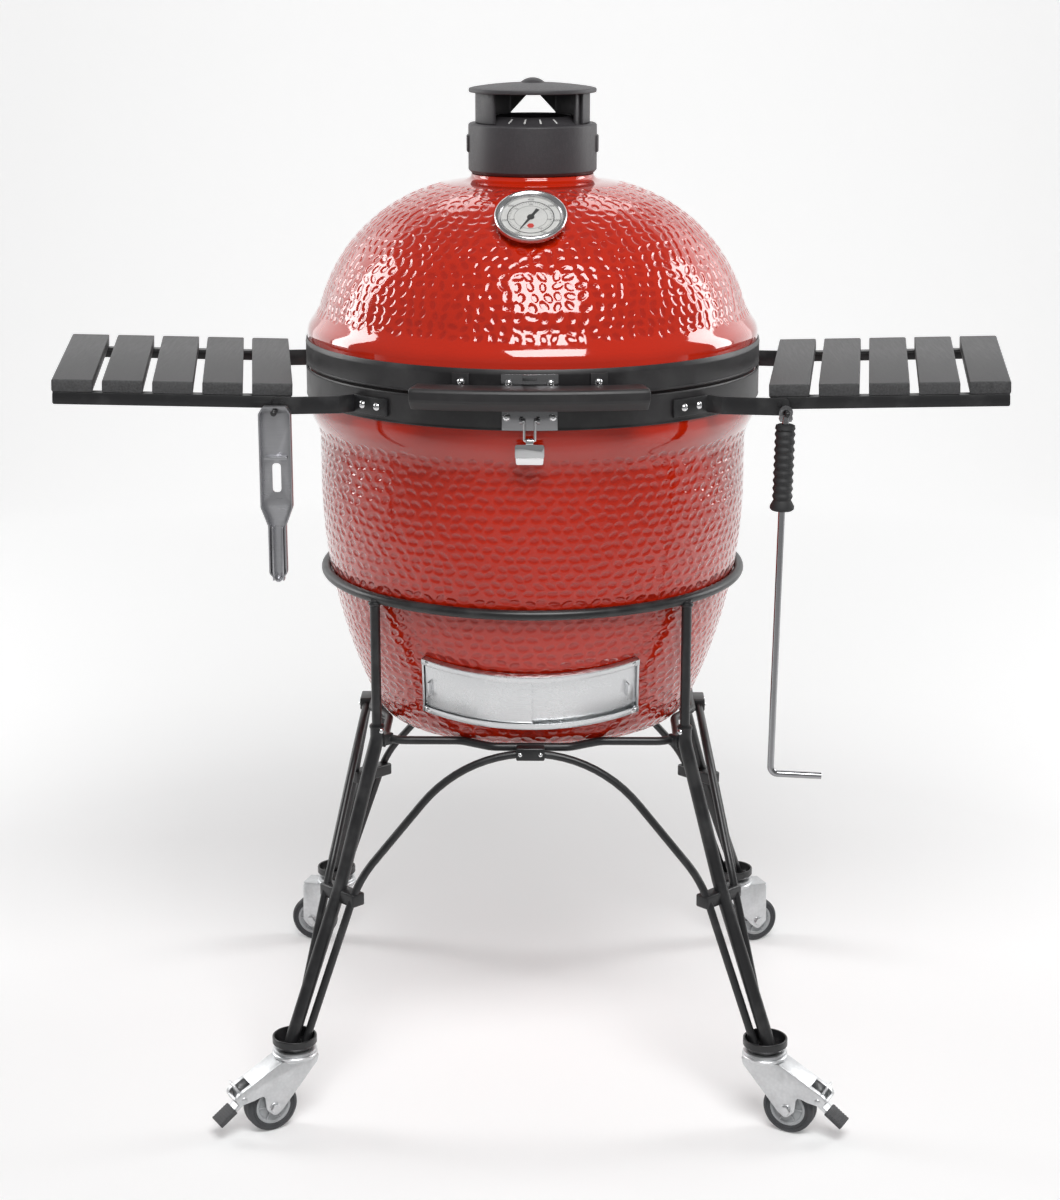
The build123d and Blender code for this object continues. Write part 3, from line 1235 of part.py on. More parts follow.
def make_fork(braked):
    """Swivel fork heading along +X, kingpin on the Z axis."""
    inner = WHEEL_W / 2 + CHEEK_GAP
    outer = inner + CHEEK_T
    crown = FORK_TOP - CHEEK_T
    if braked:
        points = [
            (-24, FORK_TOP), (24, FORK_TOP), (80, FORK_TOP - 30), (84, FORK_TOP - 36), (80, FORK_TOP - 44),
            (60, FORK_TOP - 41), (47, FORK_TOP - 37), (TRAIL + 11, AXLE_Z), (TRAIL - 10.5, AXLE_Z - 3),
            (-22, FORK_TOP - 8),
        ]
        cavity = [(-30, crown), (23.3, crown), (78.7, crown - 29.7), (81.4, crown - 34), (81.4, 0), (-30, 0)]
        round_r = 11.0
    else:
        points = [
            (-24, FORK_TOP), (45, FORK_TOP), (TRAIL + 12, AXLE_Z), (TRAIL - 11.5, AXLE_Z - 3), (-20, FORK_TOP - 8),
        ]
        cavity = [(-30, crown), (90, crown), (90, 0), (-30, 0)]
        round_r = 12.0
    hollow = make_face(Polyline(*[(x, 0, z) for x, z in cavity], close=True))
    body = side_shape(points, 2 * outer, round_r)
    body = body - Pos(0, inner, 0) * extrude(hollow, amount=2 * inner, dir=(0, -1, 0))
    ring = Solid.make_cylinder(BEARING_R, BEARING_H + 0.5, Plane(origin=(0, 0, FORK_TOP - 0.5)))
    table = Solid.make_cylinder(BEARING_R - 3, CHEEK_T, Plane(origin=(0, 0, crown)))
    pieces = [body, ring, table, axle_bar(outer)]
    if braked:
        pieces.append(rod((BRAKE_PIN_X, -outer, BRAKE_PIN_Z), (BRAKE_PIN_X, outer, BRAKE_PIN_Z), BRAKE_PIN_R))
    fork = fused(pieces) - Solid.make_cylinder(KINGPIN_R + RUN, 60.0, Plane(origin=(0, 0, crown - 5)))
    if braked:
        half = BRAKE_W / 2 + SLIP
        fork = fork - block((63, 80.5), (-half, half), (BRAKE_PIN_Z + 4, FORK_TOP))
    return fork


BRAKE_PIN_R = 2.5


def axle_bar(outer):
    axle = rod((TRAIL, -outer - 2, AXLE_Z), (TRAIL, outer + 2, AXLE_Z), AXLE_R)
    for face in (-1, 1):
        axle = axle + rod((TRAIL, face * outer, AXLE_Z), (TRAIL, face * (outer + 3.5), AXLE_Z), AXLE_R + 2.2)
    return axle


def make_hub():
    half = WHEEL_W / 2
    boss = WHEEL_W / 2 + CHEEK_GAP - SLIP
    hub = revolved(*outline([
        (AXLE_R + RUN, -boss),
        (AXLE_R + 4, -boss),
        (AXLE_R + 5, -half + 3),
        (HUB_R - 5, -half + 3),
        (HUB_R - 3, -half + 1),
        (HUB_R, -half + 1),
        (HUB_R, half - 1),
        (HUB_R - 3, half - 1),
        (HUB_R - 5, half - 3),
        (AXLE_R + 5, half - 3),
        (AXLE_R + 4, boss),
        (AXLE_R + RUN, boss),
    ]))
    return Pos(TRAIL, 0, AXLE_Z) * Rot(90, 0, 0) * hub


def make_tyre():
    half = WHEEL_W / 2
    tyre = revolved(*outline([
        (HUB_R + SEAT / 2, -half + 1),
        (WHEEL_R - 4, -half),
        (WHEEL_R - 1, -half + 1.8),
        (WHEEL_R, -half + 5),
        (WHEEL_R, half - 5),
        (WHEEL_R - 1, half - 1.8),
        (WHEEL_R - 4, half),
        (HUB_R + SEAT / 2, half - 1),
    ]))
    return Pos(TRAIL, 0, AXLE_Z) * Rot(90, 0, 0) * tyre


def make_pedal():
    """Rocking brake lever: tab above the housing, ribbed pad in front of it."""
    x = BRAKE_PIN_X
    z = BRAKE_PIN_Z
    half = BRAKE_W / 2
    arm = make_face(Polyline(
        (x - 4.5, 0, z + 3), (x - 3.5, 0, z - 8), (x + 8, 0, z - 17), (x + 14, 0, z - 21),
        (x + 16, 0, z - 18), (x + 4.5, 0, z - 8.5), (x + 4.5, 0, z + 3), (x + 5.5, 0, z + 8),
        (x + 10, 0, z + 17), (x + 8, 0, z + 18), (x + 2.5, 0, z + 8), close=True,
    ))
    lever = Pos(0, half, 0) * extrude(arm, amount=2 * half, dir=(0, -1, 0))
    boss = rod((x, -half, z), (x, half, z), BRAKE_PIN_R + 2.6)
    pad = Box(25.0, 26.0, 5.0)
    for i in range(4):
        pad = pad + Pos(-8.4 + 5.6 * i, 0, 2.4) * Box(2.6, 26.0, 1.8)
    pad = Pos(x + 19.5, 0, z - 21.5) * Rot(0, 36, 0) * pad
    bore = rod((x, -30, z), (x, 30, z), BRAKE_PIN_R + RUN)
    return fused([lever, boss, pad]) - bore


def make_casters():
    fork_kinds = {True: make_fork(True), False: make_fork(False)}
    hub = make_hub()
    tyre = make_tyre()
    pedal = make_pedal()
    for name, (sx, sy) in CASTERS.items():
        place = Pos(sx * CUP_Q, sy * CUP_Q, 0) * Rot(0, 0, CASTER_TURN[name])
        braked = name.startswith("front")
        parts["fork_" + name] = place * fork_kinds[braked]
        parts["hub_" + name] = place * hub
        parts["tyre_" + name] = place * tyre
        if braked:
            parts["brake_" + name] = place * pedal


# ================================================================== everything
def build_all():
    parts["ceramic_base"] = make_ceramic_base()
    parts["ceramic_dome"] = make_ceramic_dome()
    make_gaskets()
    parts["firebox"] = make_firebox()
    parts["coal_grate"] = make_coal_grate()
    parts["fire_ring"] = make_fire_ring()
    parts["grate_rack"] = make_rack()
    parts["cooking_grate_left"] = make_cooking_grate(-1)
    parts["cooking_grate_right"] = make_cooking_grate(1)
    make_bands()
    parts["lid_handle"] = make_handle()
    parts["latch_catch"] = make_catch()
    parts["latch_plate"] = make_latch_plate()
    parts["latch_bail"] = make_bail()
    parts["latch_tab"] = make_tab()
    make_band_bolts()
    make_hinge()
    make_thermometer()
    make_vent()
    make_draft()
    for side in (-1, 1):
        make_shelf(side)
    parts["shelf_arms"] = make_shelf_arms()
    parts["grate_gripper"] = make_gripper()
    make_ash_tool()
    parts["cart_ring"] = make_ring()
    parts["cradle_hoop"] = make_hoop()
    make_legs()
    make_clamps()
    for name, shape in parts.items():
        if name not in ("leg_tubes", "leg_arches", "cart_clamps", "cart_bolts"):
            parts[name] = Pos(0, 0, LIFT) * shape
    parts["caster_cups"] = make_cups()
    make_casters()


build_all()
os.makedirs("parts", exist_ok=True)
for name, shape in parts.items():
    export_step(shape, "parts/" + name + ".step")
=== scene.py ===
"""Kamado ceramic grill on its cart: the visible model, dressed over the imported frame.

Sizes in the classes are millimetres; meshes are scaled to metres when they are finished.
+Z is up, -Y is the front, and the origin is on the floor below the bowl.
"""
import sys
import logging
from dataclasses import dataclass
from enum import Enum
from math import asin, atan2, ceil, cos, degrees, dist, hypot, pi, radians, sin, sqrt, tan
from typing import Dict, List, Optional, Sequence, Tuple, Union

import bmesh
import bpy
import numpy as np
from mathutils import Matrix, Vector
from mathutils.geometry import tessellate_polygon


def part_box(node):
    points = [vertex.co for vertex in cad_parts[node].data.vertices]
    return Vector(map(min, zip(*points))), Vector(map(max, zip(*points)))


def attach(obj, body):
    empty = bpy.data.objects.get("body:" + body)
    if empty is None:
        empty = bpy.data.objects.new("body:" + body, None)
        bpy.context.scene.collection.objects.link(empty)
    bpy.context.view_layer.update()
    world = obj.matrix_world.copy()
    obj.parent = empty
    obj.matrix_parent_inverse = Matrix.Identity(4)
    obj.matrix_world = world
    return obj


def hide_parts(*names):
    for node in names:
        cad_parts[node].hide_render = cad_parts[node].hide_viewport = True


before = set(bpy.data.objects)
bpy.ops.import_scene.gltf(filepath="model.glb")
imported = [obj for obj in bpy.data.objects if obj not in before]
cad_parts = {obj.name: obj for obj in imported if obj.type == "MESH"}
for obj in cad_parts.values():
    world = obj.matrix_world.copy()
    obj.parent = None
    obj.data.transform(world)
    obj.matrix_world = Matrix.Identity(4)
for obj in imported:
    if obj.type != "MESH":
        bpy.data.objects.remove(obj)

MM = 0.001
LOG = logging.getLogger("grill")
Point2 = Tuple[float, float]
Point3 = Tuple[float, float, float]
Colour = Tuple[float, float, float]
Mesh, Tree, Node = bpy.types.Mesh, bpy.types.NodeTree, bpy.types.Node
Socket, Sockets = bpy.types.NodeSocket, bpy.types.bpy_prop_collection
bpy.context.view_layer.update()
TINY = 1e-6
BEVELLED = 0.55  # angle between faces, in radians, from which an edge is bevelled
STRAIGHT = 3.0  # corner angle, in radians, from which a corner is left as it is
CORNERS = ((-1, -1), (1, -1), (-1, 1), (1, 1))


class Side(Enum):
    """Left or right of the grill, as seen from the front."""

    LEFT = -1
    RIGHT = 1


# ---------------------------------------------------------------- node graphs
class Signal:
    """A number socket that Python's operators turn into Math nodes."""

    def __init__(self, graph: "Graph", socket: Socket) -> None:
        """Wraps one output socket of a graph."""
        self.graph = graph
        self.socket = socket

    def _maths(self, operation: str, *values: object) -> "Signal":
        """Adds one Math node.

        Args:
            operation: The node's operation.
            values: Its inputs, as numbers or signals.

        Returns:
            The node's result.
        """
        return self.graph.number("ShaderNodeMath", {"operation": operation}, dict(enumerate(values)))

    def __add__(self, other: object) -> "Signal":
        """Sum."""
        return self._maths("ADD", self, other)

    __radd__ = __add__

    def __sub__(self, other: object) -> "Signal":
        """Difference."""
        return self._maths("SUBTRACT", self, other)

    def __rsub__(self, other: object) -> "Signal":
        """Difference from a plain number."""
        return self._maths("SUBTRACT", other, self)

    def __mul__(self, other: object) -> "Signal":
        """Product."""
        return self._maths("MULTIPLY", self, other)

    __rmul__ = __mul__

    def spread(self, low: float, high: float, out_low: float = 0.0, out_high: float = 1.0) -> "Signal":
        """Clamped change of range.

        Args:
            low: Input that gives out_low.
            high: Input that gives out_high.
            out_low: Result at and beyond low.
            out_high: Result at and beyond high.

        Returns:
            The new signal.
        """
        values = {1: low, 2: high, 3: out_low, 4: out_high, 0: self}
        return self.graph.number("ShaderNodeMapRange", {"clamp": True}, values)


class Graph:
    """A node tree with one way to add any node."""

    def __init__(self, tree: Tree) -> None:
        """Starts on an existing tree and clears it."""
        self.tree = tree
        tree.nodes.clear()

    def node(self, kind: str, settings: Optional[dict] = None, inputs: Optional[dict] = None) -> Node:
        """Adds a node.

        Args:
            kind: Blender's type name.
            settings: Attributes, set first; "stops" are a ramp's (place, colour) pairs.
            inputs: Values or links by socket name or number.

        Returns:
            The node.
        """
        made = self.tree.nodes.new(kind)
        for name, value in (settings or {}).items():
            if name == "stops":
                ramp = made.color_ramp.elements
                while len(ramp) < len(value):
                    ramp.new(1.0)
                for stop, (place, colour) in zip(ramp, value):
                    stop.position = place
                    stop.color = (*colour, 1.0)
            else:
                setattr(made, name, value)
        for key, value in (inputs or {}).items():
            socket = made.inputs[key]
            if isinstance(value, Signal):
                value = value.socket
            if isinstance(value, Socket):
                self.tree.links.new(value, socket)
            elif value is not None:
                socket.default_value = value
        return made

    def number(
        self, kind: str, settings: Optional[dict] = None, inputs: Optional[dict] = None, out: object = 0
    ) -> Signal:
        """Adds a node and wraps one of its number outputs."""
        return Signal(self, self.node(kind, settings, inputs).outputs[out])

    def place(self, scale: Point3 = (1.0, 1.0, 1.0), turn: Point3 = (0.0, 0.0, 0.0)) -> Socket:
        """Object coordinates, stretched and turned.

        Args:
            scale: Factors along X, Y and Z.
            turn: Rotation in radians.

        Returns:
            The vector socket.
        """
        where = self.node("ShaderNodeTexCoord").outputs["Object"]
        inputs = {"Vector": where, "Rotation": turn, "Scale": scale}
        return self.node("ShaderNodeMapping", None, inputs).outputs["Vector"]

    def noise(self, where: Socket, scale: float, detail: float = 3.0, rough: float = 0.5) -> Signal:
        """Noise texture, zero to one."""
        inputs = {"Vector": where, "Scale": scale, "Detail": detail, "Roughness": rough}
        return self.number("ShaderNodeTexNoise", None, inputs, "Fac")

    def cells(self, where: Socket, scale: float, feature: str = "F1") -> Signal:
        """Voronoi distance."""
        return self.number(
            "ShaderNodeTexVoronoi", {"feature": feature}, {"Vector": where, "Scale": scale}, "Distance"
        )

    def mix(self, factor: object, first: object, second: object) -> Socket:
        """Mixes two colours.

        Args:
            factor: Share of the second.
            first: Colour or socket.
            second: Colour or socket.

        Returns:
            The colour socket.
        """
        def full(value: object) -> object:
            """A colour with its alpha."""
            return (*value, 1.0) if isinstance(value, tuple) else value

        settings = {"data_type": "RGBA"}
        made = self.node("ShaderNodeMix", settings, {0: factor, 6: full(first), 7: full(second)})
        return made.outputs[2]

    def seen(self) -> Signal:
        """One for the rays of the camera, of mirrors and through glass."""
        rays = self.node("ShaderNodeLightPath").outputs
        looks = Signal(self, rays["Is Camera Ray"]) + Signal(self, rays["Is Glossy Ray"])
        return looks + Signal(self, rays["Is Transmission Ray"])

    def bump(self, height: Signal, depth_mm: float, under: Optional[Socket] = None) -> Socket:
        """Bump of a height signal.

        Args:
            height: Zero to one.
            depth_mm: Relief in millimetres.
            under: Normal that it adds to.

        Returns:
            The normal socket.
        """
        inputs = {"Height": height, "Distance": depth_mm * MM, "Strength": 1.0, "Normal": under}
        return self.node("ShaderNodeBump", None, inputs).outputs["Normal"]


# ---------------------------------------------------------------- finishes
@dataclass(frozen=True)
class Finish:
    """A surface finish that makes one shared material."""

    name: str
    colour: Colour
    roughness: float = 0.5
    metallic: float = 0.0

    def material(self) -> bpy.types.Material:
        """The material, made once.

        Returns:
            The shared material.
        """
        known = bpy.data.materials.get(self.name)
        if known is not None:
            return known
        made = bpy.data.materials.new(self.name)
        made.use_nodes = True
        graph = Graph(made.node_tree)
        base = {"Base Color": (*self.colour, 1.0), "Roughness": self.roughness, "Metallic": self.metallic}
        shader = graph.node("ShaderNodeBsdfPrincipled", None, base)
        surface = self.dress(graph, shader) or shader.outputs["BSDF"]
        graph.node("ShaderNodeOutputMaterial", None, {"Surface": surface})
        made.diffuse_color = (*self.colour, 1.0)
        return made

    def dress(self, graph: Graph, shader: Node) -> Optional[Socket]:
        """Adds what varies over the surface; subclasses fill this in."""
        return None

    def shade(self, factor: float) -> Colour:
        """The finish's colour, darker below one and paler above."""
        return tuple(c * factor for c in self.colour)

    def feed(self, graph: Graph, shader: Node, **links: object) -> None:
        """Links signals to the shader's sockets.

        Args:
            graph: The material's graph.
            shader: The principled shader.
            links: Signals or sockets by socket name, with _ for a space.
        """
        for name, value in links.items():
            socket = value.socket if isinstance(value, Signal) else value
            graph.tree.links.new(socket, shader.inputs[name.replace("_", " ")])


@dataclass(frozen=True)
class Glaze(Finish):
    """Fired gloss glaze that pools darker in the dents."""

    pool: Colour = (0.23, 0.004, 0.003)

    def dress(self, graph: Graph, shader: Node) -> None:
        """Colour from the dents' depth and slow firing variation."""
        where = graph.place()
        dent = graph.number("ShaderNodeAttribute", {"attribute_name": "dent"}, None, "Fac")
        fired = graph.noise(where, 9.0, 4.0).spread(0.35, 0.7)
        pooled = graph.mix(dent * 0.4, self.colour, self.pool)
        tint = graph.mix(fired * 0.35, pooled, self.shade(0.78))
        shader.inputs["Coat Weight"].default_value = 1.0
        shader.inputs["Coat Roughness"].default_value = 0.03
        shader.inputs["IOR"].default_value = 1.52
        shader.inputs["Specular IOR Level"].default_value = 0.3
        skin = graph.noise(where, 160.0, 2.0)
        ripple = graph.bump(skin, 0.05, graph.bump(graph.noise(where, 45.0, 2.0), 0.16))
        rough = graph.noise(where, 30.0, 3.0).spread(0.3, 0.8, self.roughness, self.roughness + 0.05)
        self.feed(graph, shader, Base_Color=tint, Roughness=rough, Normal=ripple)


@dataclass(frozen=True)
class PowderCoat(Finish):
    """Baked powder paint with a fine orange peel and rubbed spots."""

    grain: float = 900.0
    relief: float = 0.03
    rubbed: Colour = (0.12, 0.12, 0.12)

    def dress(self, graph: Graph, shader: Node) -> None:
        """Peel, dusting and rub marks."""
        where = graph.place()
        peel = graph.noise(where, self.grain, 2.0)
        dust = graph.noise(where, 24.0, 5.0, 0.6).spread(0.48, 0.78)
        scuff = graph.noise(graph.place((1.0, 1.0, 3.0)), 120.0, 4.0, 0.7).spread(0.66, 0.74)
        tint = graph.mix(dust * 0.25 + scuff * 0.2, self.colour, self.rubbed)
        rough = dust.spread(0.0, 1.0, self.roughness, self.roughness + 0.14)
        self.feed(graph, shader, Base_Color=tint, Roughness=rough, Normal=graph.bump(peel, self.relief))


@dataclass(frozen=True)
class Brushed(Finish):
    """Metal drawn or brushed along one direction."""

    stretch: Point3 = (1.0, 40.0, 40.0)
    scale: float = 30.0
    relief: float = 0.004

    def dress(self, graph: Graph, shader: Node) -> None:
        """Long fine scratches in roughness and relief, with soft smears."""
        lines = graph.noise(graph.place(self.stretch), self.scale, 4.0, 0.65)
        smear = graph.noise(graph.place(), 18.0, 3.0).spread(0.3, 0.75)
        dark = self.shade(0.72)
        tint = graph.mix(lines.spread(0.35, 0.7) * 0.25 + smear * 0.2, self.colour, dark)
        rough = lines.spread(0.25, 0.8, self.roughness - 0.04, self.roughness + 0.07) + smear * 0.05
        self.feed(graph, shader, Base_Color=tint, Roughness=rough, Normal=graph.bump(lines, self.relief))


@dataclass(frozen=True)
class Polished(Finish):
    """Bright polished or plated metal with faint marks."""

    def dress(self, graph: Graph, shader: Node) -> None:
        """Fine wipe marks."""
        where = graph.place()
        marks = graph.noise(graph.place((1.0, 1.0, 6.0)), 70.0, 5.0, 0.7).spread(0.4, 0.75)
        tint = graph.mix(marks * 0.3, self.colour, self.shade(0.8))
        rough = marks.spread(0.0, 1.0, self.roughness, self.roughness + 0.12)
        wave = graph.bump(graph.noise(where, 60.0, 2.0), 0.04)
        self.feed(graph, shader, Base_Color=tint, Roughness=rough, Normal=wave)


@dataclass(frozen=True)
class Zinc(Finish):
    """Plated pressed steel with a faint spangle."""

    def dress(self, graph: Graph, shader: Node) -> None:
        """Spangle, dulled patches and fine grain."""
        where = graph.place()
        spangle = graph.cells(where, 260.0).spread(0.0, 0.9)
        dull = graph.noise(where, 45.0, 4.0).spread(0.35, 0.75)
        tint = graph.mix(spangle * 0.25 + dull * 0.3, self.colour, self.shade(0.66))
        rough = dull.spread(0.0, 1.0, self.roughness, self.roughness + 0.16) + spangle * 0.05
        self.feed(
            graph, shader, Base_Color=tint, Roughness=rough,
            Normal=graph.bump(graph.noise(where, 500.0), 0.015)
        )


@dataclass(frozen=True)
class SandCast(Finish):
    """Cast metal, raw or under a thin coat, with a sandy skin."""

    grain: float = 420.0
    relief: float = 0.12

    def dress(self, graph: Graph, shader: Node) -> None:
        """Sandy relief and worn high spots."""
        where = graph.place()
        sand = graph.noise(where, self.grain, 4.0, 0.65)
        slow = graph.noise(where, 20.0, 3.0).spread(0.35, 0.7)
        tint = graph.mix(sand.spread(0.45, 0.75) * 0.35 + slow * 0.2, self.colour, self.shade(1.9))
        rough = sand.spread(0.3, 0.7, self.roughness - 0.08, self.roughness + 0.1)
        self.feed(graph, shader, Base_Color=tint, Roughness=rough, Normal=graph.bump(sand, self.relief))


@dataclass(frozen=True)
class Moulded(Finish):
    """Moulded plastic or rubber with a spark-eroded grain."""

    grain: float = 1100.0
    relief: float = 0.04

    def dress(self, graph: Graph, shader: Node) -> None:
        """Grain, handling gloss in the roughness, and a painted sheen that pales the colour in the same
        patches.
        """
        where = graph.place()
        fine = graph.noise(where, self.grain, 2.0)
        gloss_and_painted_sheen = graph.noise(where, 35.0, 4.0).spread(0.4, 0.75)
        # painted sheen: the colour is paled where the handling gloss lies
        tint = graph.mix(gloss_and_painted_sheen * 0.4, self.colour, tuple(min(1.0, c * 1.35 + 0.01) for c in self.colour))
        rough = gloss_and_painted_sheen.spread(0.0, 1.0, self.roughness + 0.06, self.roughness - 0.08)
        self.feed(graph, shader, Base_Color=tint, Roughness=rough, Normal=graph.bump(fine, self.relief))


@dataclass(frozen=True)
class GrainedBoard(Finish):
    """Dark slat board with a pressed grain along its length."""

    pale: Colour = (0.09, 0.09, 0.092)

    def dress(self, graph: Graph, shader: Node) -> None:
        """Long grain, pores and slightly rubbed faces."""
        board = graph.number("ShaderNodeAttribute", {"attribute_name": "board"}, None, "Fac")
        streaks = graph.place((30.0, 1.6, 30.0))
        grain = graph.noise(streaks, 14.0, 6.0, 0.6)
        pores = graph.noise(graph.place((90.0, 5.0, 90.0)), 12.0, 3.0, 0.7).spread(0.52, 0.7)
        tint = graph.mix(grain.spread(0.3, 0.75) * 0.8, self.colour, self.pale)
        tint = graph.mix(pores * 0.5, tint, self.shade(0.45))
        tint = graph.mix(board * 0.25, tint, self.pale)
        rough = grain.spread(0.3, 0.7, self.roughness - 0.06, self.roughness + 0.08)
        relief = graph.bump(pores, -0.09, graph.bump(grain, 0.12))
        self.feed(graph, shader, Base_Color=tint, Roughness=rough, Normal=relief)


@dataclass(frozen=True)
class FireClay(Finish):
    """Unglazed fire clay with grog specks."""

    def dress(self, graph: Graph, shader: Node) -> None:
        """Specks, soot and a chalky skin."""
        where = graph.place()
        specks = graph.cells(where, 300.0).spread(0.05, 0.25, 1.0, 0.0)
        soot = graph.noise(where, 7.0, 5.0).spread(0.45, 0.75)
        tint = graph.mix(specks * 0.4, self.colour, (0.25, 0.2, 0.15))
        tint = graph.mix(soot * 0.55, tint, (0.08, 0.07, 0.06))
        relief = graph.bump(graph.noise(where, 350.0, 4.0), 0.25)
        self.feed(graph, shader, Base_Color=tint, Normal=relief)


@dataclass(frozen=True)
class Woven(Finish):
    """Woven gasket tape."""

    def dress(self, graph: Graph, shader: Node) -> None:
        """Over-and-under weave."""
        inputs = {"Vector": graph.place(), "Scale": 350.0}
        across = graph.number("ShaderNodeTexWave", {"bands_direction": "DIAGONAL"}, inputs, "Fac")
        fuzz = graph.noise(graph.place(), 900.0, 3.0)
        tint = graph.mix(across * 0.5, self.colour, self.shade(2.2))
        shader.inputs["Sheen Weight"].default_value = 0.2
        self.feed(graph, shader, Base_Color=tint, Normal=graph.bump(across * 0.7 + fuzz * 0.3, 0.2))


@dataclass(frozen=True)
class PrintedPlate(Finish):
    """Printed enamel on a thin plate."""

    def dress(self, graph: Graph, shader: Node) -> None:
        """Faint yellowing and print texture."""
        where = graph.place()
        age = graph.noise(where, 60.0, 3.0).spread(0.35, 0.75)
        yellowed = tuple(c * f for c, f in zip(self.colour, (0.92, 0.9, 0.84)))
        tint = graph.mix(age * 0.25, self.colour, yellowed)
        self.feed(graph, shader, Base_Color=tint, Normal=graph.bump(graph.noise(where, 700.0), 0.01))


@dataclass(frozen=True)
class ClearGlass(Finish):
    """Flat cover glass."""

    def dress(self, graph: Graph, shader: Node) -> Socket:
        """Mostly clear, with a faint mirror face and a few wipe marks.

        Returns:
            The mixed surface.
        """
        clear = graph.node("ShaderNodeBsdfTransparent").outputs["BSDF"]
        wipe = graph.noise(graph.place((1.0, 1.0, 3.0)), 60.0, 4.0)
        self.feed(graph, shader, Roughness=wipe.spread(0.4, 0.8, self.roughness, self.roughness + 0.05))
        mirror = wipe.spread(0.3, 0.8, 0.05, 0.09)
        inputs = {0: mirror, 1: clear, 2: shader.outputs["BSDF"]}
        return graph.node("ShaderNodeMixShader", None, inputs).outputs[0]


RED_GLAZE = Glaze("red glaze", (0.475, 0.016, 0.002), 0.05)
CART_BLACK = PowderCoat("black powder coat", (0.013, 0.013, 0.014), 0.34, 0.0, 700.0, 0.05)
BAND_BLACK = PowderCoat("dark band coat", (0.016, 0.015, 0.016), 0.42, 0.0, 1000.0, 0.03, (0.09, 0.09, 0.09))
HANDLE_BLACK = PowderCoat("handle coat", (0.018, 0.017, 0.018), 0.45, 0.0, 1300.0, 0.04, (0.07, 0.07, 0.07))
VENT_CAST = SandCast("coated cast vent", (0.034, 0.032, 0.035), 0.5)
IRON = SandCast("raw cast iron", (0.03, 0.028, 0.026), 0.6, 0.6, 300.0, 0.2)
STAINLESS = Brushed("brushed stainless sheet", (0.72, 0.73, 0.74), 0.26, 1.0)
SPUN = Polished("spun stainless case", (0.68, 0.68, 0.69), 0.17, 1.0)
GRATE_STEEL = Brushed("drawn grate rod", (0.56, 0.56, 0.56), 0.3, 1.0, (20.0, 2.0, 20.0))
CHROME = Polished("bright chrome", (0.86, 0.86, 0.87), 0.08, 1.0)
DARK_STEEL = Polished("dark plated steel", (0.36, 0.36, 0.37), 0.16, 1.0)
BOLT_STEEL = Polished("bolt steel", (0.78, 0.78, 0.79), 0.14, 1.0)
ZINC = Zinc("zinc plate", (0.70, 0.71, 0.72), 0.3, 1.0)
SLAT = GrainedBoard("dark slat board", (0.020, 0.020, 0.021), 0.5)
TYRE = Moulded("tyre rubber", (0.045, 0.046, 0.05), 0.6, 0.0, 700.0, 0.06)
HUB = Moulded("grey nylon hub", (0.34, 0.35, 0.36), 0.45)
RUBBER = Moulded("grip rubber", (0.018, 0.018, 0.019), 0.62)
PEDAL = Moulded("pedal rubber", (0.05, 0.05, 0.053), 0.6)
FELT = Woven("woven gasket", (0.02, 0.02, 0.02), 0.9)
CLAY = FireClay("fire clay", (0.52, 0.42, 0.30), 0.9)
DIAL_WHITE = PrintedPlate("white dial", (0.66, 0.66, 0.645), 0.45)
FOLDED = Brushed("folded steel sheet", (0.52, 0.52, 0.54), 0.28, 0.9, (3.0, 3.0, 40.0), 14.0)
DIAL_INK = PrintedPlate("black dial print", (0.02, 0.02, 0.02), 0.5)
DIAL_RED = PrintedPlate("red dial mark", (0.6, 0.03, 0.02), 0.5)
MARK_PAINT = PrintedPlate("pale tick paint", (0.55, 0.55, 0.54), 0.5)
GLASS = ClearGlass("cover glass", (0.9, 0.9, 0.92), 0.02, 1.0)


# ---------------------------------------------------------------- outlines
def arc(centre: Point2, radius: float, start: float, end: float, steps: int) -> List[Point2]:
    """Points on an arc.

    Args:
        centre: Its centre.
        radius: Its radius.
        start: First angle in degrees.
        end: Last angle in degrees.
        steps: Number of steps between them.

    Returns:
        The points, both ends included.
    """
    angles = [radians(start + (end - start) * i / steps) for i in range(steps + 1)]
    return [(centre[0] + radius * cos(a), centre[1] + radius * sin(a)) for a in angles]


def easy_bend(a: Point2, b: Point2, c: Point2, d: Point2, steps: int) -> List[Point2]:
    """Points on a cubic curve between a and d, drawn towards b and c."""
    curve = []
    for i in range(steps + 1):
        t = i / steps
        weights = ((1 - t) ** 3, 3 * t * (1 - t) ** 2, 3 * t * t * (1 - t), t ** 3)
        curve.append(tuple(sum(w * p[axis] for w, p in zip(weights, (a, b, c, d))) for axis in (0, 1)))
    return curve


def soften(points: Sequence[Point2], radius: float, steps: int = 3) -> List[Point2]:
    """Rounds each corner of a closed outline, except on the axis.

    Args:
        points: The corners.
        radius: Rounding, made smaller where an edge is short.
        steps: Steps in each rounding.

    Returns:
        The new outline.
    """
    rounded: List[Point2] = []
    count = len(points)
    for i, here in enumerate(points):
        before, after = Vector(points[i - 1]), Vector(points[(i + 1) % count])
        corner = Vector(here)
        to_before, to_after = before - corner, after - corner
        short = to_before.length < TINY or to_after.length < TINY
        if abs(here[0]) < TINY or short or to_before.angle(to_after) > STRAIGHT:
            rounded.append(tuple(here))
            continue
        turn = to_before.angle(to_after)
        back = min(radius / tan(turn / 2), 0.45 * to_before.length, 0.45 * to_after.length)
        first = corner + to_before.normalized() * back
        last = corner + to_after.normalized() * back
        for k in range(steps + 1):
            t = k / steps
            rounded.append(tuple(first * (1 - t) ** 2 + corner * 2 * t * (1 - t) + last * t * t))
    return rounded


def oblong(x: Point2, y: Point2) -> List[Point2]:
    """Corners of a rectangle between low and high values."""
    return [(x[0], y[0]), (x[1], y[0]), (x[1], y[1]), (x[0], y[1])]


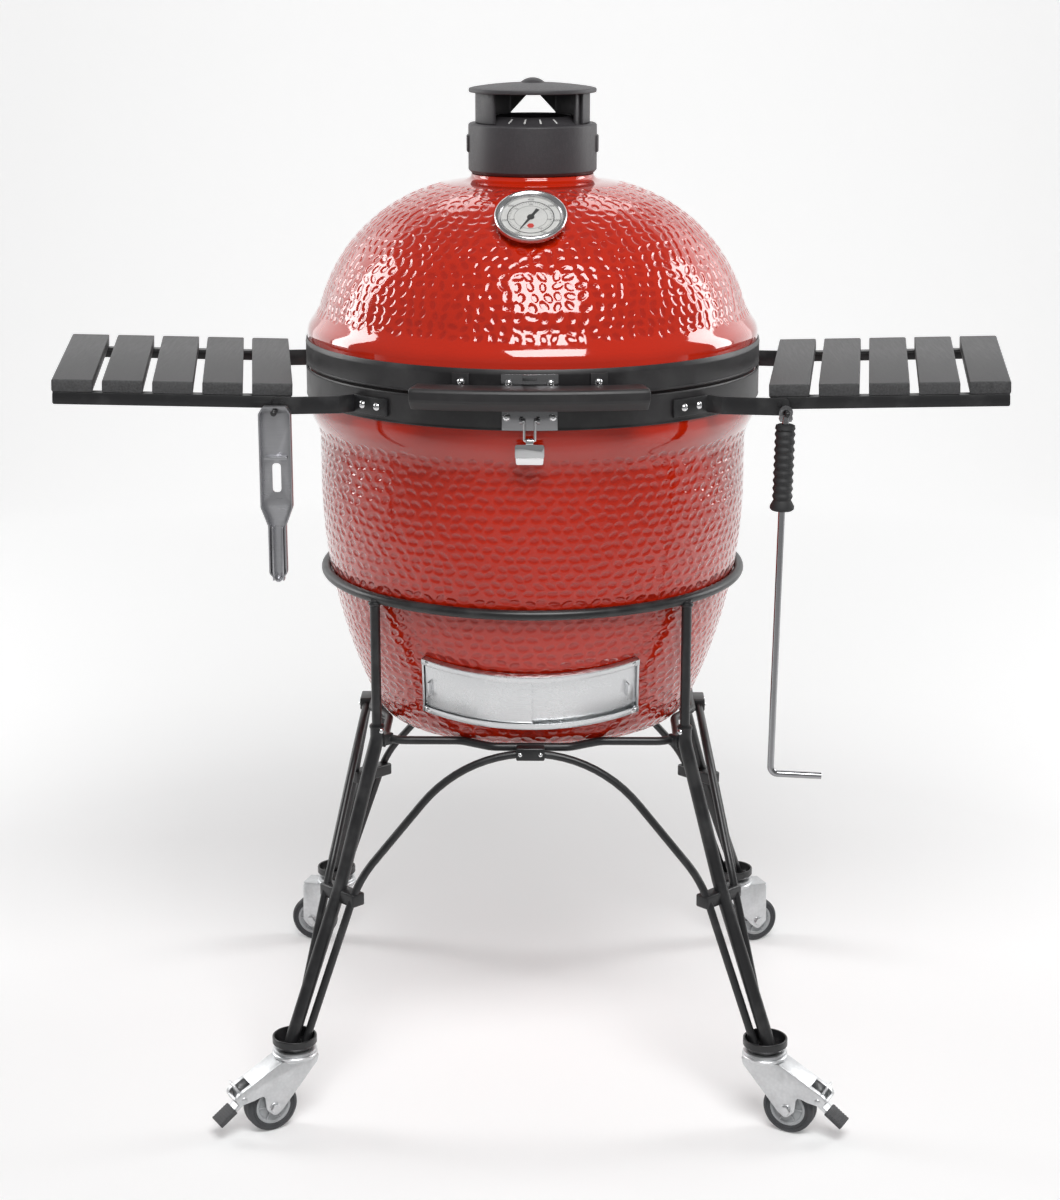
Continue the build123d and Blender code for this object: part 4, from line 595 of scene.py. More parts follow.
def between(side: int, a: float, b: float) -> Point2:
    """Low and high value of two distances to one side of the middle."""
    return tuple(sorted((side * a, side * b)))


def frame_at(
    origin: Sequence[float], up: Sequence[float], along: Sequence[float] = (1.0, 0.0, 0.0)
) -> Matrix:
    """Place whose +Z points along up.

    Args:
        origin: Its origin.
        up: Direction of its +Z.
        along: Rough direction of its +X.

    Returns:
        The place.
    """
    z = Vector(up).normalized()
    x = Vector(along) - z * z.dot(Vector(along))
    if x.length < 1e-3:
        x = Vector((0.0, 1.0, 0.0)) - z * z.y
    x.normalize()
    y = z.cross(x)
    turned = Matrix((x, y, z)).transposed().to_4x4()
    return Matrix.Translation(Vector(origin)) @ turned


def crosswise(x: float, y: float, z: float) -> Matrix:
    """Place whose +Z runs along the model's +X and whose +X runs to the rear."""
    return frame_at((x, y, z), (1, 0, 0), (0, 1, 0))


def on_wall(radius: float, heading: float, z: float) -> Matrix:
    """Place on an upright cylinder, facing outward at a heading from +X."""
    a = radians(heading)
    out = (cos(a), sin(a), 0.0)
    return frame_at((radius * out[0], radius * out[1], z), out, (-out[1], out[0], 0.0))


def shifted(x: float = 0.0, y: float = 0.0, z: float = 0.0, turn: float = 0.0) -> Matrix:
    """Place moved by x, y, z and turned about its +Z, in degrees."""
    return Matrix.Translation((x, y, z)) @ Matrix.Rotation(radians(turn), 4, "Z")


def half_angle(half_width: float, radius: float) -> float:
    """Degrees that a half width covers on a circle."""
    return degrees(asin(half_width / radius))


# ---------------------------------------------------------------- mesh making
class Form:
    """Closed shapes gathered into one mesh."""

    def __init__(self) -> None:
        """Starts empty."""
        self.mesh = bmesh.new()

    def add(
        self, verts: Sequence[Point3], faces: Sequence[Sequence[int]], place: Optional[Matrix] = None,
        bevel: float = 0.0, steps: int = 2
    ) -> "Form":
        """Adds a closed shape.

        Args:
            verts: Its points.
            faces: Its faces.
            place: Where it goes.
            bevel: Width of the bevel on its sharp edges.
            steps: Steps in the bevel.

        Returns:
            This form.
        """
        part = bmesh.new()
        made = [part.verts.new(v) for v in verts]
        for corners in faces:
            part.faces.new([made[i] for i in corners])
        bmesh.ops.recalc_face_normals(part, faces=part.faces)
        if bevel > 0.0:
            sharp = [e for e in part.edges if len(e.link_faces) == 2 and e.calc_face_angle(0.0) > BEVELLED]
            bmesh.ops.bevel(
                part, geom=sharp, offset=bevel, segments=steps, profile=0.5, affect="EDGES",
                clamp_overlap=True
            )
        part.transform(place or Matrix())
        passed = bpy.data.meshes.new("part")
        part.to_mesh(passed)
        part.free()
        self.mesh.from_mesh(passed)
        bpy.data.meshes.remove(passed)
        return self

    def lathe(
        self, profile: Sequence[Point2], steps: int = 64, place: Optional[Matrix] = None, start: float = 0.0,
        span: float = 360.0, bevel: float = 0.0
    ) -> "Form":
        """Turns a closed profile of (radius, height) about +Z.

        Args:
            profile: The closed profile.
            steps: Steps round the span.
            place: Where it goes.
            start: First angle in degrees.
            span: Degrees turned through.
            bevel: Width of the bevel on its sharp edges.

        Returns:
            This form.
        """
        whole = span >= 360.0
        columns = steps if whole else steps + 1
        verts: List[Point3] = []
        rows: List[List[int]] = []
        for radius, z in profile:
            if radius < TINY:
                verts.append((0.0, 0.0, z))
                rows.append([len(verts) - 1] * columns)
                continue
            first = len(verts)
            for k in range(columns):
                a = radians(start + span * k / steps)
                verts.append((radius * cos(a), radius * sin(a), z))
            rows.append(list(range(first, first + columns)))
        faces = []
        for i, low in enumerate(rows):
            high = rows[(i + 1) % len(rows)]
            for k in range(steps):
                n = (k + 1) % columns
                corners = list(dict.fromkeys((low[k], low[n], high[n], high[k])))
                if len(corners) > 2:
                    faces.append(corners)
        if not whole:
            faces.append([row[0] for row in rows])
            faces.append([row[-1] for row in rows][::-1])
        return self.add(verts, faces, place, bevel)

    def plate(
        self, outline: Sequence[Point2], low: float, high: float, place: Optional[Matrix] = None,
        bevel: float = 0.0, holes: Sequence[Sequence[Point2]] = (), steps: int = 2
    ) -> "Form":
        """Flat plate cut to an outline, with its thickness along +Z.

        Args:
            outline: Its closed outline.
            low: Lower face.
            high: Upper face.
            place: Where it goes.
            bevel: Width of the bevel on its sharp edges.
            holes: Outlines cut out of it.
            steps: Steps in the bevel.

        Returns:
            This form.
        """
        loops = [list(outline)] + [list(hole) for hole in holes]
        flat = [p for loop in loops for p in loop]
        count = len(flat)
        verts = [(x, y, low) for x, y in flat] + [(x, y, high) for x, y in flat]
        faces: List[Sequence[int]] = []
        if holes:
            caps = tessellate_polygon([[(x, y, 0.0) for x, y in loop] for loop in loops])
        else:
            caps = [tuple(range(count))]
        for cap in caps:
            faces.append(tuple(cap))
            faces.append(tuple(i + count for i in reversed(cap)))
        first = 0
        for loop in loops:
            for i in range(len(loop)):
                a, b = first + i, first + (i + 1) % len(loop)
                faces.append((a, b, b + count, a + count))
            first += len(loop)
        return self.add(verts, faces, place, bevel, steps)

    def block(
        self, x: Point2, y: Point2, z: Point2, place: Optional[Matrix] = None, bevel: float = 0.6,
        steps: int = 2
    ) -> "Form":
        """Box between low and high values, with bevelled edges."""
        return self.plate(oblong(x, y), z[0], z[1], place, bevel, (), steps)

    def strip(
        self, radii: Point2, z: Point2, steps: int, start: float, span: float, bevel: float = 0.0,
        place: Optional[Matrix] = None
    ) -> "Form":
        """Curved strip between two radii and two heights, from a first angle through a span in degrees."""
        return self.lathe(oblong(radii, z), steps, place, start, span, bevel)

    def rod(
        self, start: Sequence[float], end: Sequence[float], radius: float, sides: int = 24, edge: float = 0.5,
        place: Optional[Matrix] = None
    ) -> "Form":
        """Round bar between two points, with eased ends."""
        axis = Vector(end) - Vector(start)
        edge = min(edge, 0.4 * radius)
        end_z = axis.length
        profile = [(0.0, 0.0), (radius - edge, 0.0), (radius, edge)]
        profile += [(radius, end_z - edge), (radius - edge, end_z), (0.0, end_z)]
        where = frame_at(start, axis)
        return self.lathe(profile, sides, where if place is None else place @ where)

    def tube(
        self, place: Matrix, inner: float, outer: float, low: float, high: float, sides: int = 32,
        edge: float = 0.4
    ) -> "Form":
        """Bored cylinder with eased edges."""
        return self.lathe(soften(oblong((inner, outer), (low, high)), edge, 2), sides, place)

    def ball(self, centre: Sequence[float], radius: float, sides: int = 20) -> "Form":
        """Small round knob."""
        outline = [(0.0, -radius)] + arc((0.0, 0.0), radius, -75, 75, 8) + [(0.0, radius)]
        return self.lathe(outline, sides, Matrix.Translation(Vector(centre)))

    def dome_head(
        self, place: Matrix, radius: float, height: float, sides: int = 24, socket: bool = False
    ) -> "Form":
        """Domed screw head standing on a face, with a driving recess if asked."""
        round_r = (radius ** 2 + height ** 2) / (2 * height)
        low = degrees(asin((round_r - height) / round_r)) if height < round_r else 0.0
        outline = [(0.0, 0.0)] + arc((0.0, height - round_r), round_r, low, 78 if socket else 84, 7)
        if socket:
            recess = outline[-1][0]
            outline += [(recess * 0.9, height - 1.1), (0.0, height - 1.3)]
        else:
            outline.append((0.0, height))
        return self.lathe(outline, sides, place)

    def done(self, name: str, sharp: float = 38.0) -> Mesh:
        """Turns the form into a mesh in metres.

        Args:
            name: The mesh's name.
            sharp: Angle in degrees above which an edge stays sharp.

        Returns:
            The mesh.
        """
        made = bpy.data.meshes.new(name)
        self.mesh.to_mesh(made)
        self.mesh.free()
        made.transform(Matrix.Scale(MM, 4))
        return smoothed(made, sharp)


def smoothed(mesh: Mesh, sharp: float = 38.0) -> Mesh:
    """Smooth shading with sharp edges above an angle in degrees."""
    mesh.shade_smooth()
    mesh.set_sharp_from_angle(angle=radians(sharp))
    return mesh


def linked(name: str, data: bpy.types.ID) -> bpy.types.Object:
    """New object in the scene."""
    made = bpy.data.objects.new(name, data)
    bpy.context.scene.collection.objects.link(made)
    return made


def joined(name: str, meshes: Sequence[Mesh]) -> Mesh:
    """Joins meshes into one.

    Args:
        name: Name of the new mesh.
        meshes: The meshes, which are used up.

    Returns:
        The joined mesh.
    """
    work = bmesh.new()
    for mesh in meshes:
        work.from_mesh(mesh)
        bpy.data.meshes.remove(mesh)
    made = bpy.data.meshes.new(name)
    work.to_mesh(made)
    work.free()
    return made


def piece(
    name: str, shape: Union[Form, Mesh, List[Mesh]], finish: Optional[Finish], body: str, node: str,
    sharp: float = 38.0
) -> None:
    """Adds a finished piece to the model.

    Args:
        name: The piece's name.
        shape: Its form, its mesh in metres and in place, or several meshes to join.
        finish: Its finish, or None where the mesh has its materials.
        body: The body that it rides on.
        node: The solid that it stands for.
        sharp: Angle in degrees above which a form's edge stays sharp.
    """
    mesh = shape
    if isinstance(shape, Form):
        mesh = shape.done(name, sharp)
    elif isinstance(shape, list):
        mesh = joined(name, shape)
    if finish is not None:
        mesh.materials.clear()
        mesh.materials.append(finish.material())
    mesh.name = name
    made = linked(name, mesh)
    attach(made, body)
    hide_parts(node)
    LOG.info("%s: %d faces on %s", name, len(mesh.polygons), body)


# ---------------------------------------------------------------- geometry nodes
class Layout:
    """A Geometry Nodes tree with named inputs, run on a mesh and turned into a plain one."""

    title = "layout"
    sizes: Dict[str, str] = {}

    def tree(self) -> Tree:
        """The tree, built once.

        Returns:
            The node tree.
        """
        known = bpy.data.node_groups.get(self.title)
        if known is not None:
            return known
        made = bpy.data.node_groups.new(self.title, "GeometryNodeTree")
        graph = Graph(made)
        made.interface.new_socket("Points", in_out="INPUT", socket_type="NodeSocketGeometry")
        for name, kind in self.sizes.items():
            made.interface.new_socket(name, in_out="INPUT", socket_type=kind)
        made.interface.new_socket("Finish", in_out="INPUT", socket_type="NodeSocketMaterial")
        made.interface.new_socket("Mesh", in_out="OUTPUT", socket_type="NodeSocketGeometry")
        given = graph.node("NodeGroupInput").outputs
        shape = self.lay(graph, given)
        real = graph.node("GeometryNodeRealizeInstances", None, {"Geometry": shape}).outputs["Geometry"]
        dressed = graph.node("GeometryNodeSetMaterial", None, {"Geometry": real, "Material": given["Finish"]})
        graph.node("NodeGroupOutput", None, {"Mesh": dressed.outputs["Geometry"]})
        return made

    def lay(self, graph: Graph, given: Sockets) -> Socket:
        """Adds the layout's own nodes; each layout fills this in."""
        raise NotImplementedError

    def run(self, name: str, source: Mesh, finish: Finish, **sizes: object) -> Mesh:
        """Runs the layout.

        Args:
            name: Name of the new mesh.
            source: Mesh whose points it starts from.
            finish: Material of the result.
            sizes: The tree's inputs by name, with _ for a space.

        Returns:
            A plain mesh.
        """
        holder = linked(name + "_layout", source)
        modifier = holder.modifiers.new("layout", "NODES")
        modifier.node_group = self.tree()
        values = {key.replace("_", " "): value for key, value in sizes.items()}
        values["Finish"] = finish.material()
        for item in modifier.node_group.interface.items_tree:
            if item.item_type == "SOCKET" and item.in_out == "INPUT" and item.name in values:
                modifier[item.identifier] = values[item.name]
        holder.update_tag()
        graph = bpy.context.evaluated_depsgraph_get()
        made = bpy.data.meshes.new_from_object(holder.evaluated_get(graph))
        holder.modifiers.clear()
        bpy.data.objects.remove(holder)
        bpy.data.meshes.remove(source)
        made.name = name
        return made


class SetAtPoints(Layout):
    """Sets one shape at each point, turned by the point's own turn, and tells the copies apart."""

    title = "set at points"
    sizes = {"Shape": "NodeSocketObject", "Seed": "NodeSocketInt"}

    def lay(self, graph: Graph, given: Sockets) -> Socket:
        """Places the copies and stores a number for each."""
        turn = graph.node("GeometryNodeInputNamedAttribute", {"data_type": "FLOAT_VECTOR"}, {"Name": "turn"})
        angles = graph.node("FunctionNodeEulerToRotation", None, {"Euler": turn.outputs["Attribute"]})
        shape = graph.node("GeometryNodeObjectInfo", None, {"Object": given["Shape"]}).outputs["Geometry"]
        inputs = {"Points": given["Points"], "Instance": shape, "Rotation": angles.outputs["Rotation"]}
        copies = graph.node("GeometryNodeInstanceOnPoints", None, inputs).outputs["Instances"]
        chance = graph.node(
            "FunctionNodeRandomValue", {"data_type": "FLOAT"}, {"Seed": given["Seed"]}
        ).outputs[1]
        settings = {"data_type": "FLOAT", "domain": "INSTANCE"}
        inputs = {"Geometry": copies, "Name": "board", "Value": chance}
        return graph.node("GeometryNodeStoreNamedAttribute", settings, inputs).outputs["Geometry"]

    def at(self, name: str, shape: Mesh, places: Sequence[Matrix], finish: Finish, seed: int = 3) -> Mesh:
        """Copies a shape to many places.

        Args:
            name: Name of the new mesh.
            shape: The shape, in metres.
            places: Places in millimetres.
            finish: Material of the copies.
            seed: Seed of the copies' own numbers.

        Returns:
            A plain mesh.
        """
        dots = bpy.data.meshes.new(name + "_points")
        dots.from_pydata([tuple(place.translation * MM) for place in places], [], [])
        turns = dots.attributes.new("turn", "FLOAT_VECTOR", "POINT")
        for item, place in zip(turns.data, places):
            item.vector = place.to_euler("XYZ")
        model = linked(name + "_shape", shape)
        made = self.run(name, dots, finish, Shape=model, Seed=seed)
        bpy.data.objects.remove(model)
        return made


class BarOnPath(Layout):
    """Round bar that follows a line of points, with a bend at each."""

    title = "bar on path"
    sizes = {"Radius": "NodeSocketFloat", "Sides": "NodeSocketInt", "Bend steps": "NodeSocketInt"}

    def lay(self, graph: Graph, given: Sockets) -> Socket:
        """Rounds the line's corners and sweeps a circle along it."""
        line = graph.node("GeometryNodeMeshToCurve", None, {"Mesh": given["Points"]}).outputs["Curve"]
        bend = graph.node("GeometryNodeInputNamedAttribute", {"data_type": "FLOAT"}, {"Name": "bend"})
        inputs = {"Curve": line, "Radius": bend.outputs["Attribute"], "Count": given["Bend steps"]}
        bent = graph.node("GeometryNodeFilletCurve", {"mode": "POLY"}, inputs).outputs["Curve"]
        inputs = {"Resolution": given["Sides"], "Radius": given["Radius"]}
        circle = graph.node("GeometryNodeCurvePrimitiveCircle", {"mode": "RADIUS"}, inputs).outputs["Curve"]
        inputs = {"Curve": bent, "Profile Curve": circle, "Fill Caps": True}
        return graph.node("GeometryNodeCurveToMesh", None, inputs).outputs["Mesh"]

    def along(
        self, name: str, points: Sequence[Sequence[float]], radius: float, finish: Finish,
        bends: Union[float, Sequence[float]] = 0.0, closed: bool = False, sides: int = 20, steps: int = 12
    ) -> Mesh:
        """Bends a bar along points.

        Args:
            name: Name of the new mesh.
            points: Corners of its centre line, in millimetres.
            radius: Radius of the bar.
            finish: Its material.
            bends: Bend radius at the corners, one for all or one for each inner corner.
            closed: True for a closed loop.
            sides: Sides of the bar.
            steps: Steps in each bend.

        Returns:
            A plain mesh.
        """
        count = len(points)
        if isinstance(bends, (int, float)):
            radii = [float(bends)] * count
        else:
            radii = [0.0] + [float(b) for b in bends] + [0.0]
        line = bpy.data.meshes.new(name + "_line")
        edges = [(i, i + 1) for i in range(count - 1)] + ([(count - 1, 0)] if closed else [])
        line.from_pydata([tuple(Vector(p) * MM) for p in points], edges, [])
        bend = line.attributes.new("bend", "FLOAT", "POINT")
        for item, value in zip(bend.data, radii):
            item.value = value * MM
        made = self.run(name, line, finish, Radius=radius * MM, Sides=sides, Bend_steps=steps)
        return smoothed(outward(made), 45.0)


class Coil(Layout):
    """Close-wound coil about the X axis, at one point."""

    title = "coil spring"
    sizes = {
        "Turns": "NodeSocketFloat", "Coil radius": "NodeSocketFloat", "Length": "NodeSocketFloat",
        "Wire radius": "NodeSocketFloat"
    }

    def lay(self, graph: Graph, given: Sockets) -> Socket:
        """Winds the coil and sets it at the point."""
        inputs = {
            "Resolution": 22, "Rotations": given["Turns"], "Start Radius": given["Coil radius"],
            "End Radius": given["Coil radius"], "Height": given["Length"]
        }
        wound = graph.node("GeometryNodeCurveSpiral", None, inputs).outputs["Curve"]
        circle = graph.node(
            "GeometryNodeCurvePrimitiveCircle", {"mode": "RADIUS"},
            {"Resolution": 10, "Radius": given["Wire radius"]}
        )
        inputs = {"Curve": wound, "Profile Curve": circle.outputs["Curve"], "Fill Caps": True}
        wire = graph.node("GeometryNodeCurveToMesh", None, inputs).outputs["Mesh"]
        laid = graph.node("FunctionNodeEulerToRotation", None, {"Euler": (0.0, pi / 2, 0.0)})
        inputs = {"Points": given["Points"], "Instance": wire, "Rotation": laid.outputs["Rotation"]}
        return graph.node("GeometryNodeInstanceOnPoints", None, inputs).outputs["Instances"]


def outward(mesh: Mesh) -> Mesh:
    """Merges doubled points and points the faces outward.

    Args:
        mesh: A closed mesh.

    Returns:
        The same mesh.
    """
    work = bmesh.new()
    work.from_mesh(mesh)
    bmesh.ops.remove_doubles(work, verts=work.verts, dist=TINY)
    bmesh.ops.recalc_face_normals(work, faces=work.faces)
    work.to_mesh(mesh)
    work.free()
    return mesh


SETTER = SetAtPoints()
BARS = BarOnPath()


def screw_head(radius: float, height: float, sides: int) -> Mesh:
    """Domed head with a driving recess, standing on the origin."""
    return Form().dome_head(Matrix(), radius, height, sides, True).done("head", 30)


def copies(
    name: str, shape: Mesh, places: Sequence[Matrix], finish: Finish, body: str, node: str, slot: str,
    seed: int = 3
) -> None:
    """Adds a piece that is one shape at many places.

    Args:
        name: The piece's name.
        shape: The shape, in metres.
        places: Places in millimetres.
        finish: Its finish.
        body: The body that it rides on.
        node: The solid that it stands for.
        slot: Not used.
        seed: Seed of the copies' own numbers.
    """
    piece(name, SETTER.at(name, shape, places, finish, seed), finish, body, node)


# ---------------------------------------------------------------- ceramic
class Grain(Enum):
    """How the dents in the glaze lie."""

    LEVEL = 32.0
    SCATTERED = 90.0


@dataclass(frozen=True)
class Dent:
    """One pressed dent: where it lies, its turn and its size."""

    heading: float
    s: float
    radius: float
    tilt: float
    long_half: float
    wide_half: float
    deep: float


@dataclass(frozen=True)
class Dimples:
    """Pressed dents in a glazed face, laid in wandering rows."""

    low: float
    high: float
    grain: Grain
    seed: int
    pitch: float = 15.2
    row: float = 11.2
    half_length: float = 7.6
    half_width: float = 4.3
    depth: float = 0.85
    uneven: float = 0.17
    sway: float = 1.3
    drift: float = 1.9
    slope: float = 0.4
    lengths: Point2 = (0.82, 1.1)
    widths: Point2 = (0.85, 1.1)
    depths: Point2 = (0.75, 1.0)

    def pressed(self, angles: np.ndarray, reach: np.ndarray, radii: np.ndarray) -> np.ndarray:
        """Depth of the dents over a grid.

        Args:
            angles: Heading of each column, in radians.
            reach: Distance of each row along the face.
            radii: Radius of each row.

        Returns:
            Depth at every row and column, zero to one.
        """
        chance = np.random.default_rng(self.seed)
        field = np.zeros((len(reach), len(angles)))
        s = self.low + self.half_width
        odd = 0
        while s < self.high - self.half_width * 0.6:
            radius = float(np.interp(s, reach, radii))
            count = max(8, int(round(2 * pi * radius / self.pitch)))
            uneven = chance.uniform(-self.uneven, self.uneven, count)
            starts = (np.arange(count) + 0.5 * odd + uneven) * 2 * pi / count
            drifts = chance.uniform(-self.drift, self.drift, count)
            drifts = self.sway * np.sin(3 * starts + s * 0.05) + drifts
            for heading, drift in zip(starts, drifts):
                tilt = radians(chance.uniform(-self.grain.value, self.grain.value))
                long_half = self.half_length * chance.uniform(*self.lengths)
                wide_half = self.half_width * chance.uniform(*self.widths)
                deep = chance.uniform(*self.depths)
                dent = Dent(heading, s + drift, radius, tilt, long_half, wide_half, deep)
                self._press(field, angles, reach, dent)
            s += self.row
            odd = 1 - odd
        return field

    def _press(self, field: np.ndarray, angles: np.ndarray, reach: np.ndarray, dent: Dent) -> None:
        """Presses one dent into the field.

        Args:
            field: Grid of depths, changed in place.
            angles: Heading of each column.
            reach: Distance of each row.
            dent: The dent.
        """
        first = int(np.searchsorted(reach, dent.s - dent.long_half))
        last = int(np.searchsorted(reach, dent.s + dent.long_half))
        if last <= first:
            return
        step = 2 * pi / len(angles)
        middle = (dent.heading - angles[0]) / step
        spread = int(ceil(dent.long_half / dent.radius / step)) + 1
        columns = np.arange(int(middle) - spread, int(middle) + spread + 1)
        across = (columns - middle) * step * dent.radius
        up = reach[first:last, None] - dent.s
        along = across[None, :] * cos(dent.tilt) + up * sin(dent.tilt)
        side = up * cos(dent.tilt) - across[None, :] * sin(dent.tilt)
        away = np.sqrt((along / dent.long_half) ** 2 + (side / dent.wide_half) ** 2)
        rim = np.clip((1.0 - away) / self.slope, 0.0, 1.0)
        sunk = dent.deep * rim * rim * (3 - 2 * rim)
        wrapped = columns % len(angles)
        field[first:last, wrapped] = np.maximum(field[first:last][:, wrapped], sunk)


@dataclass
class GlazedShell:
    """Turned ceramic wall with a dented glazed face, made in sectors."""

    outer: List[Point2]
    inner: List[Point2]
    dimples: Dimples
    columns: int
    sectors: int
    fine: float = 1.5
    hole: Optional[Tuple[float, float, float]] = None

    def rows(self) -> Tuple[np.ndarray, np.ndarray, np.ndarray]:
        """Splits the outer outline into rows, close together under the dents.

        Returns:
            Distance along the outline, radius and height of each row.
        """
        line = np.array(self.outer)
        lengths = np.concatenate(([0.0], np.cumsum(np.linalg.norm(np.diff(line, axis=0), axis=1))))
        fine = np.arange(self.dimples.low, self.dimples.high, self.fine)
        before = [s for s in lengths if s < self.dimples.low - 0.4]
        after = [s for s in lengths if s > self.dimples.high + 0.4]
        reach = np.concatenate((before, fine, after))
        return reach, np.interp(reach, lengths, line[:, 0]), np.interp(reach, lengths, line[:, 1])

    def grid(self) -> Tuple[np.ndarray, np.ndarray, int, np.ndarray]:
        """Positions of every point of the closed wall.

        Returns:
            Points by row and column, dents by row and column, number of outer rows, and row heights.
        """
        reach, radii, heights = self.rows()
        turn = 2 * pi / self.columns
        angles = -pi / 2 - pi / self.sectors + turn * np.arange(self.columns)
        dent = self.dimples.pressed(angles, reach, radii)
        dr = np.gradient(radii, reach)
        dz = np.gradient(heights, reach)
        size = np.hypot(dr, dz)
        out_r, out_z = dz / size, -dr / size
        sink = dent * self.dimples.depth
        r = radii[:, None] - sink * out_r[:, None]
        z = heights[:, None] - sink * out_z[:, None]
        inside = np.array(self.inner)
        r = np.vstack((r, np.repeat(inside[:, :1], self.columns, axis=1)))
        z = np.vstack((z, np.repeat(inside[:, 1:], self.columns, axis=1)))
        points = np.stack((r * np.cos(angles), r * np.sin(angles), z), axis=-1)
        full = np.vstack((dent, np.zeros((len(inside), self.columns))))
        return points, full, len(reach), np.concatenate((heights, inside[:, 1]))

    def normals(self, points: np.ndarray) -> np.ndarray:
        """Smooth outward normals of the closed wall.

        Args:
            points: Points by row and column.

        Returns:
            Unit normals by row and column.
        """
        across = np.roll(points, -1, axis=1) - np.roll(points, 1, axis=1)
        up = np.roll(points, -1, axis=0) - np.roll(points, 1, axis=0)
        normal = np.cross(across, up)
        length = np.linalg.norm(normal, axis=-1, keepdims=True)
        normal = np.where(length > 1e-9, normal / np.maximum(length, 1e-9), [0.0, 0.0, 1.0])
        on_axis = np.hypot(points[..., 0], points[..., 1]) < 1e-3
        low = points[..., 2] < points[..., 2].min() + 1.0
        normal[on_axis & low] = (0.0, 0.0, -1.0)
        normal[on_axis & ~low] = (0.0, 0.0, 1.0)
        return normal

    def meshes(self, name: str) -> List[Mesh]:
        """Makes the wall.

        Args:
            name: Name to start each sector's name with.

        Returns:
            One closed mesh for each sector, with the glaze first and the bare clay second.
        """
        points, dent, glazed, heights = self.grid()
        normals = self.normals(points)
        count = len(points)
        share = self.columns // self.sectors
        made = []
        for sector in range(self.sectors):
            span = [(sector * share + k) % self.columns for k in range(share + 1)]
            verts = points[:, span].reshape(-1, 3)
            wide = len(span)
            gap = self.opening(points, heights, glazed, span) if self.hole and sector == 0 else None
            faces, finishes = self.faces(count, wide, glazed, gap, verts)
            mesh = bpy.data.meshes.new("%s_%d" % (name, sector + 1))
            mesh.from_pydata((verts * MM).tolist(), [], faces)
            mesh.polygons.foreach_set("material_index", finishes)
            depth = mesh.attributes.new("dent", "FLOAT", "POINT")
            depth.data.foreach_set("value", dent[:, span].reshape(-1).astype(np.float32))
            mesh.shade_smooth()
            mesh.normals_split_custom_set_from_vertices(normals[:, span].reshape(-1, 3).tolist())
            made.append(mesh)
        return made

    def opening(
        self, points: np.ndarray, heights: np.ndarray, glazed: int, span: List[int]
    ) -> Tuple[int, int, int, int, int, int]:
        """Columns and rows of the opening through the front.

        Args:
            points: Points by row and column.
            heights: Height of each row.
            glazed: Number of outer rows.
            span: Columns of the sector.

        Returns:
            First and last column, first and last outer row, first and last inner row.
        """
        half_width, middle, half_height = self.hole
        across = np.abs(points[glazed // 2, span, 0])
        wide = [k for k, x in enumerate(across) if x < half_width]
        outside = [i for i in range(glazed) if abs(heights[i] - middle) < half_height]
        inside = [i for i in range(glazed, len(heights)) if abs(heights[i] - middle) < half_height + 6.0]
        return wide[0], wide[-1], outside[0], outside[-1], inside[0], inside[-1]

    def faces(
        self, count: int, wide: int, glazed: int, gap: Optional[Tuple[int, ...]], verts: np.ndarray
    ) -> Tuple[List[Tuple[int, ...]], List[int]]:
        """Faces of one sector.

        Args:
            count: Number of rows.
            wide: Number of columns.
            glazed: Number of outer rows.
            gap: The opening's columns and rows, or None.
            verts: The sector's points, row by row.

        Returns:
            The faces and the finish of each.
        """
        faces: List[Tuple[int, ...]] = []
        finishes: List[int] = []
        on_axis = [bool(np.hypot(*verts[i * wide][:2]) < 1e-3) for i in range(count)]
        for i in range(count):
            j = (i + 1) % count
            if on_axis[i] and on_axis[j]:
                continue
            bare = 1 if glazed <= i < count - 1 and j != 0 else 0
            for k in range(wide - 1):
                if gap and gap[0] <= k < gap[1] and (gap[2] <= i < gap[3] or gap[4] <= i < gap[5]):
                    continue
                a, b, c, d = i * wide + k, i * wide + k + 1, j * wide + k + 1, j * wide + k
                if on_axis[i]:
                    faces.append((i * wide, c, d))
                elif on_axis[j]:
                    faces.append((a, b, j * wide))
                else:
                    faces.append((a, b, c, d))
                finishes.append(bare)
        rim = [i * wide for i in range(count)]
        faces.append(tuple(rim))
        faces.append(tuple(reversed([i + (wide - 1 if not on_axis[i // wide] else 0) for i in rim])))
        finishes += [1, 1]
        if gap:
            left, right, out_low, out_high, in_first, in_last = gap
            sill, head = out_low * wide, out_high * wide
            inner_sill, inner_head = in_last * wide, in_first * wide
            for k in range(left, right):
                faces.append((sill + k + 1, sill + k, inner_sill + k, inner_sill + k + 1))
                faces.append((head + k, head + k + 1, inner_head + k + 1, inner_head + k))
            for k, way in ((left, 1), (right, -1)):
                wall = [i * wide + k for i in range(out_low, out_high + 1)]
                wall += [i * wide + k for i in range(in_first, in_last + 1)]
                faces.append(tuple(wall[::way]))
            finishes += [1] * (2 * (right - left) + 2)
        return faces, finishes


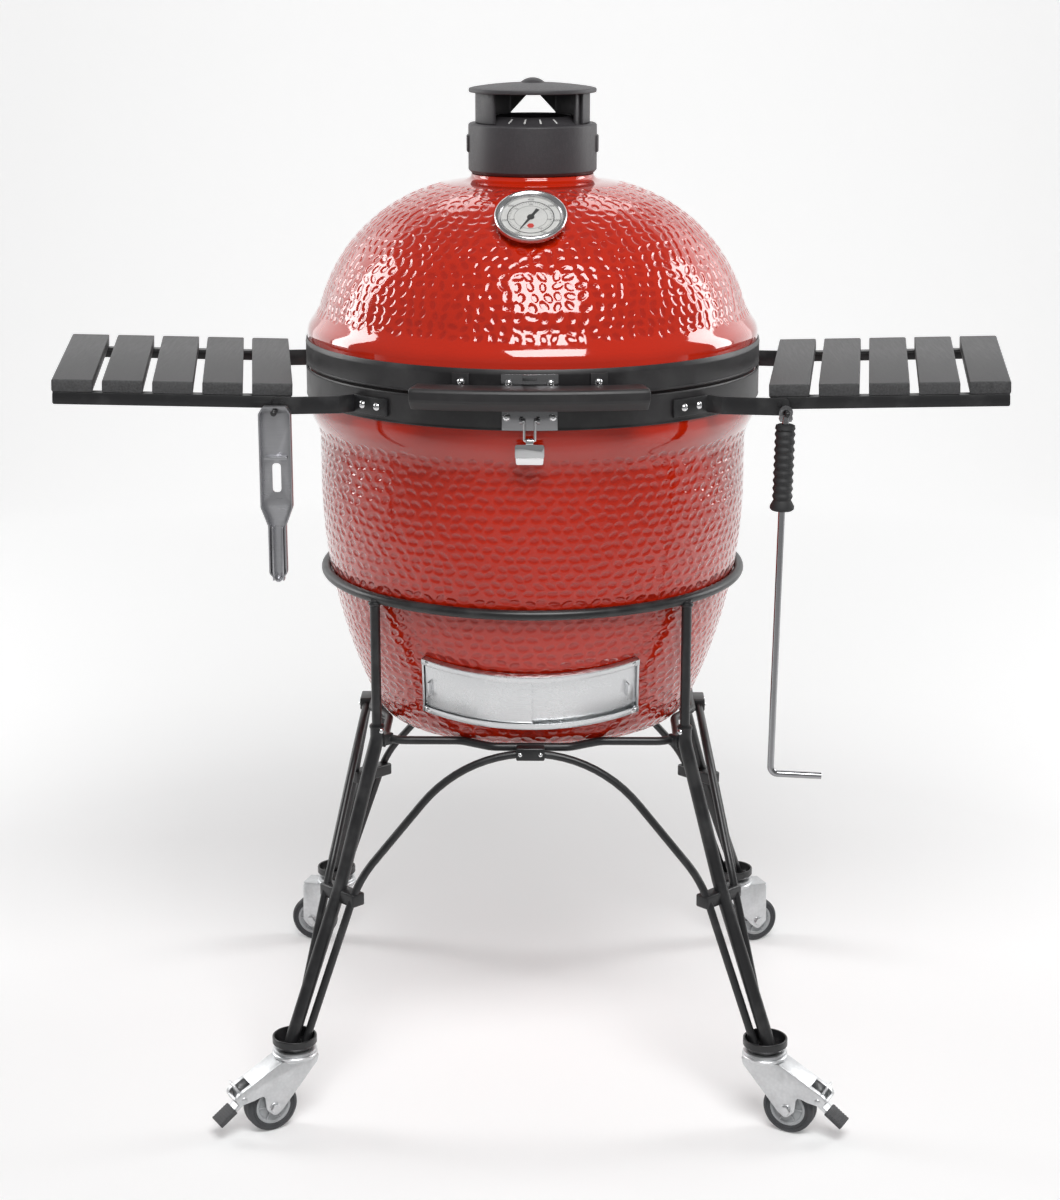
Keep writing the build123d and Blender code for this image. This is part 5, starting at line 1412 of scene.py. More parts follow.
@dataclass
class CeramicBody:
    """Glazed bowl and lid."""

    rim_z: float = 882.0
    seat: float = 3.15
    lip_r: float = 274.0
    lip_wall: float = 31.0
    base_lip_z: float = 838.0
    belly_r: float = 260.5
    belly_z: float = 740.0
    belly_top_z: float = 788.0
    belly_arc: float = 655.0
    bowl_z: float = 440.0
    foot_arc: float = 38.0
    bowl_wall: float = 26.0
    lid_lip_z: float = 920.0
    shoulder_r: float = 257.0
    shoulder_z: float = 955.0
    dome_arc: float = 201.5
    dome_arc_r: float = 63.3
    dome_wall: float = 24.0
    neck_r: float = 74.0
    neck_top_z: float = 1108.0
    flue_r: float = 52.0
    draft_z: float = 513.5
    draft_hole: Point2 = (170.0, 40.0)
    bowl_dents: Point2 = (446.0, 812.0)
    lid_dents_from: float = 944.0
    finish: Glaze = RED_GLAZE
    bare: FireClay = CLAY

    def bowl_side(self, wall: float, floor: float, corner: float, steps: int) -> List[Point2]:
        """Outline from the flat foot round the corner and up to the belly.

        Args:
            wall: How far inside the outer face it runs.
            floor: Height of the flat foot.
            corner: Radius of the corner.
            steps: Steps up the side.

        Returns:
            The outline's points.
        """
        side = self.belly_arc - wall
        middle = self.belly_r - self.belly_arc
        corner_z = floor + corner
        corner_r = middle + sqrt((side - corner) ** 2 - (self.belly_z - corner_z) ** 2)
        low = degrees(atan2(corner_z - self.belly_z, corner_r - middle))
        turned = arc((corner_r, corner_z), corner, -90.0, low, 16)
        return turned + arc((middle, self.belly_z), side, low, 0.0, steps)[1:]

    def bowl(self) -> GlazedShell:
        """The bowl's walls.

        Returns:
            The shell.
        """
        rim = self.rim_z - self.seat
        inner_belly = self.belly_r - self.bowl_wall
        inner_lip = self.lip_r - self.lip_wall
        middle = (self.belly_top_z + self.base_lip_z) / 2
        outer = [(0.0, self.bowl_z), (60.0, self.bowl_z), (120.0, self.bowl_z)]
        outer += self.bowl_side(0.0, self.bowl_z, self.foot_arc, 200)
        outer += [(self.belly_r, self.belly_z + 4.0 * i) for i in range(1, 12)]
        belly, lip = (self.belly_r, self.belly_top_z), (self.lip_r, self.base_lip_z)
        outer += easy_bend(belly, (self.belly_r, middle), (self.lip_r, middle), lip, 24)
        outer += [(self.lip_r, rim - 20.0), (self.lip_r, rim - 3.0)]
        outer += arc((self.lip_r - 3.0, rim - 3.0), 3.0, 15.0, 90.0, 5)
        inner = arc((inner_lip + 3.0, rim - 3.0), 3.0, 90.0, 180.0, 5)
        lip, belly = (inner_lip, self.base_lip_z), (inner_belly, self.belly_top_z)
        inner += easy_bend(lip, (inner_lip, middle), (inner_belly, middle), belly, 8)
        floor = self.bowl_z + self.bowl_wall
        side = self.bowl_side(self.bowl_wall, floor, self.foot_arc / 2, 24)
        inner += side[::-1] + [(0.0, floor)]
        low, high = [self.reach(outer, z) for z in self.bowl_dents]
        dimples = Dimples(low, high, Grain.LEVEL, seed=11)
        hole = (self.draft_hole[0] / 2, self.draft_z, self.draft_hole[1] / 2)
        return GlazedShell(outer, inner, dimples, columns=1120, sectors=4, hole=hole)

    def lid(self) -> GlazedShell:
        """The lid's walls.

        Returns:
            The shell.
        """
        rim = self.rim_z + self.seat
        inner_lip = self.lip_r - self.lip_wall
        centre_z = self.shoulder_z - sqrt(self.dome_arc ** 2 - (self.shoulder_r - self.dome_arc_r) ** 2)
        centre = (self.dome_arc_r, centre_z)
        rise = (self.shoulder_z - centre_z) / self.dome_arc
        run = (self.shoulder_r - self.dome_arc_r) / self.dome_arc
        blend = (self.shoulder_z - self.lid_lip_z) / 2
        neck_foot = self.neck_r + 14.0
        neck_z = centre_z + sqrt(self.dome_arc ** 2 - (neck_foot - self.dome_arc_r) ** 2)
        outer = [(self.lip_r - 3.0, rim)] + arc((self.lip_r - 3.0, rim + 3.0), 3.0, -75.0, 0.0, 5)
        outer += [(self.lip_r, rim + 14.0), (self.lip_r, rim + 25.0)]
        lip, shoulder = (self.lip_r, self.lid_lip_z), (self.shoulder_r, self.shoulder_z)
        lead = (self.shoulder_r + blend * rise, self.shoulder_z - blend * run)
        outer += easy_bend(lip, (self.lip_r, self.lid_lip_z + 0.8 * blend), lead, shoulder, 20)
        first = degrees(atan2(self.shoulder_z - centre_z, self.shoulder_r - self.dome_arc_r))
        last = degrees(atan2(neck_z - centre_z, neck_foot - self.dome_arc_r))
        outer += arc(centre, self.dome_arc, first, last, 160)[1:]
        neck_top = (self.neck_r, self.neck_top_z - 1.0)
        foot = [(neck_foot, neck_z), (self.neck_r + 4, neck_z + 1.3), (self.neck_r, neck_z + 3.5)]
        outer += easy_bend(*foot, neck_top, 10)[1:]
        outer += [(self.neck_r - 1.0, self.neck_top_z)]
        inner_arc = self.dome_arc - self.dome_wall
        top = centre_z + sqrt(inner_arc ** 2 - (self.flue_r - self.dome_arc_r) ** 2)
        inner = [
            (self.flue_r + 1.0, self.neck_top_z), (self.flue_r, self.neck_top_z - 1.0),
            (self.flue_r, top + 2.0)
        ]
        over = degrees(atan2(top - centre_z, self.flue_r - self.dome_arc_r))
        inner += arc(centre, inner_arc, over, 0.0, 28) + [(inner_lip, rim + 3.0), (inner_lip + 3.0, rim)]
        low, high = self.reach(outer, self.lid_dents_from), self.reach(outer, neck_z - 2.5)
        dimples = Dimples(
            low, high, Grain.SCATTERED, 23, pitch=14.6, row=11.6, half_length=7.4, half_width=4.5
        )
        return GlazedShell(outer, inner, dimples, columns=1140, sectors=3)

    @staticmethod
    def reach(outline: Sequence[Point2], height: float) -> float:
        """Distance along an outline at which it first gets to a height."""
        far = 0.0
        for a, b in zip(outline, outline[1:]):
            if b[1] >= height:
                return far
            far += dist(a, b)
        return far

    def build(self) -> None:
        """Makes the bowl and the lid."""
        for name, shell, body, node in (
            ("bowl", self.bowl(), "cart", "ceramic_base"), ("dome", self.lid(), "lid", "ceramic_dome")
        ):
            for mesh in shell.meshes(name):
                mesh.materials.append(self.finish.material())
                mesh.materials.append(self.bare.material())
                piece(mesh.name, mesh, None, body, node)


# ---------------------------------------------------------------- bands, handle and latch
@dataclass
class OnBand:
    """What lies on the bands' outer face."""

    pad_in: float = 276.6
    pad_out: float = 279.6

    def pad(self, form: Form, z: Point2, steps: int, start: float, span: float, bevel: float = 0.7) -> None:
        """Adds a curved pad to a form.

        Args:
            form: The form that it goes into.
            z: Its lower and upper edge.
            steps: Steps along it.
            start: First angle in degrees.
            span: Degrees that it covers.
            bevel: Width of its bevel.
        """
        form.strip((self.pad_in, self.pad_out), z, steps, start, span, bevel)


@dataclass
class RimBands(OnBand):
    """Steel bands round both rims, with their bolts."""

    inner_r: float = 274.3
    outer_r: float = 276.3
    base_low: float = 845.0
    base_high: float = 880.3
    lid_low: float = 883.7
    lid_high: float = 914.0
    bevel: float = 4.5
    bolt_r: float = 4.6
    bolt_h: float = 3.0
    arm_z: float = 861.5
    latch_z: float = 861.0
    handle_z: float = 899.5
    handle_bolt_x: float = 77.0
    catch_bolt_x: float = 23.5
    plate_bolt_x: float = 26.0
    hinge_bolt_deg: float = 12.8
    arm_bolts: Tuple[float, ...] = (-51.0, -46.2, 32.4, 37.4)

    def band(self, low: float, high: float, slope: float) -> Form:
        """One band with rolled edges and a pressed line near each.

        Args:
            low: Lower edge.
            high: Upper edge.
            slope: Height of the sloped strip at its top.

        Returns:
            The form.
        """
        r, bead = self.outer_r, self.outer_r - 0.25
        outline = [
            (self.inner_r, low), (r - 0.9, low), (r - 0.2, low + 0.35), (r, low + 1.1), (r - 0.2, low + 2.0)
        ]
        outline += [
            (bead - 0.25, low + 2.8), (bead, low + 3.6), (bead, high - slope - 3.0),
            (bead + 0.15, high - slope - 2.2)
        ]
        outline += [(r, high - slope - 0.9), (r - 0.25, high - slope)]
        if slope > 1.0:
            outline += [(r - 1.0, high - 0.4), (r - 1.3, high)]
        else:
            outline += [(r - 0.9, high)]
        outline.append((self.inner_r, high))
        return Form().lathe(outline, 224)

    def bolts(self, upper: bool) -> List[Matrix]:
        """Places of one band's bolt heads.

        Args:
            upper: True for the lid's band.

        Returns:
            A place for each head.
        """
        head = self.pad_out + 0.3
        places = []
        for side in (-1, 1):
            rear = 90 + side * self.hinge_bolt_deg
            if upper:
                places.append(on_wall(head, -90 + side * half_angle(self.handle_bolt_x, head), self.handle_z))
                catch = half_angle(self.catch_bolt_x, head)
                places.append(on_wall(head - 1, -90 + side * catch, self.handle_z))
                places.append(on_wall(head, rear, self.lid_low + 15))
                continue
            for heading in self.arm_bolts:
                places.append(on_wall(head, heading if side > 0 else 180 - heading, self.arm_z))
            places.append(on_wall(head, -90 + side * half_angle(self.plate_bolt_x, head), self.latch_z))
            places.append(on_wall(head, rear, self.base_high - 17))
        return places

    def build(self) -> None:
        """Makes both bands and their bolts."""
        bands = (
            ("cart", "base_band", (self.base_low, self.base_high, 0.8)),
            ("lid", "lid_band", (self.lid_low, self.lid_high, self.bevel))
        )
        for body, node, sizes in bands:
            piece(node + "_ring", self.band(*sizes), BAND_BLACK, body, node)
        for body, node, _ in bands:
            head = screw_head(self.bolt_r, self.bolt_h, 22)
            node += "_bolts"
            copies(node + "_heads", head, self.bolts(body == "lid"), BOLT_STEEL, body, node, "bolt_steel")


@dataclass
class LidHandle(OnBand):
    """Bowed grip bar on two brackets."""

    length: float = 268.0
    depth: float = 38.0
    height: float = 24.5
    top: float = 898.0
    back_y: float = -283.3
    bow: float = 620.0
    bracket_x: float = 77.0
    bracket_w: float = 20.0
    pad_z: Point2 = (885.7, 909.5)

    def build(self) -> None:
        """Makes the bar and its brackets."""
        inner = self.bow - self.depth
        low, top = self.top - self.height, self.top
        outline = [
            (inner, low + 2), (inner + 5, low), (self.bow - 9, low),
            (self.bow - 1.2, low + self.height / 2 - 3)
        ]
        outline += [
            (self.bow, low + self.height / 2), (self.bow, top - 4), (self.bow - 1.5, top - 1.5),
            (self.bow - 4, top), (inner + 2, top), (inner, top - 2)
        ]
        sweep = 2 * half_angle(self.length / 2, self.bow)
        centre_y = self.back_y - self.depth + self.bow
        bar = Form().lathe(soften(outline, 2.2, 4), 44, shifted(0, centre_y), -90 - sweep / 2, sweep, 1.2)
        piece("handle_bar", bar, HANDLE_BLACK, "lid", "lid_handle", 50)
        brackets = Form()
        for side in (-1, 1):
            middle = -90 + side * half_angle(self.bracket_x, self.pad_in)
            spread = half_angle(self.bracket_w / 2, self.pad_in)
            self.pad(brackets, self.pad_z, 6, middle - spread, 2 * spread)
            foot = -sqrt(self.pad_out ** 2 - (self.bracket_x + self.bracket_w / 2) ** 2)
            x = side * self.bracket_x
            half = self.bracket_w / 2
            brackets.block(
                (x - half, x + half), (self.back_y - 2.0, foot + 0.5), (low + 10, low + 14), None, 0.8
            )
            brackets.rod((x, self.back_y - 1.2, low + 17.5), (x, self.back_y + 2.2, low + 17.5), 3.4, 6, 0.4)
        piece("handle_brackets", brackets, HANDLE_BLACK, "lid", "lid_handle")


@dataclass
class FrontLatch(OnBand):
    """Catch plate on the lid, and hinge plate, wire bail and hook tab on the base."""

    catch_w: float = 64.0
    catch_z: Point2 = (885.2, 909.5)
    plate_w: float = 62.0
    plate_z: Point2 = (846.0, 873.0)
    pin_y: float = -284.6
    pin_z: float = 858.0
    barrel_r: float = 3.6
    barrel_half: float = 11.5
    wire_r: float = 1.5
    wire_x: float = 6.0
    drop: float = 23.0
    tab_w: float = 33.0
    tab_l: float = 26.0
    tab_t: float = 1.6

    def sheet_on_band(self, width: float, z: Point2, thick: float, form: Form) -> None:
        """Adds a curved plate lying on the band.

        Args:
            width: Its width.
            z: Its lower and upper edge.
            thick: Its thickness.
            form: The form that it goes into.
        """
        spread = half_angle(width / 2, self.pad_in)
        form.strip((self.pad_in, self.pad_in + thick), z, 14, -90 - spread, 2 * spread, 0.5)

    def build(self) -> None:
        """Makes the four pieces of the latch."""
        catch = Form()
        self.sheet_on_band(self.catch_w, self.catch_z, 2.0, catch)
        lip_y = -(self.pad_in + 2.2)
        catch.block(
            (-8, 8), (-(self.pad_in + 5), lip_y + 1.5), (self.catch_z[1] - 7, self.catch_z[1] - 5.2), None,
            0.4
        )
        catch.block(
            (-8, 8), (-(self.pad_in + 5), -(self.pad_in + 3.4)), (self.catch_z[1] - 6.6, self.catch_z[1]),
            None, 0.5
        )
        piece("latch_catch_plate", catch, DARK_STEEL, "lid", "latch_catch")
        plate = Form()
        self.sheet_on_band(self.plate_w, self.plate_z, 3.0, plate)
        gap = self.wire_x + self.wire_r + 0.3
        for low, high in ((-self.barrel_half, -gap), (gap, self.barrel_half)):
            turned = crosswise(low, self.pin_y, self.pin_z)
            plate.tube(turned, self.wire_r + 0.05, self.barrel_r, 0.0, high - low, 20, 0.3)
            plate.block(
                (low, high), (self.pin_y + 2.6, -self.pad_in - 1.0), (self.pin_z - 3.4, self.pin_z - 1.6),
                None, 0.3
            )
        piece("latch_hinge_plate", plate, DARK_STEEL, "cart", "latch_plate")
        low_z = self.pin_z - self.drop
        right = [(self.wire_x, low_z), (self.wire_x, self.pin_z), (self.barrel_half, self.pin_z)]
        corners = [(-x, z) for x, z in right[::-1]] + right
        line = [(x, self.pin_y, z) for x, z in corners]
        wire = BARS.along("latch_wire", line, self.wire_r, CHROME, [0.6, 2.2, 2.2, 0.6], sides=14, steps=6)
        piece("latch_wire", wire, None, "latch_bail", "latch_bail")
        self.tab(low_z)

    def tab(self, axis_z: float) -> None:
        """Makes the hook tab: a curl round the wire, a flat with rolled sides, and a bent lip.

        Args:
            axis_z: Height of the wire that it hangs on.
        """
        front = self.pin_y - self.wire_r - 0.05
        back = front - self.tab_t
        top = axis_z - self.wire_r - 0.3 - self.tab_t
        low = top - 0.62 * self.tab_l
        half = self.tab_w / 2
        curl = self.wire_x - self.wire_r - 0.3
        tab = Form()
        wire, thick = self.wire_r, self.tab_t
        tab.tube(
            crosswise(-curl, self.pin_y, axis_z), wire + 0.06, wire + 0.05 + thick, 0.0, 2 * curl, 22, 0.2
        )
        tab.block((-curl, curl), (back, front), (top - 1, axis_z), None, 0.2)
        corners = soften(oblong((-half, half), (low, top)), 3.0, 4)
        face = frame_at((0, front, 0), (0, -1, 0))
        tab.plate(corners, 0.0, self.tab_t, face, 0.35)
        lip = frame_at((0, front, low + 1.0), (0, -0.87, -0.5))
        reach = 0.36 * self.tab_l
        corners = soften(
            [(-half + 1.5, -reach), (half - 1.5, -reach), (half - 0.6, 1.0), (-half + 0.6, 1.0)], 2.2, 4
        )
        tab.plate(corners, 0.0, self.tab_t, lip, 0.35)
        piece("latch_hook_tab", tab, CHROME, "latch_tab", "latch_tab")


# ---------------------------------------------------------------- rear hinge
@dataclass
class RearHinge(OnBand):
    """Two leaves on one pin, with a coil spring between them."""

    reach: float = 323.0
    z: float = 866.0
    pin_r: float = 5.0
    ear_r: float = 14.0
    ear_t: float = 5.0
    half_w: float = 46.0
    guard: float = 344.3
    pad_deg: float = 15.5
    base_z: Point2 = (846.0, 879.3)
    lid_z: Point2 = (884.7, 909.5)

    def ear(self, form: Form, x: Point2, points: Sequence[Point2]) -> None:
        """Adds a flat ear with a round boss on the pin.

        Args:
            form: The form that it goes into.
            x: Its two faces.
            points: Outline in the Y-Z plane.
        """
        side = crosswise(x[0], 0, 0)
        hole = arc((self.reach, self.z), self.pin_r + 0.4, 0, 345, 23)
        form.plate(soften(points, 3.0, 3), 0.0, x[1] - x[0], side, 0.6, (hole,))
        form.tube(
            crosswise(x[0], self.reach, self.z), self.pin_r + 0.05, self.ear_r, 0.0, x[1] - x[0], 40, 0.6
        )

    def build(self) -> None:
        """Makes both leaves, the pin and the spring."""
        root = sqrt(self.pad_out ** 2 - self.half_w ** 2) - 1.5
        low = self.base_z[0]
        y, z = self.reach, self.z
        base_ear = [
            (root, low + 1), (y - 4, low), (self.guard - 0.1, low + 4), (self.guard - 0.1, z - 2),
            (y + 9, z + 10), (y - 10, z + self.ear_r - 4), (root, self.base_z[1] - 7)
        ]
        lid_ear = [
            (root, self.lid_z[0]), (y - 12, z - 8), (y + 10, z + 9), (y - 6, self.lid_z[0] + 13),
            (root, self.lid_z[1])
        ]
        base, lid = Form(), Form()
        self.pad(base, self.base_z, 24, 90 - self.pad_deg, 2 * self.pad_deg)
        self.pad(lid, self.lid_z, 24, 90 - self.pad_deg, 2 * self.pad_deg)
        outer = (self.half_w - self.ear_t, self.half_w)
        inner = (outer[0] - 0.6 - self.ear_t, outer[0] - 0.6)
        for side in (-1, 1):
            self.ear(base, between(side, *outer), base_ear)
            self.ear(lid, between(side, *inner), lid_ear)
        base.block(
            (-self.half_w, self.half_w), (self.guard - 3, self.guard - 0.05), (low + 4, low + 14), None, 0.6
        )
        piece("hinge_base_leaf", base, BAND_BLACK, "cart", "hinge_base")
        piece("hinge_lid_leaf", lid, BAND_BLACK, "lid", "hinge_lid")
        pin = Form().rod((-self.half_w - 3, y, z), (self.half_w + 3, y, z), self.pin_r, 28)
        for side in (-1, 1):
            pin.rod(
                (side * (self.half_w + 0.3), y, z), (side * (self.half_w + 4), y, z), self.pin_r + 3.5, 6, 0.6
            )
        piece("hinge_pin", pin, BOLT_STEEL, "cart", "hinge_base")
        half = inner[0] - 1.2
        dot = bpy.data.meshes.new("spring_point")
        dot.from_pydata([(-half * MM, y * MM, z * MM)], [], [])
        turns = 2 * (half - 1.4) / 3.1
        coil = Coil().run(
            "hinge_coil", dot, CHROME, Turns=turns, Coil_radius=(self.pin_r + 2.1) * MM, Length=2 * half * MM,
            Wire_radius=1.4 * MM
        )
        piece("hinge_coil", smoothed(outward(coil), 50), None, "cart", "hinge_spring")


# ---------------------------------------------------------------- thermometer
@dataclass
class Thermometer:
    """Dial in a bright case on the front of the dome."""

    axis: float = 54.0
    foot_r: float = 176.5
    dome_arc: float = 201.5
    dome_arc_r: float = 63.3
    dome_arc_z: float = 899.5
    case_r: float = 41.5
    case_t: float = 9.0
    lift: float = 5.0
    rim: float = 7.8
    stem_r: float = 4.0
    pan: float = 2.5
    plate_t: float = 1.0
    scale_start: float = 240.0
    scale_span: float = 300.0
    ticks: int = 48
    figures: int = 7
    figure_rings: Tuple[Point3, ...] = ((100, 4.8, 29.8), (50, 3.2, 21.4))
    printed_rings: Tuple[Point2, ...] = ((25.9, 1.0), (18.8, 0.35))
    tick_reach: Point2 = (23.9, 24.7)
    needle_turn: float = -31.0

    def place(self) -> Matrix:
        """The dial's place: origin on the glaze, +Z out along its axis, +Y up the dome."""
        z = self.dome_arc_z + sqrt(self.dome_arc ** 2 - (self.foot_r - self.dome_arc_r) ** 2)
        a = radians(self.axis)
        return frame_at((0, -self.foot_r, z), (0, -cos(a), sin(a)))

    def case(self) -> None:
        """Makes the case: a rounded bezel, a pan and a collar on the stem."""
        at = self.place()
        low, high = self.lift, self.lift + self.case_t
        window = self.case_r - self.rim
        outline = [(14.0, low + 0.2), (self.case_r - 2.5, low + 0.2)]
        outline += arc((self.case_r - 2.5, low + 2.8), 2.5, -80, 0, 4)
        outline += arc((self.case_r - 2.9, high - 2.9), 2.9, 5, 100, 9)
        outline += [
            (self.case_r - 4.2, high - 0.6), (window + 0.9, high - 2.0), (window, high - 3.4),
            (window, low + 2.45), (14.0, low + 2.45)
        ]
        form = Form().lathe(outline, 96, at)
        form.tube(at, 1.6, 14.2, 0.3, low + 2.4, 40, 0.3)
        form.rod((0, 0, -91.8), (0, 0, 2.0), self.stem_r, 20, 1.2, at)
        form.lathe(oblong((0, 9.6), (-33.0, -26.0)), 6, at)
        piece("dial_case", form, SPUN, "lid", "thermometer_case")

    def text(self, words: str, size: float, x: float, y: float, z: float) -> Mesh:
        """Flat printed figures as a mesh, centred on a point of the dial.

        Args:
            words: The figures.
            size: Their height.
            x: Their centre across the dial.
            y: Their centre up the dial.
            z: Their height above the dial's foot.

        Returns:
            The mesh, in metres.
        """
        font = bpy.data.curves.new("figures", "FONT")
        font.body = words
        font.size = size * MM
        font.align_x = "CENTER"
        font.align_y = "CENTER"
        font.extrude = 0.04 * MM
        font.resolution_u = 3
        holder = linked("figures", font)
        graph = bpy.context.evaluated_depsgraph_get()
        made = bpy.data.meshes.new_from_object(holder.evaluated_get(graph))
        bpy.data.objects.remove(holder)
        bpy.data.curves.remove(font)
        at = self.place() @ Matrix.Translation((x, y, z))
        made.transform(Matrix.Scale(MM, 4) @ at @ Matrix.Scale(1 / MM, 4))
        return made

    def dial(self) -> None:
        """Makes the printed plate: rings, graduations, figures and a red mark."""
        at = self.place()
        base = self.lift + self.pan
        face = base + self.plate_t
        window = self.case_r - self.rim
        plate = Form().lathe(oblong((1.6, window - 0.3), (base, face)), 80, at)
        piece("dial_plate", plate, DIAL_WHITE, "lid", "thermometer_dial")
        rings = Form()
        for radius, width in self.printed_rings:
            rings.lathe(oblong((radius, radius + width), (face + 0.01, face + 0.09)), 96, at)
        meshes = [rings.done("dial_rings")]
        ticks = []
        for i in range(self.ticks + 1):
            a = radians(self.scale_start - i * self.scale_span / self.ticks)
            reach = self.tick_reach[0 if i % 4 == 0 else 1]
            spot = Matrix.Translation((reach * cos(a), reach * sin(a), face + 0.05))
            ticks.append(at @ spot @ Matrix.Rotation(a, 4, "Z"))
        tick = Form().block((-1.3, 1.3), (-0.2, 0.2), (-0.04, 0.04), None, 0.0).done("tick")
        for i in range(self.figures):
            a = radians(self.scale_start - i * self.scale_span / (self.figures - 1))
            for step, size, reach in self.figure_rings:
                meshes.append(
                    self.text(str(step * (i + 1)), size, reach * cos(a), reach * sin(a), face + 0.05)
                )
        piece("dial_print", meshes, DIAL_INK, "lid", "thermometer_dial")
        copies("dial_ticks", tick, ticks, DIAL_INK, "lid", "thermometer_dial", "needle_paint")
        mark = Form().lathe(oblong((0, 4.2), (face + 0.02, face + 0.1)), 6, at @ shifted(0.0, -14.0))
        piece("dial_mark", mark, DIAL_RED, "lid", "thermometer_dial")

    def needle(self) -> None:
        """Makes the tapered needle on its hub."""
        low = self.lift + self.pan + 1.3
        turned = self.place() @ shifted(turn=self.needle_turn)
        outline = [
            (-1.7, -3.0), (-0.35, -23.2), (0.35, -23.2), (1.7, -3.0), (1.7, 9.0), (2.3, 15.2), (-2.3, 15.2),
            (-1.7, 9.0)
        ]
        form = Form().plate(outline, low, low + 0.7, turned, 0.15)
        form.lathe([(0, low), (4.0, low), (4.2, low + 0.3), (3.6, low + 1.2), (0, low + 1.5)], 28, turned)
        form.rod((0, 0, low - 4.4), (0, 0, low + 0.4), 1.5, 14, 0.2, turned)
        piece("dial_needle", form, DIAL_INK, "thermometer_needle", "thermometer_needle")

    def build(self) -> None:
        """Makes the whole dial."""
        self.case()
        self.dial()
        self.needle()
        high = self.lift + self.case_t - 1.8
        window = self.case_r - self.rim - 0.3
        outline = [(0, high), (window, high), (window, high + 0.9)]
        for i in range(1, 6):
            r = 1 - i / 5
            outline.append((window * r, high + 0.9 + 0.5 * (1 - r ** 2)))
        piece(
            "dial_cover", Form().lathe(outline, 72, self.place()), GLASS, "lid", "thermometer_glass",
            60
        )


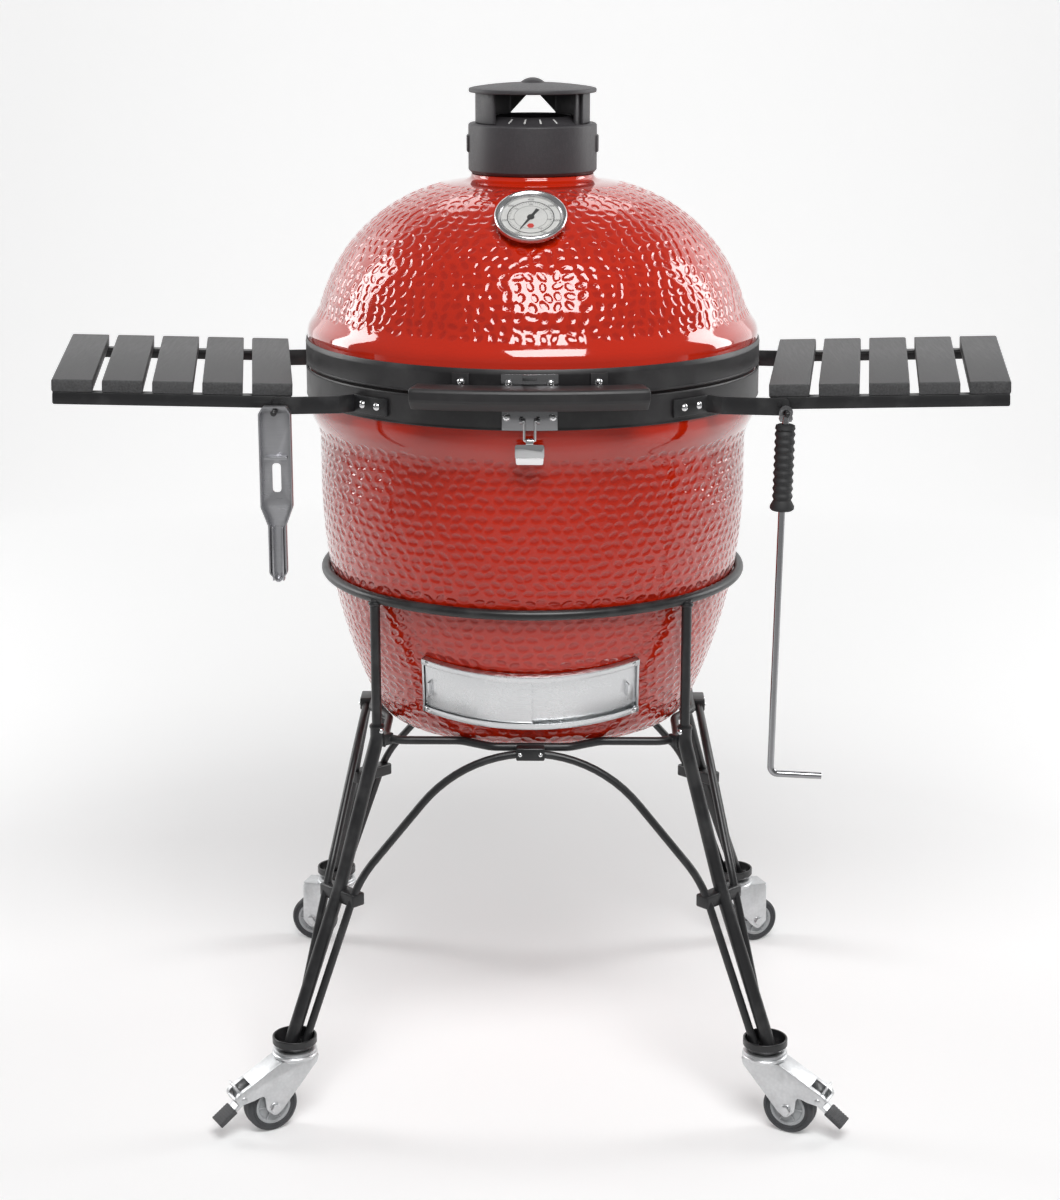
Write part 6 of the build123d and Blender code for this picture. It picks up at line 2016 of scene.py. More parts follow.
# ---------------------------------------------------------------- top vent
@dataclass
class TopVent:
    """Cast collar on the neck and the turning cap over it."""

    neck_z: float = 1108.3
    flue_r: float = 52.0
    collar_r: float = 77.0
    collar_top: float = 1167.0
    chamfer: float = 4.0
    lug_h: float = 20.0
    cap_r: float = 68.5
    wall: float = 3.0
    roof_r: float = 76.3
    roof_z: float = 1203.0
    roof_t: float = 5.0
    crown: float = 6.5
    button_r: float = 15.0
    total: float = 1220.0
    cap_turn: float = 10.0
    window: float = 101.0
    pivot_r: float = 4.0
    cone_r: float = 47.0
    cone_h: float = 8.5
    scale: Tuple[float, ...] = (-117.0, -98.5, -80.0, -61.0)
    sill: float = 7.5
    rear_low: float = 28.0
    rear_high: float = 7.0

    def collar(self) -> None:
        """Makes the collar, its side lugs, inner sleeves, spider and scale marks."""
        low, top = self.neck_z, self.collar_top
        sleeve = self.cap_r - self.wall - 0.6
        outline = [
            (self.flue_r, low), (self.collar_r - self.chamfer, low), (self.collar_r, low + self.chamfer),
            (self.collar_r, top - 2)
        ]
        outline += [
            (self.collar_r - 2, top), (sleeve, top), (self.cone_r, top + self.cone_h),
            (self.cone_r - 2.0, top + self.cone_h), (self.flue_r, top - 5)
        ]
        form = Form().lathe(soften(outline, 1.6, 3), 128)
        lug = oblong((self.collar_r - 3, self.collar_r + 2.2), (top - self.lug_h - 14, top - 14))
        for side in (0, 180):
            form.lathe(soften(lug, 1.4, 3), 10, None, side - 11, 22, 0.8)
            form.strip((sleeve - 3, sleeve), (top - 5, self.roof_z - 0.6), 24, side - 38, 76, 0.5)
        for i in range(3):
            form.block((8.0, sleeve - 3), (-2.5, 2.5), (top - 22, top - 16), shifted(turn=90 + 120 * i), 0.8)
        form.tube(Matrix(), self.pivot_r + 0.05, 9.0, top - 26, top - 16, 28, 0.6)
        piece("vent_collar_cast", form, VENT_CAST, "lid", "vent_collar")
        tick = Form().block((-5.0, 5.0), (-1.0, 1.0), (-0.1, 0.3), None, 0.12, 1).done("scale tick")
        slope = atan2(self.cone_h, sleeve - self.cone_r)
        middle = shifted((sleeve + self.cone_r) / 2, 0, top + self.cone_h / 2)
        middle = middle @ Matrix.Rotation(slope, 4, "Y")
        places = [shifted(turn=a) @ middle for a in self.scale]
        copies("vent_scale", tick, places, MARK_PAINT, "lid", "vent_collar", "vent_black")

    def cap(self) -> None:
        """Makes the cap: a wall open at the front and back, a domed roof and a button."""
        turned = shifted(turn=self.cap_turn)
        low = self.collar_top + 0.4
        inner, outer = self.cap_r - self.wall, self.cap_r
        section = oblong((inner, outer), (low, self.roof_z + 1))
        half = self.window / 2
        back = half_angle(self.rear_low, self.cap_r)
        rear = 90 - self.cap_turn
        form = Form()
        for start, stop in ((-90 + half, rear - back), (rear + back, 270 - half)):
            form.lathe(soften(section, 0.8, 2), 36, turned, start, stop - start, 0.6)
        for z in ((low, low + self.sill), (self.roof_z - 6.5, self.roof_z + 1)):
            form.strip((inner, outer), z, 16, rear - back - 0.5, 2 * back + 1, 0.0, turned)
        for side in (-1, 1):
            self.web(form, side, low + self.sill, self.roof_z - 6.0, inner + 0.9, outer)
        crown_r = (self.roof_r ** 2 + self.crown ** 2) / (2 * self.crown)
        top = self.roof_z + self.roof_t
        outline = [(0, self.roof_z), (self.roof_r - 1.2, self.roof_z)]
        outline += arc((self.roof_r - 1.2, self.roof_z + 1.2), 1.2, -70, 0, 3)
        outline += arc((self.roof_r - 1.8, top - 1.8), 1.8, 0, 80, 4)
        for i in range(1, 15):
            r = self.roof_r * (1 - i / 15) - 0.4
            outline.append((max(r, 0.0), top + self.crown - crown_r + sqrt(crown_r ** 2 - r ** 2)))
        outline.append((0, top + self.crown))
        form.lathe(outline, 128, turned)
        knob = [(0, top + 2), (self.button_r, top + 2), (self.button_r, top + 6.0)]
        rise = self.total - top - 6.0
        dome = (self.button_r ** 2 + rise ** 2) / (2 * rise)
        edge = asin(min(1.0, self.button_r / dome))
        knob += [(dome * sin(a), self.total - dome + dome * cos(a)) for a in np.linspace(edge, 0.0, 9)]
        form.lathe(knob, 48, turned)
        form.rod((0, 0, self.collar_top - 27.5), (0, 0, self.collar_top - 15.0), self.pivot_r - 0.15, 20)
        piece("vent_cap_cast", form, VENT_CAST, "vent_cap", "vent_cap")

    def web(self, form: Form, side: int, low: float, high: float, inner: float, outer: float) -> None:
        """Adds the sloping wall on one side of the rear window.

        Args:
            form: The form that it goes into.
            side: -1 or 1.
            low: Sill height.
            high: Head height.
            inner: Inner radius.
            outer: Outer radius.
        """
        steps = 8
        verts: List[Point3] = []
        for i in range(steps + 1):
            z = low + (high - low) * i / steps
            edge = self.rear_low + (self.rear_high - self.rear_low) * i / steps
            for radius in (inner, outer):
                near = 90 - side * half_angle(edge, radius)
                far = 90 - side * (half_angle(self.rear_low, self.cap_r) + 0.6)
                for heading in (near, far):
                    a = radians(heading)
                    verts.append((radius * cos(a), radius * sin(a), z))
        faces: List[Tuple[int, ...]] = [(0, 1, 3, 2), tuple(4 * steps + k for k in (0, 2, 3, 1))]
        for i in range(steps):
            a, b = 4 * i, 4 * i + 4
            for p, q in ((0, 1), (1, 3), (3, 2), (2, 0)):
                faces.append((a + p, a + q, b + q, b + p))
        form.add(verts, faces)

    def build(self) -> None:
        """Makes the collar and the cap."""
        self.collar()
        self.cap()


# ---------------------------------------------------------------- draft door
@dataclass
class DraftDoor:
    """Curved stainless frame low on the bowl, with two sliding doors."""

    z: float = 513.5
    half_deg: float = 32.0
    height: float = 77.0
    standoff: float = 0.95
    lip: float = 8.0
    sheet: float = 1.5
    slip: float = 0.6
    hole: Point2 = (170.0, 40.0)
    belly: Tuple[float, float, float] = (260.5, 740.0, 655.0)
    screw: Tuple[float, float, int] = (3.4, 1.8, 18)

    def __post_init__(self) -> None:
        """Works out the frame's own axis and layers."""
        belly_r, belly_z, side = self.belly
        fall = asin((belly_z - self.z) / side)
        face = belly_r - side * (1 - cos(fall))
        self.arc_r = face / cos(fall)
        origin = (0, -face + self.arc_r * cos(fall), self.z + self.arc_r * sin(fall))
        self.place = frame_at(origin, (0, -sin(fall), cos(fall)))
        self.back = self.arc_r + self.standoff
        self.right_in = self.back + self.sheet + self.slip
        self.left_in = self.right_in + self.sheet + self.slip
        self.lip_in = self.left_in + self.sheet + self.slip
        self.lip_out = self.lip_in + self.sheet

    def strip(
        self, form: Form, radii: Point2, z: Point2, start: float, stop: float, bevel: float = 0.35
    ) -> None:
        """Adds a curved strip between two headings from the front.

        Args:
            form: The form that it goes into.
            radii: Its inner and outer radius.
            z: Its lower and upper edge.
            start: First heading.
            stop: Last heading.
            bevel: Edge bevel.
        """
        steps = max(2, int(abs(stop - start) / 1.6))
        form.strip(radii, z, steps, -90 + start, stop - start, bevel, self.place)

    def frame(self) -> None:
        """Makes the back plate round its hole, and the folded channels."""
        form = Form()
        half, deg = self.height / 2, self.half_deg
        hole_deg = half_angle(self.hole[0] / 2, self.arc_r)
        hole_half = self.hole[1] / 2
        sheet = (self.back, self.back + self.sheet)
        self.strip(form, sheet, (hole_half, half), -deg, deg)
        self.strip(form, sheet, (-half, -hole_half), -deg, deg)
        self.strip(form, sheet, (-hole_half - 0.5, hole_half + 0.5), -deg, -hole_deg)
        self.strip(form, sheet, (-hole_half - 0.5, hole_half + 0.5), hole_deg, deg)
        for side in (-1, 1):
            self.strip(form, (self.back, self.lip_out), between(side, half, half - self.sheet), -deg, deg)
            lip = between(side, half, half - self.lip)
            self.strip(form, (self.lip_in, self.lip_out), lip, -deg, deg, 0.5)
            ends = between(side, deg, deg - 0.6)
            self.strip(form, (self.back, self.lip_in + 0.5), (-half, half), *ends, 0.3)
        piece("draft_frame_sheet", form, STAINLESS, "cart", "draft_frame")
        places = []
        for side, level in ((-1, -1), (-1, 1), (1, -1), (1, 1)):
            spot = on_wall(self.lip_out - 0.05, -90 + side * (deg - 1.8), level * (half - self.lip / 2))
            places.append(self.place @ spot)
        copies(
            "draft_frame_screws", screw_head(*self.screw), places, BOLT_STEEL, "cart", "draft_frame",
            "bolt_steel"
        )

    def doors(self) -> None:
        """Makes both sliding doors, each with a punched finger tab."""
        half = self.height / 2 - self.sheet - self.slip
        reach = self.half_deg - 1.0
        for name, radius, start, stop in (
            ("left", self.left_in, -reach, 0.6), ("right", self.right_in, -0.6, reach)
        ):
            form = Form()
            face = radius + self.sheet
            self.strip(form, (radius, face), (-half, half), start, stop)
            if name == "left":
                self.strip(form, (face - 0.4, face + 5.2), (-9, 9), start + 1.3, start + 1.9, 0.25)
                self.strip(form, (face - 0.2, face + 0.25), (-12, 12), start + 2.1, start + 3.6, 0.1)
                self.strip(form, (face - 0.2, face + 0.35), (-half, half), stop - 0.35, stop - 0.02, 0.15)
            else:
                self.strip(form, (face - 0.4, self.lip_out + 2.5), (-9, 9), stop - 3.1, stop - 2.5, 0.25)
            node = "draft_door_" + name
            piece(node + "_sheet", form, STAINLESS, node, node)

    def build(self) -> None:
        """Makes the frame and its doors."""
        self.frame()
        self.doors()


# ---------------------------------------------------------------- side shelves
@dataclass
class SideShelf:
    """Slatted shelf on two angle rails that folds down about pins in its arms."""

    side: Side
    slats: int = 5
    slat_w: float = 46.0
    gap: float = 10.5
    slat_t: float = 14.5
    depth: float = 345.0
    inner: Point3 = (272.0, -208.0, 886.5)
    yaw: float = 7.0
    rise: float = 2.2
    rail_h: float = 14.0
    rail_w: float = 16.0
    rail_t: float = 3.0
    seat: float = 0.3
    pivot_x: float = 12.0
    pin_r: float = 3.0
    screw: Tuple[float, float, int] = (4.0, 2.2, 18)

    def place(self) -> Matrix:
        """The shelf's place: origin at its front inner corner, +X outboard, +Y to the rear or the front."""
        yaw, rise = radians(self.yaw), radians(self.rise)
        side = self.side.value
        out = Vector((side * cos(yaw) * cos(rise), -sin(yaw) * cos(rise), sin(rise)))
        back = Vector((side * sin(yaw), cos(yaw), 0))
        up = out.cross(back) if side > 0 else back.cross(out)
        return frame_at((side * self.inner[0], self.inner[1], self.inner[2]), up, out)

    def rear(self, y: float) -> float:
        """The place's Y for a distance to the rear."""
        return y * self.side.value

    def build(self) -> None:
        """Makes the slats, rails and screws."""
        word = self.side.name.lower()
        body = "shelf_" + word
        outline = soften(oblong((0, self.slat_w), (-self.slat_t, 0)), 2.6, 4)
        along = Matrix(((1, 0, 0, 0), (0, 0, -1, 0), (0, 1, 0, 0), (0, 0, 0, 1)))
        board = Form().plate(outline, -self.depth / 2, self.depth / 2, along, 0.9, (), 2).done("slat", 50)
        pitch = self.slat_w + self.gap
        places = [self.place() @ shifted(i * pitch, self.rear(self.depth / 2)) for i in range(self.slats)]
        copies(
            body + "_boards", board, places, SLAT, body, "shelf_slats_" + word, "slat_dark",
            5 + self.side.value
        )
        self.rails(word, body, pitch)

    def rails(self, word: str, body: str, pitch: float) -> None:
        """Makes both angle rails and the screws that hold the slats.

        Args:
            word: left or right.
            body: The shelf's body.
            pitch: Distance between slats.
        """
        top = -self.slat_t - self.seat
        width = self.slats * self.slat_w + (self.slats - 1) * self.gap
        form = Form()
        screws = []
        for front, leg in ((0.0, 1), (self.depth, -1)):
            y = between(self.side.value, front, front + leg * self.rail_t)
            corners = soften(oblong((1.0, width - 1.0), (top - self.rail_h, top)), 2.5, 3)
            upright = frame_at((0, y[1], 0), (0, -1, 0))
            form.plate(corners, 0.0, self.rail_t, self.place() @ upright, 0.5)
            flange = between(self.side.value, front + leg * (self.rail_t - 0.2), front + leg * self.rail_w)
            form.block((1.0, width - 1.0), flange, (top - self.rail_t, top), self.place(), 0.5)
            for i in range(self.slats):
                x = i * pitch + self.slat_w / 2
                lane = self.rear(front + leg * (self.rail_w / 2 + 1.5))
                spot = self.place() @ shifted(x, lane, top - self.rail_t)
                screws.append(spot @ Matrix.Rotation(pi, 4, "X"))
        piece(body + "_angle_rails", form, CART_BLACK, body, "shelf_rails_" + word)
        copies(
            body + "_screws", screw_head(*self.screw), screws, BOLT_STEEL, body, "shelf_rails_" + word,
            "bolt_steel"
        )


@dataclass
class ShelfArms(OnBand):
    """Four flat arms on the base band that carry the shelves, and a peg on each front one."""

    z: float = 861.5
    height: float = 20.0
    thick: float = 3.0
    end: float = 24.0
    seat: float = 0.3
    over: float = 3.2
    bolts_front: Point2 = (-51.0, -46.2)
    bolts_rear: Point2 = (32.4, 37.4)
    peg_r: float = 2.5
    peg_l: float = 24.0
    peg_drop: float = 4.0
    elbow: float = -52.0

    def strap(self, form: Form, points: Sequence[Point2], round_end: float) -> None:
        """Adds a flat bar on edge along a plan line, with a rounded free end.

        Args:
            form: The form that it goes into.
            points: The plan line, root first.
            round_end: Corner radius of the free end.
        """
        low, high = self.z - self.height / 2, self.z + self.height / 2
        last = len(points) - 2
        for i, (a, b) in enumerate(zip(points, points[1:])):
            way = Vector((b[0] - a[0], b[1] - a[1], 0))
            place = frame_at((a[0], a[1], 0), (way.y, -way.x, 0), way)
            up = (place.to_3x3() @ Vector((0, 1, 0))).z
            corners = oblong((-0.8, way.length + (0.0 if i == last else 0.8)), (low, high))
            if i == last:
                eased = soften(corners, round_end, 5)
                corners = [c for c in eased if c[0] > way.length / 2] + [(-0.8, high), (-0.8, low)]
            corners = [(x, y * up) for x, y in corners]
            form.plate(corners, -self.thick / 2, self.thick / 2, place, 0.4)

    def build(self) -> None:
        """Makes the arms, their pins and the pegs."""
        form = Form()
        low, high = self.z - self.height / 2, self.z + self.height / 2
        middle = (self.pad_in + self.pad_out) / 2
        for side in Side:
            shelf = SideShelf(side)
            place = shelf.place()
            for front, local_y, face, bolts in (
                (True, 0.0, -1, self.bolts_front), (False, shelf.depth, 1, self.bolts_rear)
            ):
                lane = local_y + face * (self.seat + self.thick / 2)
                tip = place @ Vector((self.end, shelf.rear(lane), 0))
                near = place @ Vector((self.elbow, shelf.rear(lane), 0))
                start, stop = bolts[0] - self.over, bolts[1] + self.over
                leave = radians(stop if front else start)
                foot = (side.value * middle * cos(leave), middle * sin(leave))
                if side is Side.LEFT:
                    start, stop = 180 - stop, 180 - start
                self.pad(form, (low, high), 10, start, stop - start)
                self.strap(form, [foot, (near.x, near.y), (tip.x, tip.y)], 7.0)
                pin_z = -shelf.slat_t - shelf.seat - shelf.rail_h / 2
                inner_lane = lane - face * (self.thick / 2 + shelf.rail_t + 5.0)
                a = place @ Vector((shelf.pivot_x, shelf.rear(lane + face * 2.6), pin_z))
                b = place @ Vector((shelf.pivot_x, shelf.rear(inner_lane), pin_z))
                form.rod(a, b, shelf.pin_r, 20, 0.5)
                if front:
                    self.peg(form, shelf)
        piece("shelf_arm_straps", form, CART_BLACK, "cart", "shelf_arms")

    def peg(self, form: Form, shelf: SideShelf) -> None:
        """Adds the tool peg with its knob.

        Args:
            form: The form that it goes into.
            shelf: The shelf whose arm carries it.
        """
        lane = -(self.seat + self.thick)
        root = shelf.place() @ Vector((self.end - 4.0, shelf.rear(lane), 0))
        z = self.z - self.peg_drop
        form.rod((root.x, root.y + 1.5, z), (root.x, root.y - self.peg_l, z), self.peg_r, 18)
        form.ball((root.x, root.y - self.peg_l, z), self.peg_r + 1.2)


@dataclass
class HangingTools:
    """Grate gripper on the left peg and ash tool on the right one."""

    gripper_w: float = 37.0
    gripper_d: float = 12.0
    peg_r: float = 2.5
    play: float = 0.4
    eye_r: float = 8.0
    lobes: int = 9
    wave: int = 6
    rod_r: float = 4.0
    grip_r: float = 13.0
    grip_l: float = 109.0
    foot_l: float = 60.0
    slant: float = 7.0
    sheet: float = 1.6

    def gripper(self) -> None:
        """Makes the folded gripper: a channel handle with a cross slot and two narrow jaws."""
        low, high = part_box("grate_gripper")
        x = (low[0] + high[0]) / 2 / MM
        y = (low[1] + high[1]) / 2 / MM
        bottom, top = low[2] / MM, high[2] / MM
        half = self.gripper_w / 2
        neck = top - 0.62 * (top - bottom)
        jaw = 0.56 * half
        right = [
            (half - 5, top), (half, top - 8), (half, neck + 10), (jaw, neck - 12), (jaw, bottom + 10),
            (jaw - 8, bottom)
        ]
        outline = soften([(-half + 5, top)] + right + [(-x, z) for x, z in right[:0:-1]], 4.0, 4)
        face = frame_at((x, y + self.gripper_d / 2, 0), (0, -1, 0))
        hole = arc((0, top - 6.0), self.peg_r + self.play, 0, 345, 23)
        slot = soften(oblong((-5, 5), (neck + 26, neck + 60)), 4.5, 4)
        form = Form().plate(outline, 0.0, self.sheet, face, 0.35, (hole, slot))
        back = shifted(x, y + self.gripper_d / 2)
        inner = self.inset(outline, self.sheet)
        form.plate(outline, self.sheet * 0.5, self.gripper_d, face, 0.3, (inner,))
        for side in (-1, 1):
            rib = side * jaw * 0.55
            form.block(
                (rib - 1.1, rib + 1.1), (-self.gripper_d + 1, 0.5), (bottom + 1.0, neck - 14), back, 0.5
            )
        form.block(
            (-half * 0.72, half * 0.72), (-self.gripper_d + 2.0, 0.5), (neck + 66, neck + 69), back, 0.5
        )
        piece("gripper_steel", form, FOLDED, "grate_gripper", "grate_gripper")

    @staticmethod
    def inset(outline: Sequence[Point2], width: float) -> List[Point2]:
        """Outline drawn in by a width."""
        count = len(outline)
        area = sum(a[0] * b[1] - b[0] * a[1] for a, b in zip(outline, list(outline[1:]) + [outline[0]]))
        way = 1.0 if area > 0 else -1.0
        inner = []
        for i, here in enumerate(outline):
            before, after = Vector(outline[i - 1]), Vector(outline[(i + 1) % count])
            along = (after - before).normalized()
            inner.append((here[0] - way * along.y * width, here[1] + way * along.x * width))
        return inner

    def ash_tool(self) -> None:
        """Makes the ash tool: flat eye, lobed rubber grip, long rod and bent foot."""
        low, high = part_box("ash_tool_rod")
        x = sum(corner[0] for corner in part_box("ash_tool_grip")) / 2 / MM
        y = (low[1] + high[1]) / 2 / MM
        peg_z = high[2] / MM - self.eye_r
        rod_top = peg_z - 4.5
        bottom = low[2] / MM + self.rod_r + 3.0
        lean = atan2(self.slant, rod_top - bottom)
        x += (self.grip_l + 9.0) / 2 * sin(lean)
        eye = arc((0, peg_z), self.eye_r, -25, 205, 22)
        eye += [
            (-self.eye_r, rod_top - 3), (-6.5, rod_top - 6), (6.5, rod_top - 6), (self.eye_r, rod_top - 3)
        ]
        hole = arc((0, peg_z), self.peg_r + self.play, 0, 345, 23)
        face = frame_at((x, y + 1.5, 0), (0, -1, 0))
        plate = Form().plate(eye, 0.0, 3.0, face, 0.4, (hole,)).done("eye")
        points = [(x, y, rod_top), (x - self.slant, y, bottom), (x - self.slant + self.foot_l, y, bottom - 3)]
        rod = BARS.along("rod", points, self.rod_r, DARK_STEEL, [9.0], sides=20, steps=10)
        piece("ash_tool_steel", [plate, rod], DARK_STEEL, "ash_tool", "ash_tool_rod")
        outline = [
            (self.rod_r + 0.05, -self.grip_l), (self.grip_r - 1.0, -self.grip_l),
            (self.grip_r + 1.0, 2 - self.grip_l), (self.grip_r + 1.0, 5 - self.grip_l),
            (self.grip_r - 1.6, 10 - self.grip_l)
        ]
        count = self.lobes * self.wave
        for i in range(count + 1):
            z = 12 - self.grip_l + (self.grip_l - 28) * i / count
            outline.append((self.grip_r - 2.0 + 0.9 * sin(i * 2 * pi / self.wave - pi / 2), z))
        outline += [
            (self.grip_r - 1.2, -14), (self.grip_r - 2.2, -10.0), (self.grip_r - 4.5, -9.0),
            (self.rod_r + 0.05, -9.0)
        ]
        turned = Matrix.Translation((x, y, rod_top)) @ Matrix.Rotation(lean, 4, "Y")
        piece(
            "ash_tool_handle", Form().lathe(outline, 40, turned), RUBBER, "ash_tool", "ash_tool_grip",
        )

    def build(self) -> None:
        """Makes both tools."""
        self.gripper()
        self.ash_tool()


# ---------------------------------------------------------------- cart
@dataclass
class Cart:
    """Round-bar cradle on four bent legs, with four arches between them."""

    bar_r: float = 6.0
    ring_z: float = 626.0
    ring_steps: int = 96
    belly: Tuple[float, float, float] = (260.5, 740.0, 655.0)
    bowl_foot: Tuple[float, float] = (440.0, 38.0)
    seat: float = 0.3
    post: float = 184.0
    tube_r: float = 8.2
    tube_top: float = 470.0
    socket: float = 11.0
    knee: float = 452.0
    shin: Point2 = (227.0, 284.0)
    leg_foot: Point2 = (288.5, 94.0)
    leg_bends: Point2 = (40.0, 300.0)
    cup: float = 281.0
    cup_floor: float = 98.5
    cup_wall: float = 2.5
    cup_r: float = 26.5
    cup_top: float = 113.0
    arch_r: float = 4.8
    lean: float = 12.0
    arch_root: float = 109.0
    arch_line: Tuple[Point2, ...] = ((271.6, -16.0), (204.0, 190.0), (0.0, 437.0))
    arch_bends: Tuple[float, float, float] = (150.0, 167.0, 150.0)
    hoop_r: float = 5.0
    hoop_side: float = 176.0
    hoop_bulge: float = 200.0
    hoop_jog: Point2 = (84.0, 46.0)
    hoop_bend: float = 26.0
    clamp_w: float = 34.0
    clamp_screw: Tuple[float, float, int] = (2.65, 1.6, 16)
    cross_bolt: Tuple[float, float, int] = (3.6, 2.4, 20)
    shin_clamp: float = 271.0

    def ring_r(self) -> float:
        """Radius of the ring that touches the bowl."""
        belly_r, belly_z, side = self.belly
        reach = side + self.bar_r + self.seat
        return belly_r - side + sqrt(reach ** 2 - (belly_z - self.ring_z) ** 2)

    def hoop_z(self) -> float:
        """Height of the cradle hoop under the bowl's rounded foot."""
        belly_r, belly_z, side = self.belly
        floor, corner = self.bowl_foot
        corner_z = floor + corner
        corner_r = belly_r - side + sqrt((side - corner) ** 2 - (belly_z - corner_z) ** 2)
        slope = atan2(self.hoop_bulge - self.hoop_side, self.hoop_jog[0] - self.hoop_jog[1])
        tangent = self.hoop_bend * tan(slope / 2)
        touch = hypot(self.hoop_jog[0] + tangent, self.hoop_side + self.hoop_bend) - self.hoop_bend
        reach = corner + self.hoop_r + self.seat
        return corner_z - sqrt(reach ** 2 - (touch - corner_r) ** 2)

    def ring(self) -> None:
        """Makes the top ring and its posts, with a weld round each joint."""
        radius = self.ring_r()
        turns = [2 * pi * i / self.ring_steps for i in range(self.ring_steps)]
        loop = [(radius * cos(a), radius * sin(a), self.ring_z) for a in turns]
        ring = BARS.along("ring", loop, self.bar_r, CART_BLACK, 0.0, True, 22, 1)
        posts = Form()
        for i in range(4):
            a = radians(45 + 90 * i)
            x, y = sqrt(2) * self.post * cos(a), sqrt(2) * self.post * sin(a)
            posts.rod((x, y, self.tube_top - self.socket), (x, y, self.ring_z), self.bar_r, 24)
            self.weld(posts, (x, y, self.ring_z - self.bar_r * 0.9), (0, 0, 1), self.bar_r)
            top = self.tube_top
            posts.tube(shifted(x, y), self.bar_r - 0.5, self.bar_r + 1.6, top + 0.1, top + 1.6, 28, 0.5)
        piece("cart_top_ring", [ring, posts.done("posts")], CART_BLACK, "cart", "cart_ring")

    def weld(self, form: Form, spot: Sequence[float], up: Sequence[float], radius: float) -> None:
        """Adds a small rippled weld collar round a bar.

        Args:
            form: The form that it goes into.
            spot: Its centre.
            up: The bar's direction.
            radius: The bar's radius.
        """
        ripple = ((-1.0, -3.0), (0.5, -2.6), (1.6, -1.2), (1.9, 0.4), (1.1, 2.0), (-1.0, 2.4))
        form.lathe([(radius + out, z) for out, z in ripple], 26, frame_at(spot, up, (0, 1, 0)))

    def hoop(self) -> None:
        """Makes the cradle hoop with its gussets."""
        z = self.hoop_z()
        wide, narrow = self.hoop_jog
        side = [(-wide, -self.hoop_side), (-narrow, -self.hoop_bulge), (narrow, -self.hoop_bulge)]
        side += [(wide, -self.hoop_side), (self.hoop_side, -self.hoop_side)]
        points = []
        for i in range(4):
            turned = Matrix.Rotation(pi / 2 * i, 3, "Z")
            points += [turned @ Vector((x, y, z)) for x, y in side]
        hoop = BARS.along("hoop", points, self.hoop_r, CART_BLACK, self.hoop_bend, True, 20, 8)
        corner = sqrt(2) * self.hoop_side - self.hoop_bend * (sqrt(2) - 1)
        tube = sqrt(2) * self.post - self.tube_r - self.seat
        gussets = Form()
        for i in range(4):
            turned = shifted(turn=45 + 90 * i)
            gussets.block((corner - 2, tube), (-2.5, 2.5), (z - 7, z + 7), turned, 0.9)
            gussets.block((corner - 6, corner + 6), (-3.6, 3.6), (z - 3.5, z + 3.5), turned, 2.2, 3)
            gussets.block((tube - 2.6, tube + 0.2), (-3.8, 3.8), (z - 8, z + 8), turned, 1.3, 3)
        piece(
            "cradle_hoop_bar", [hoop, gussets.done("gussets")], CART_BLACK, "cart", "cradle_hoop",
        )

    def arch_place(self) -> Matrix:
        """Leaning plane of the front arch: +X right, +Y up along it."""
        tilt = radians(self.lean)
        return frame_at((0, -self.cup, self.arch_root), (0, -cos(tilt), sin(tilt)))

    def leg_line(self, sx: int, sy: int) -> List[Point3]:
        """Centre line of a leg, cut where it stands in its cup."""
        floor = self.cup_floor + self.cup_wall + 0.35
        share = (self.shin[1] - floor) / (self.shin[1] - self.leg_foot[1])
        end = self.shin[0] + (self.leg_foot[0] - self.shin[0]) * share
        run = [(self.post, self.tube_top), (self.post, self.knee), self.shin, (end, floor)]
        return [(sx * q, sy * q, z) for q, z in run]

    def legs(self) -> None:
        """Makes the four legs and the four arches."""
        meshes = []
        welds = Form()
        for sx, sy in CORNERS:
            line = self.leg_line(sx, sy)
            meshes.append(
                BARS.along("leg", line, self.tube_r, CART_BLACK, self.leg_bends, sides=24, steps=14)
            )
            place, z = shifted(sx * self.post, sy * self.post), self.tube_top
            welds.tube(place, self.bar_r + 0.4, self.tube_r + 0.9, z - 3.0, z + 0.05, 28, 0.6)
        piece("leg_bars", meshes + [welds.done("collars")], CART_BLACK, "cart", "leg_tubes")
        meshes = []
        tilt = radians(self.lean)
        place = self.arch_place()
        low = (self.cup_floor + self.cup_wall + 0.35 - self.arch_root) / cos(tilt) + self.arch_r * tan(tilt)
        (foot_x, foot_s), (knee_x, knee_s), (_, peak_s) = self.arch_line
        cut = foot_x - (foot_x - knee_x) * (low - foot_s) / (knee_s - foot_s)
        line = [(-cut, low), (-knee_x, knee_s), (0, peak_s), (knee_x, knee_s), (cut, low)]
        for i in range(4):
            turned = Matrix.Rotation(pi / 2 * i, 4, "Z") @ place
            points = [turned @ Vector((x, s, 0)) for x, s in line]
            meshes.append(
                BARS.along("arch", points, self.arch_r, CART_BLACK, self.arch_bends, sides=18, steps=22)
            )
        piece("arch_bars", meshes, CART_BLACK, "cart", "leg_arches")

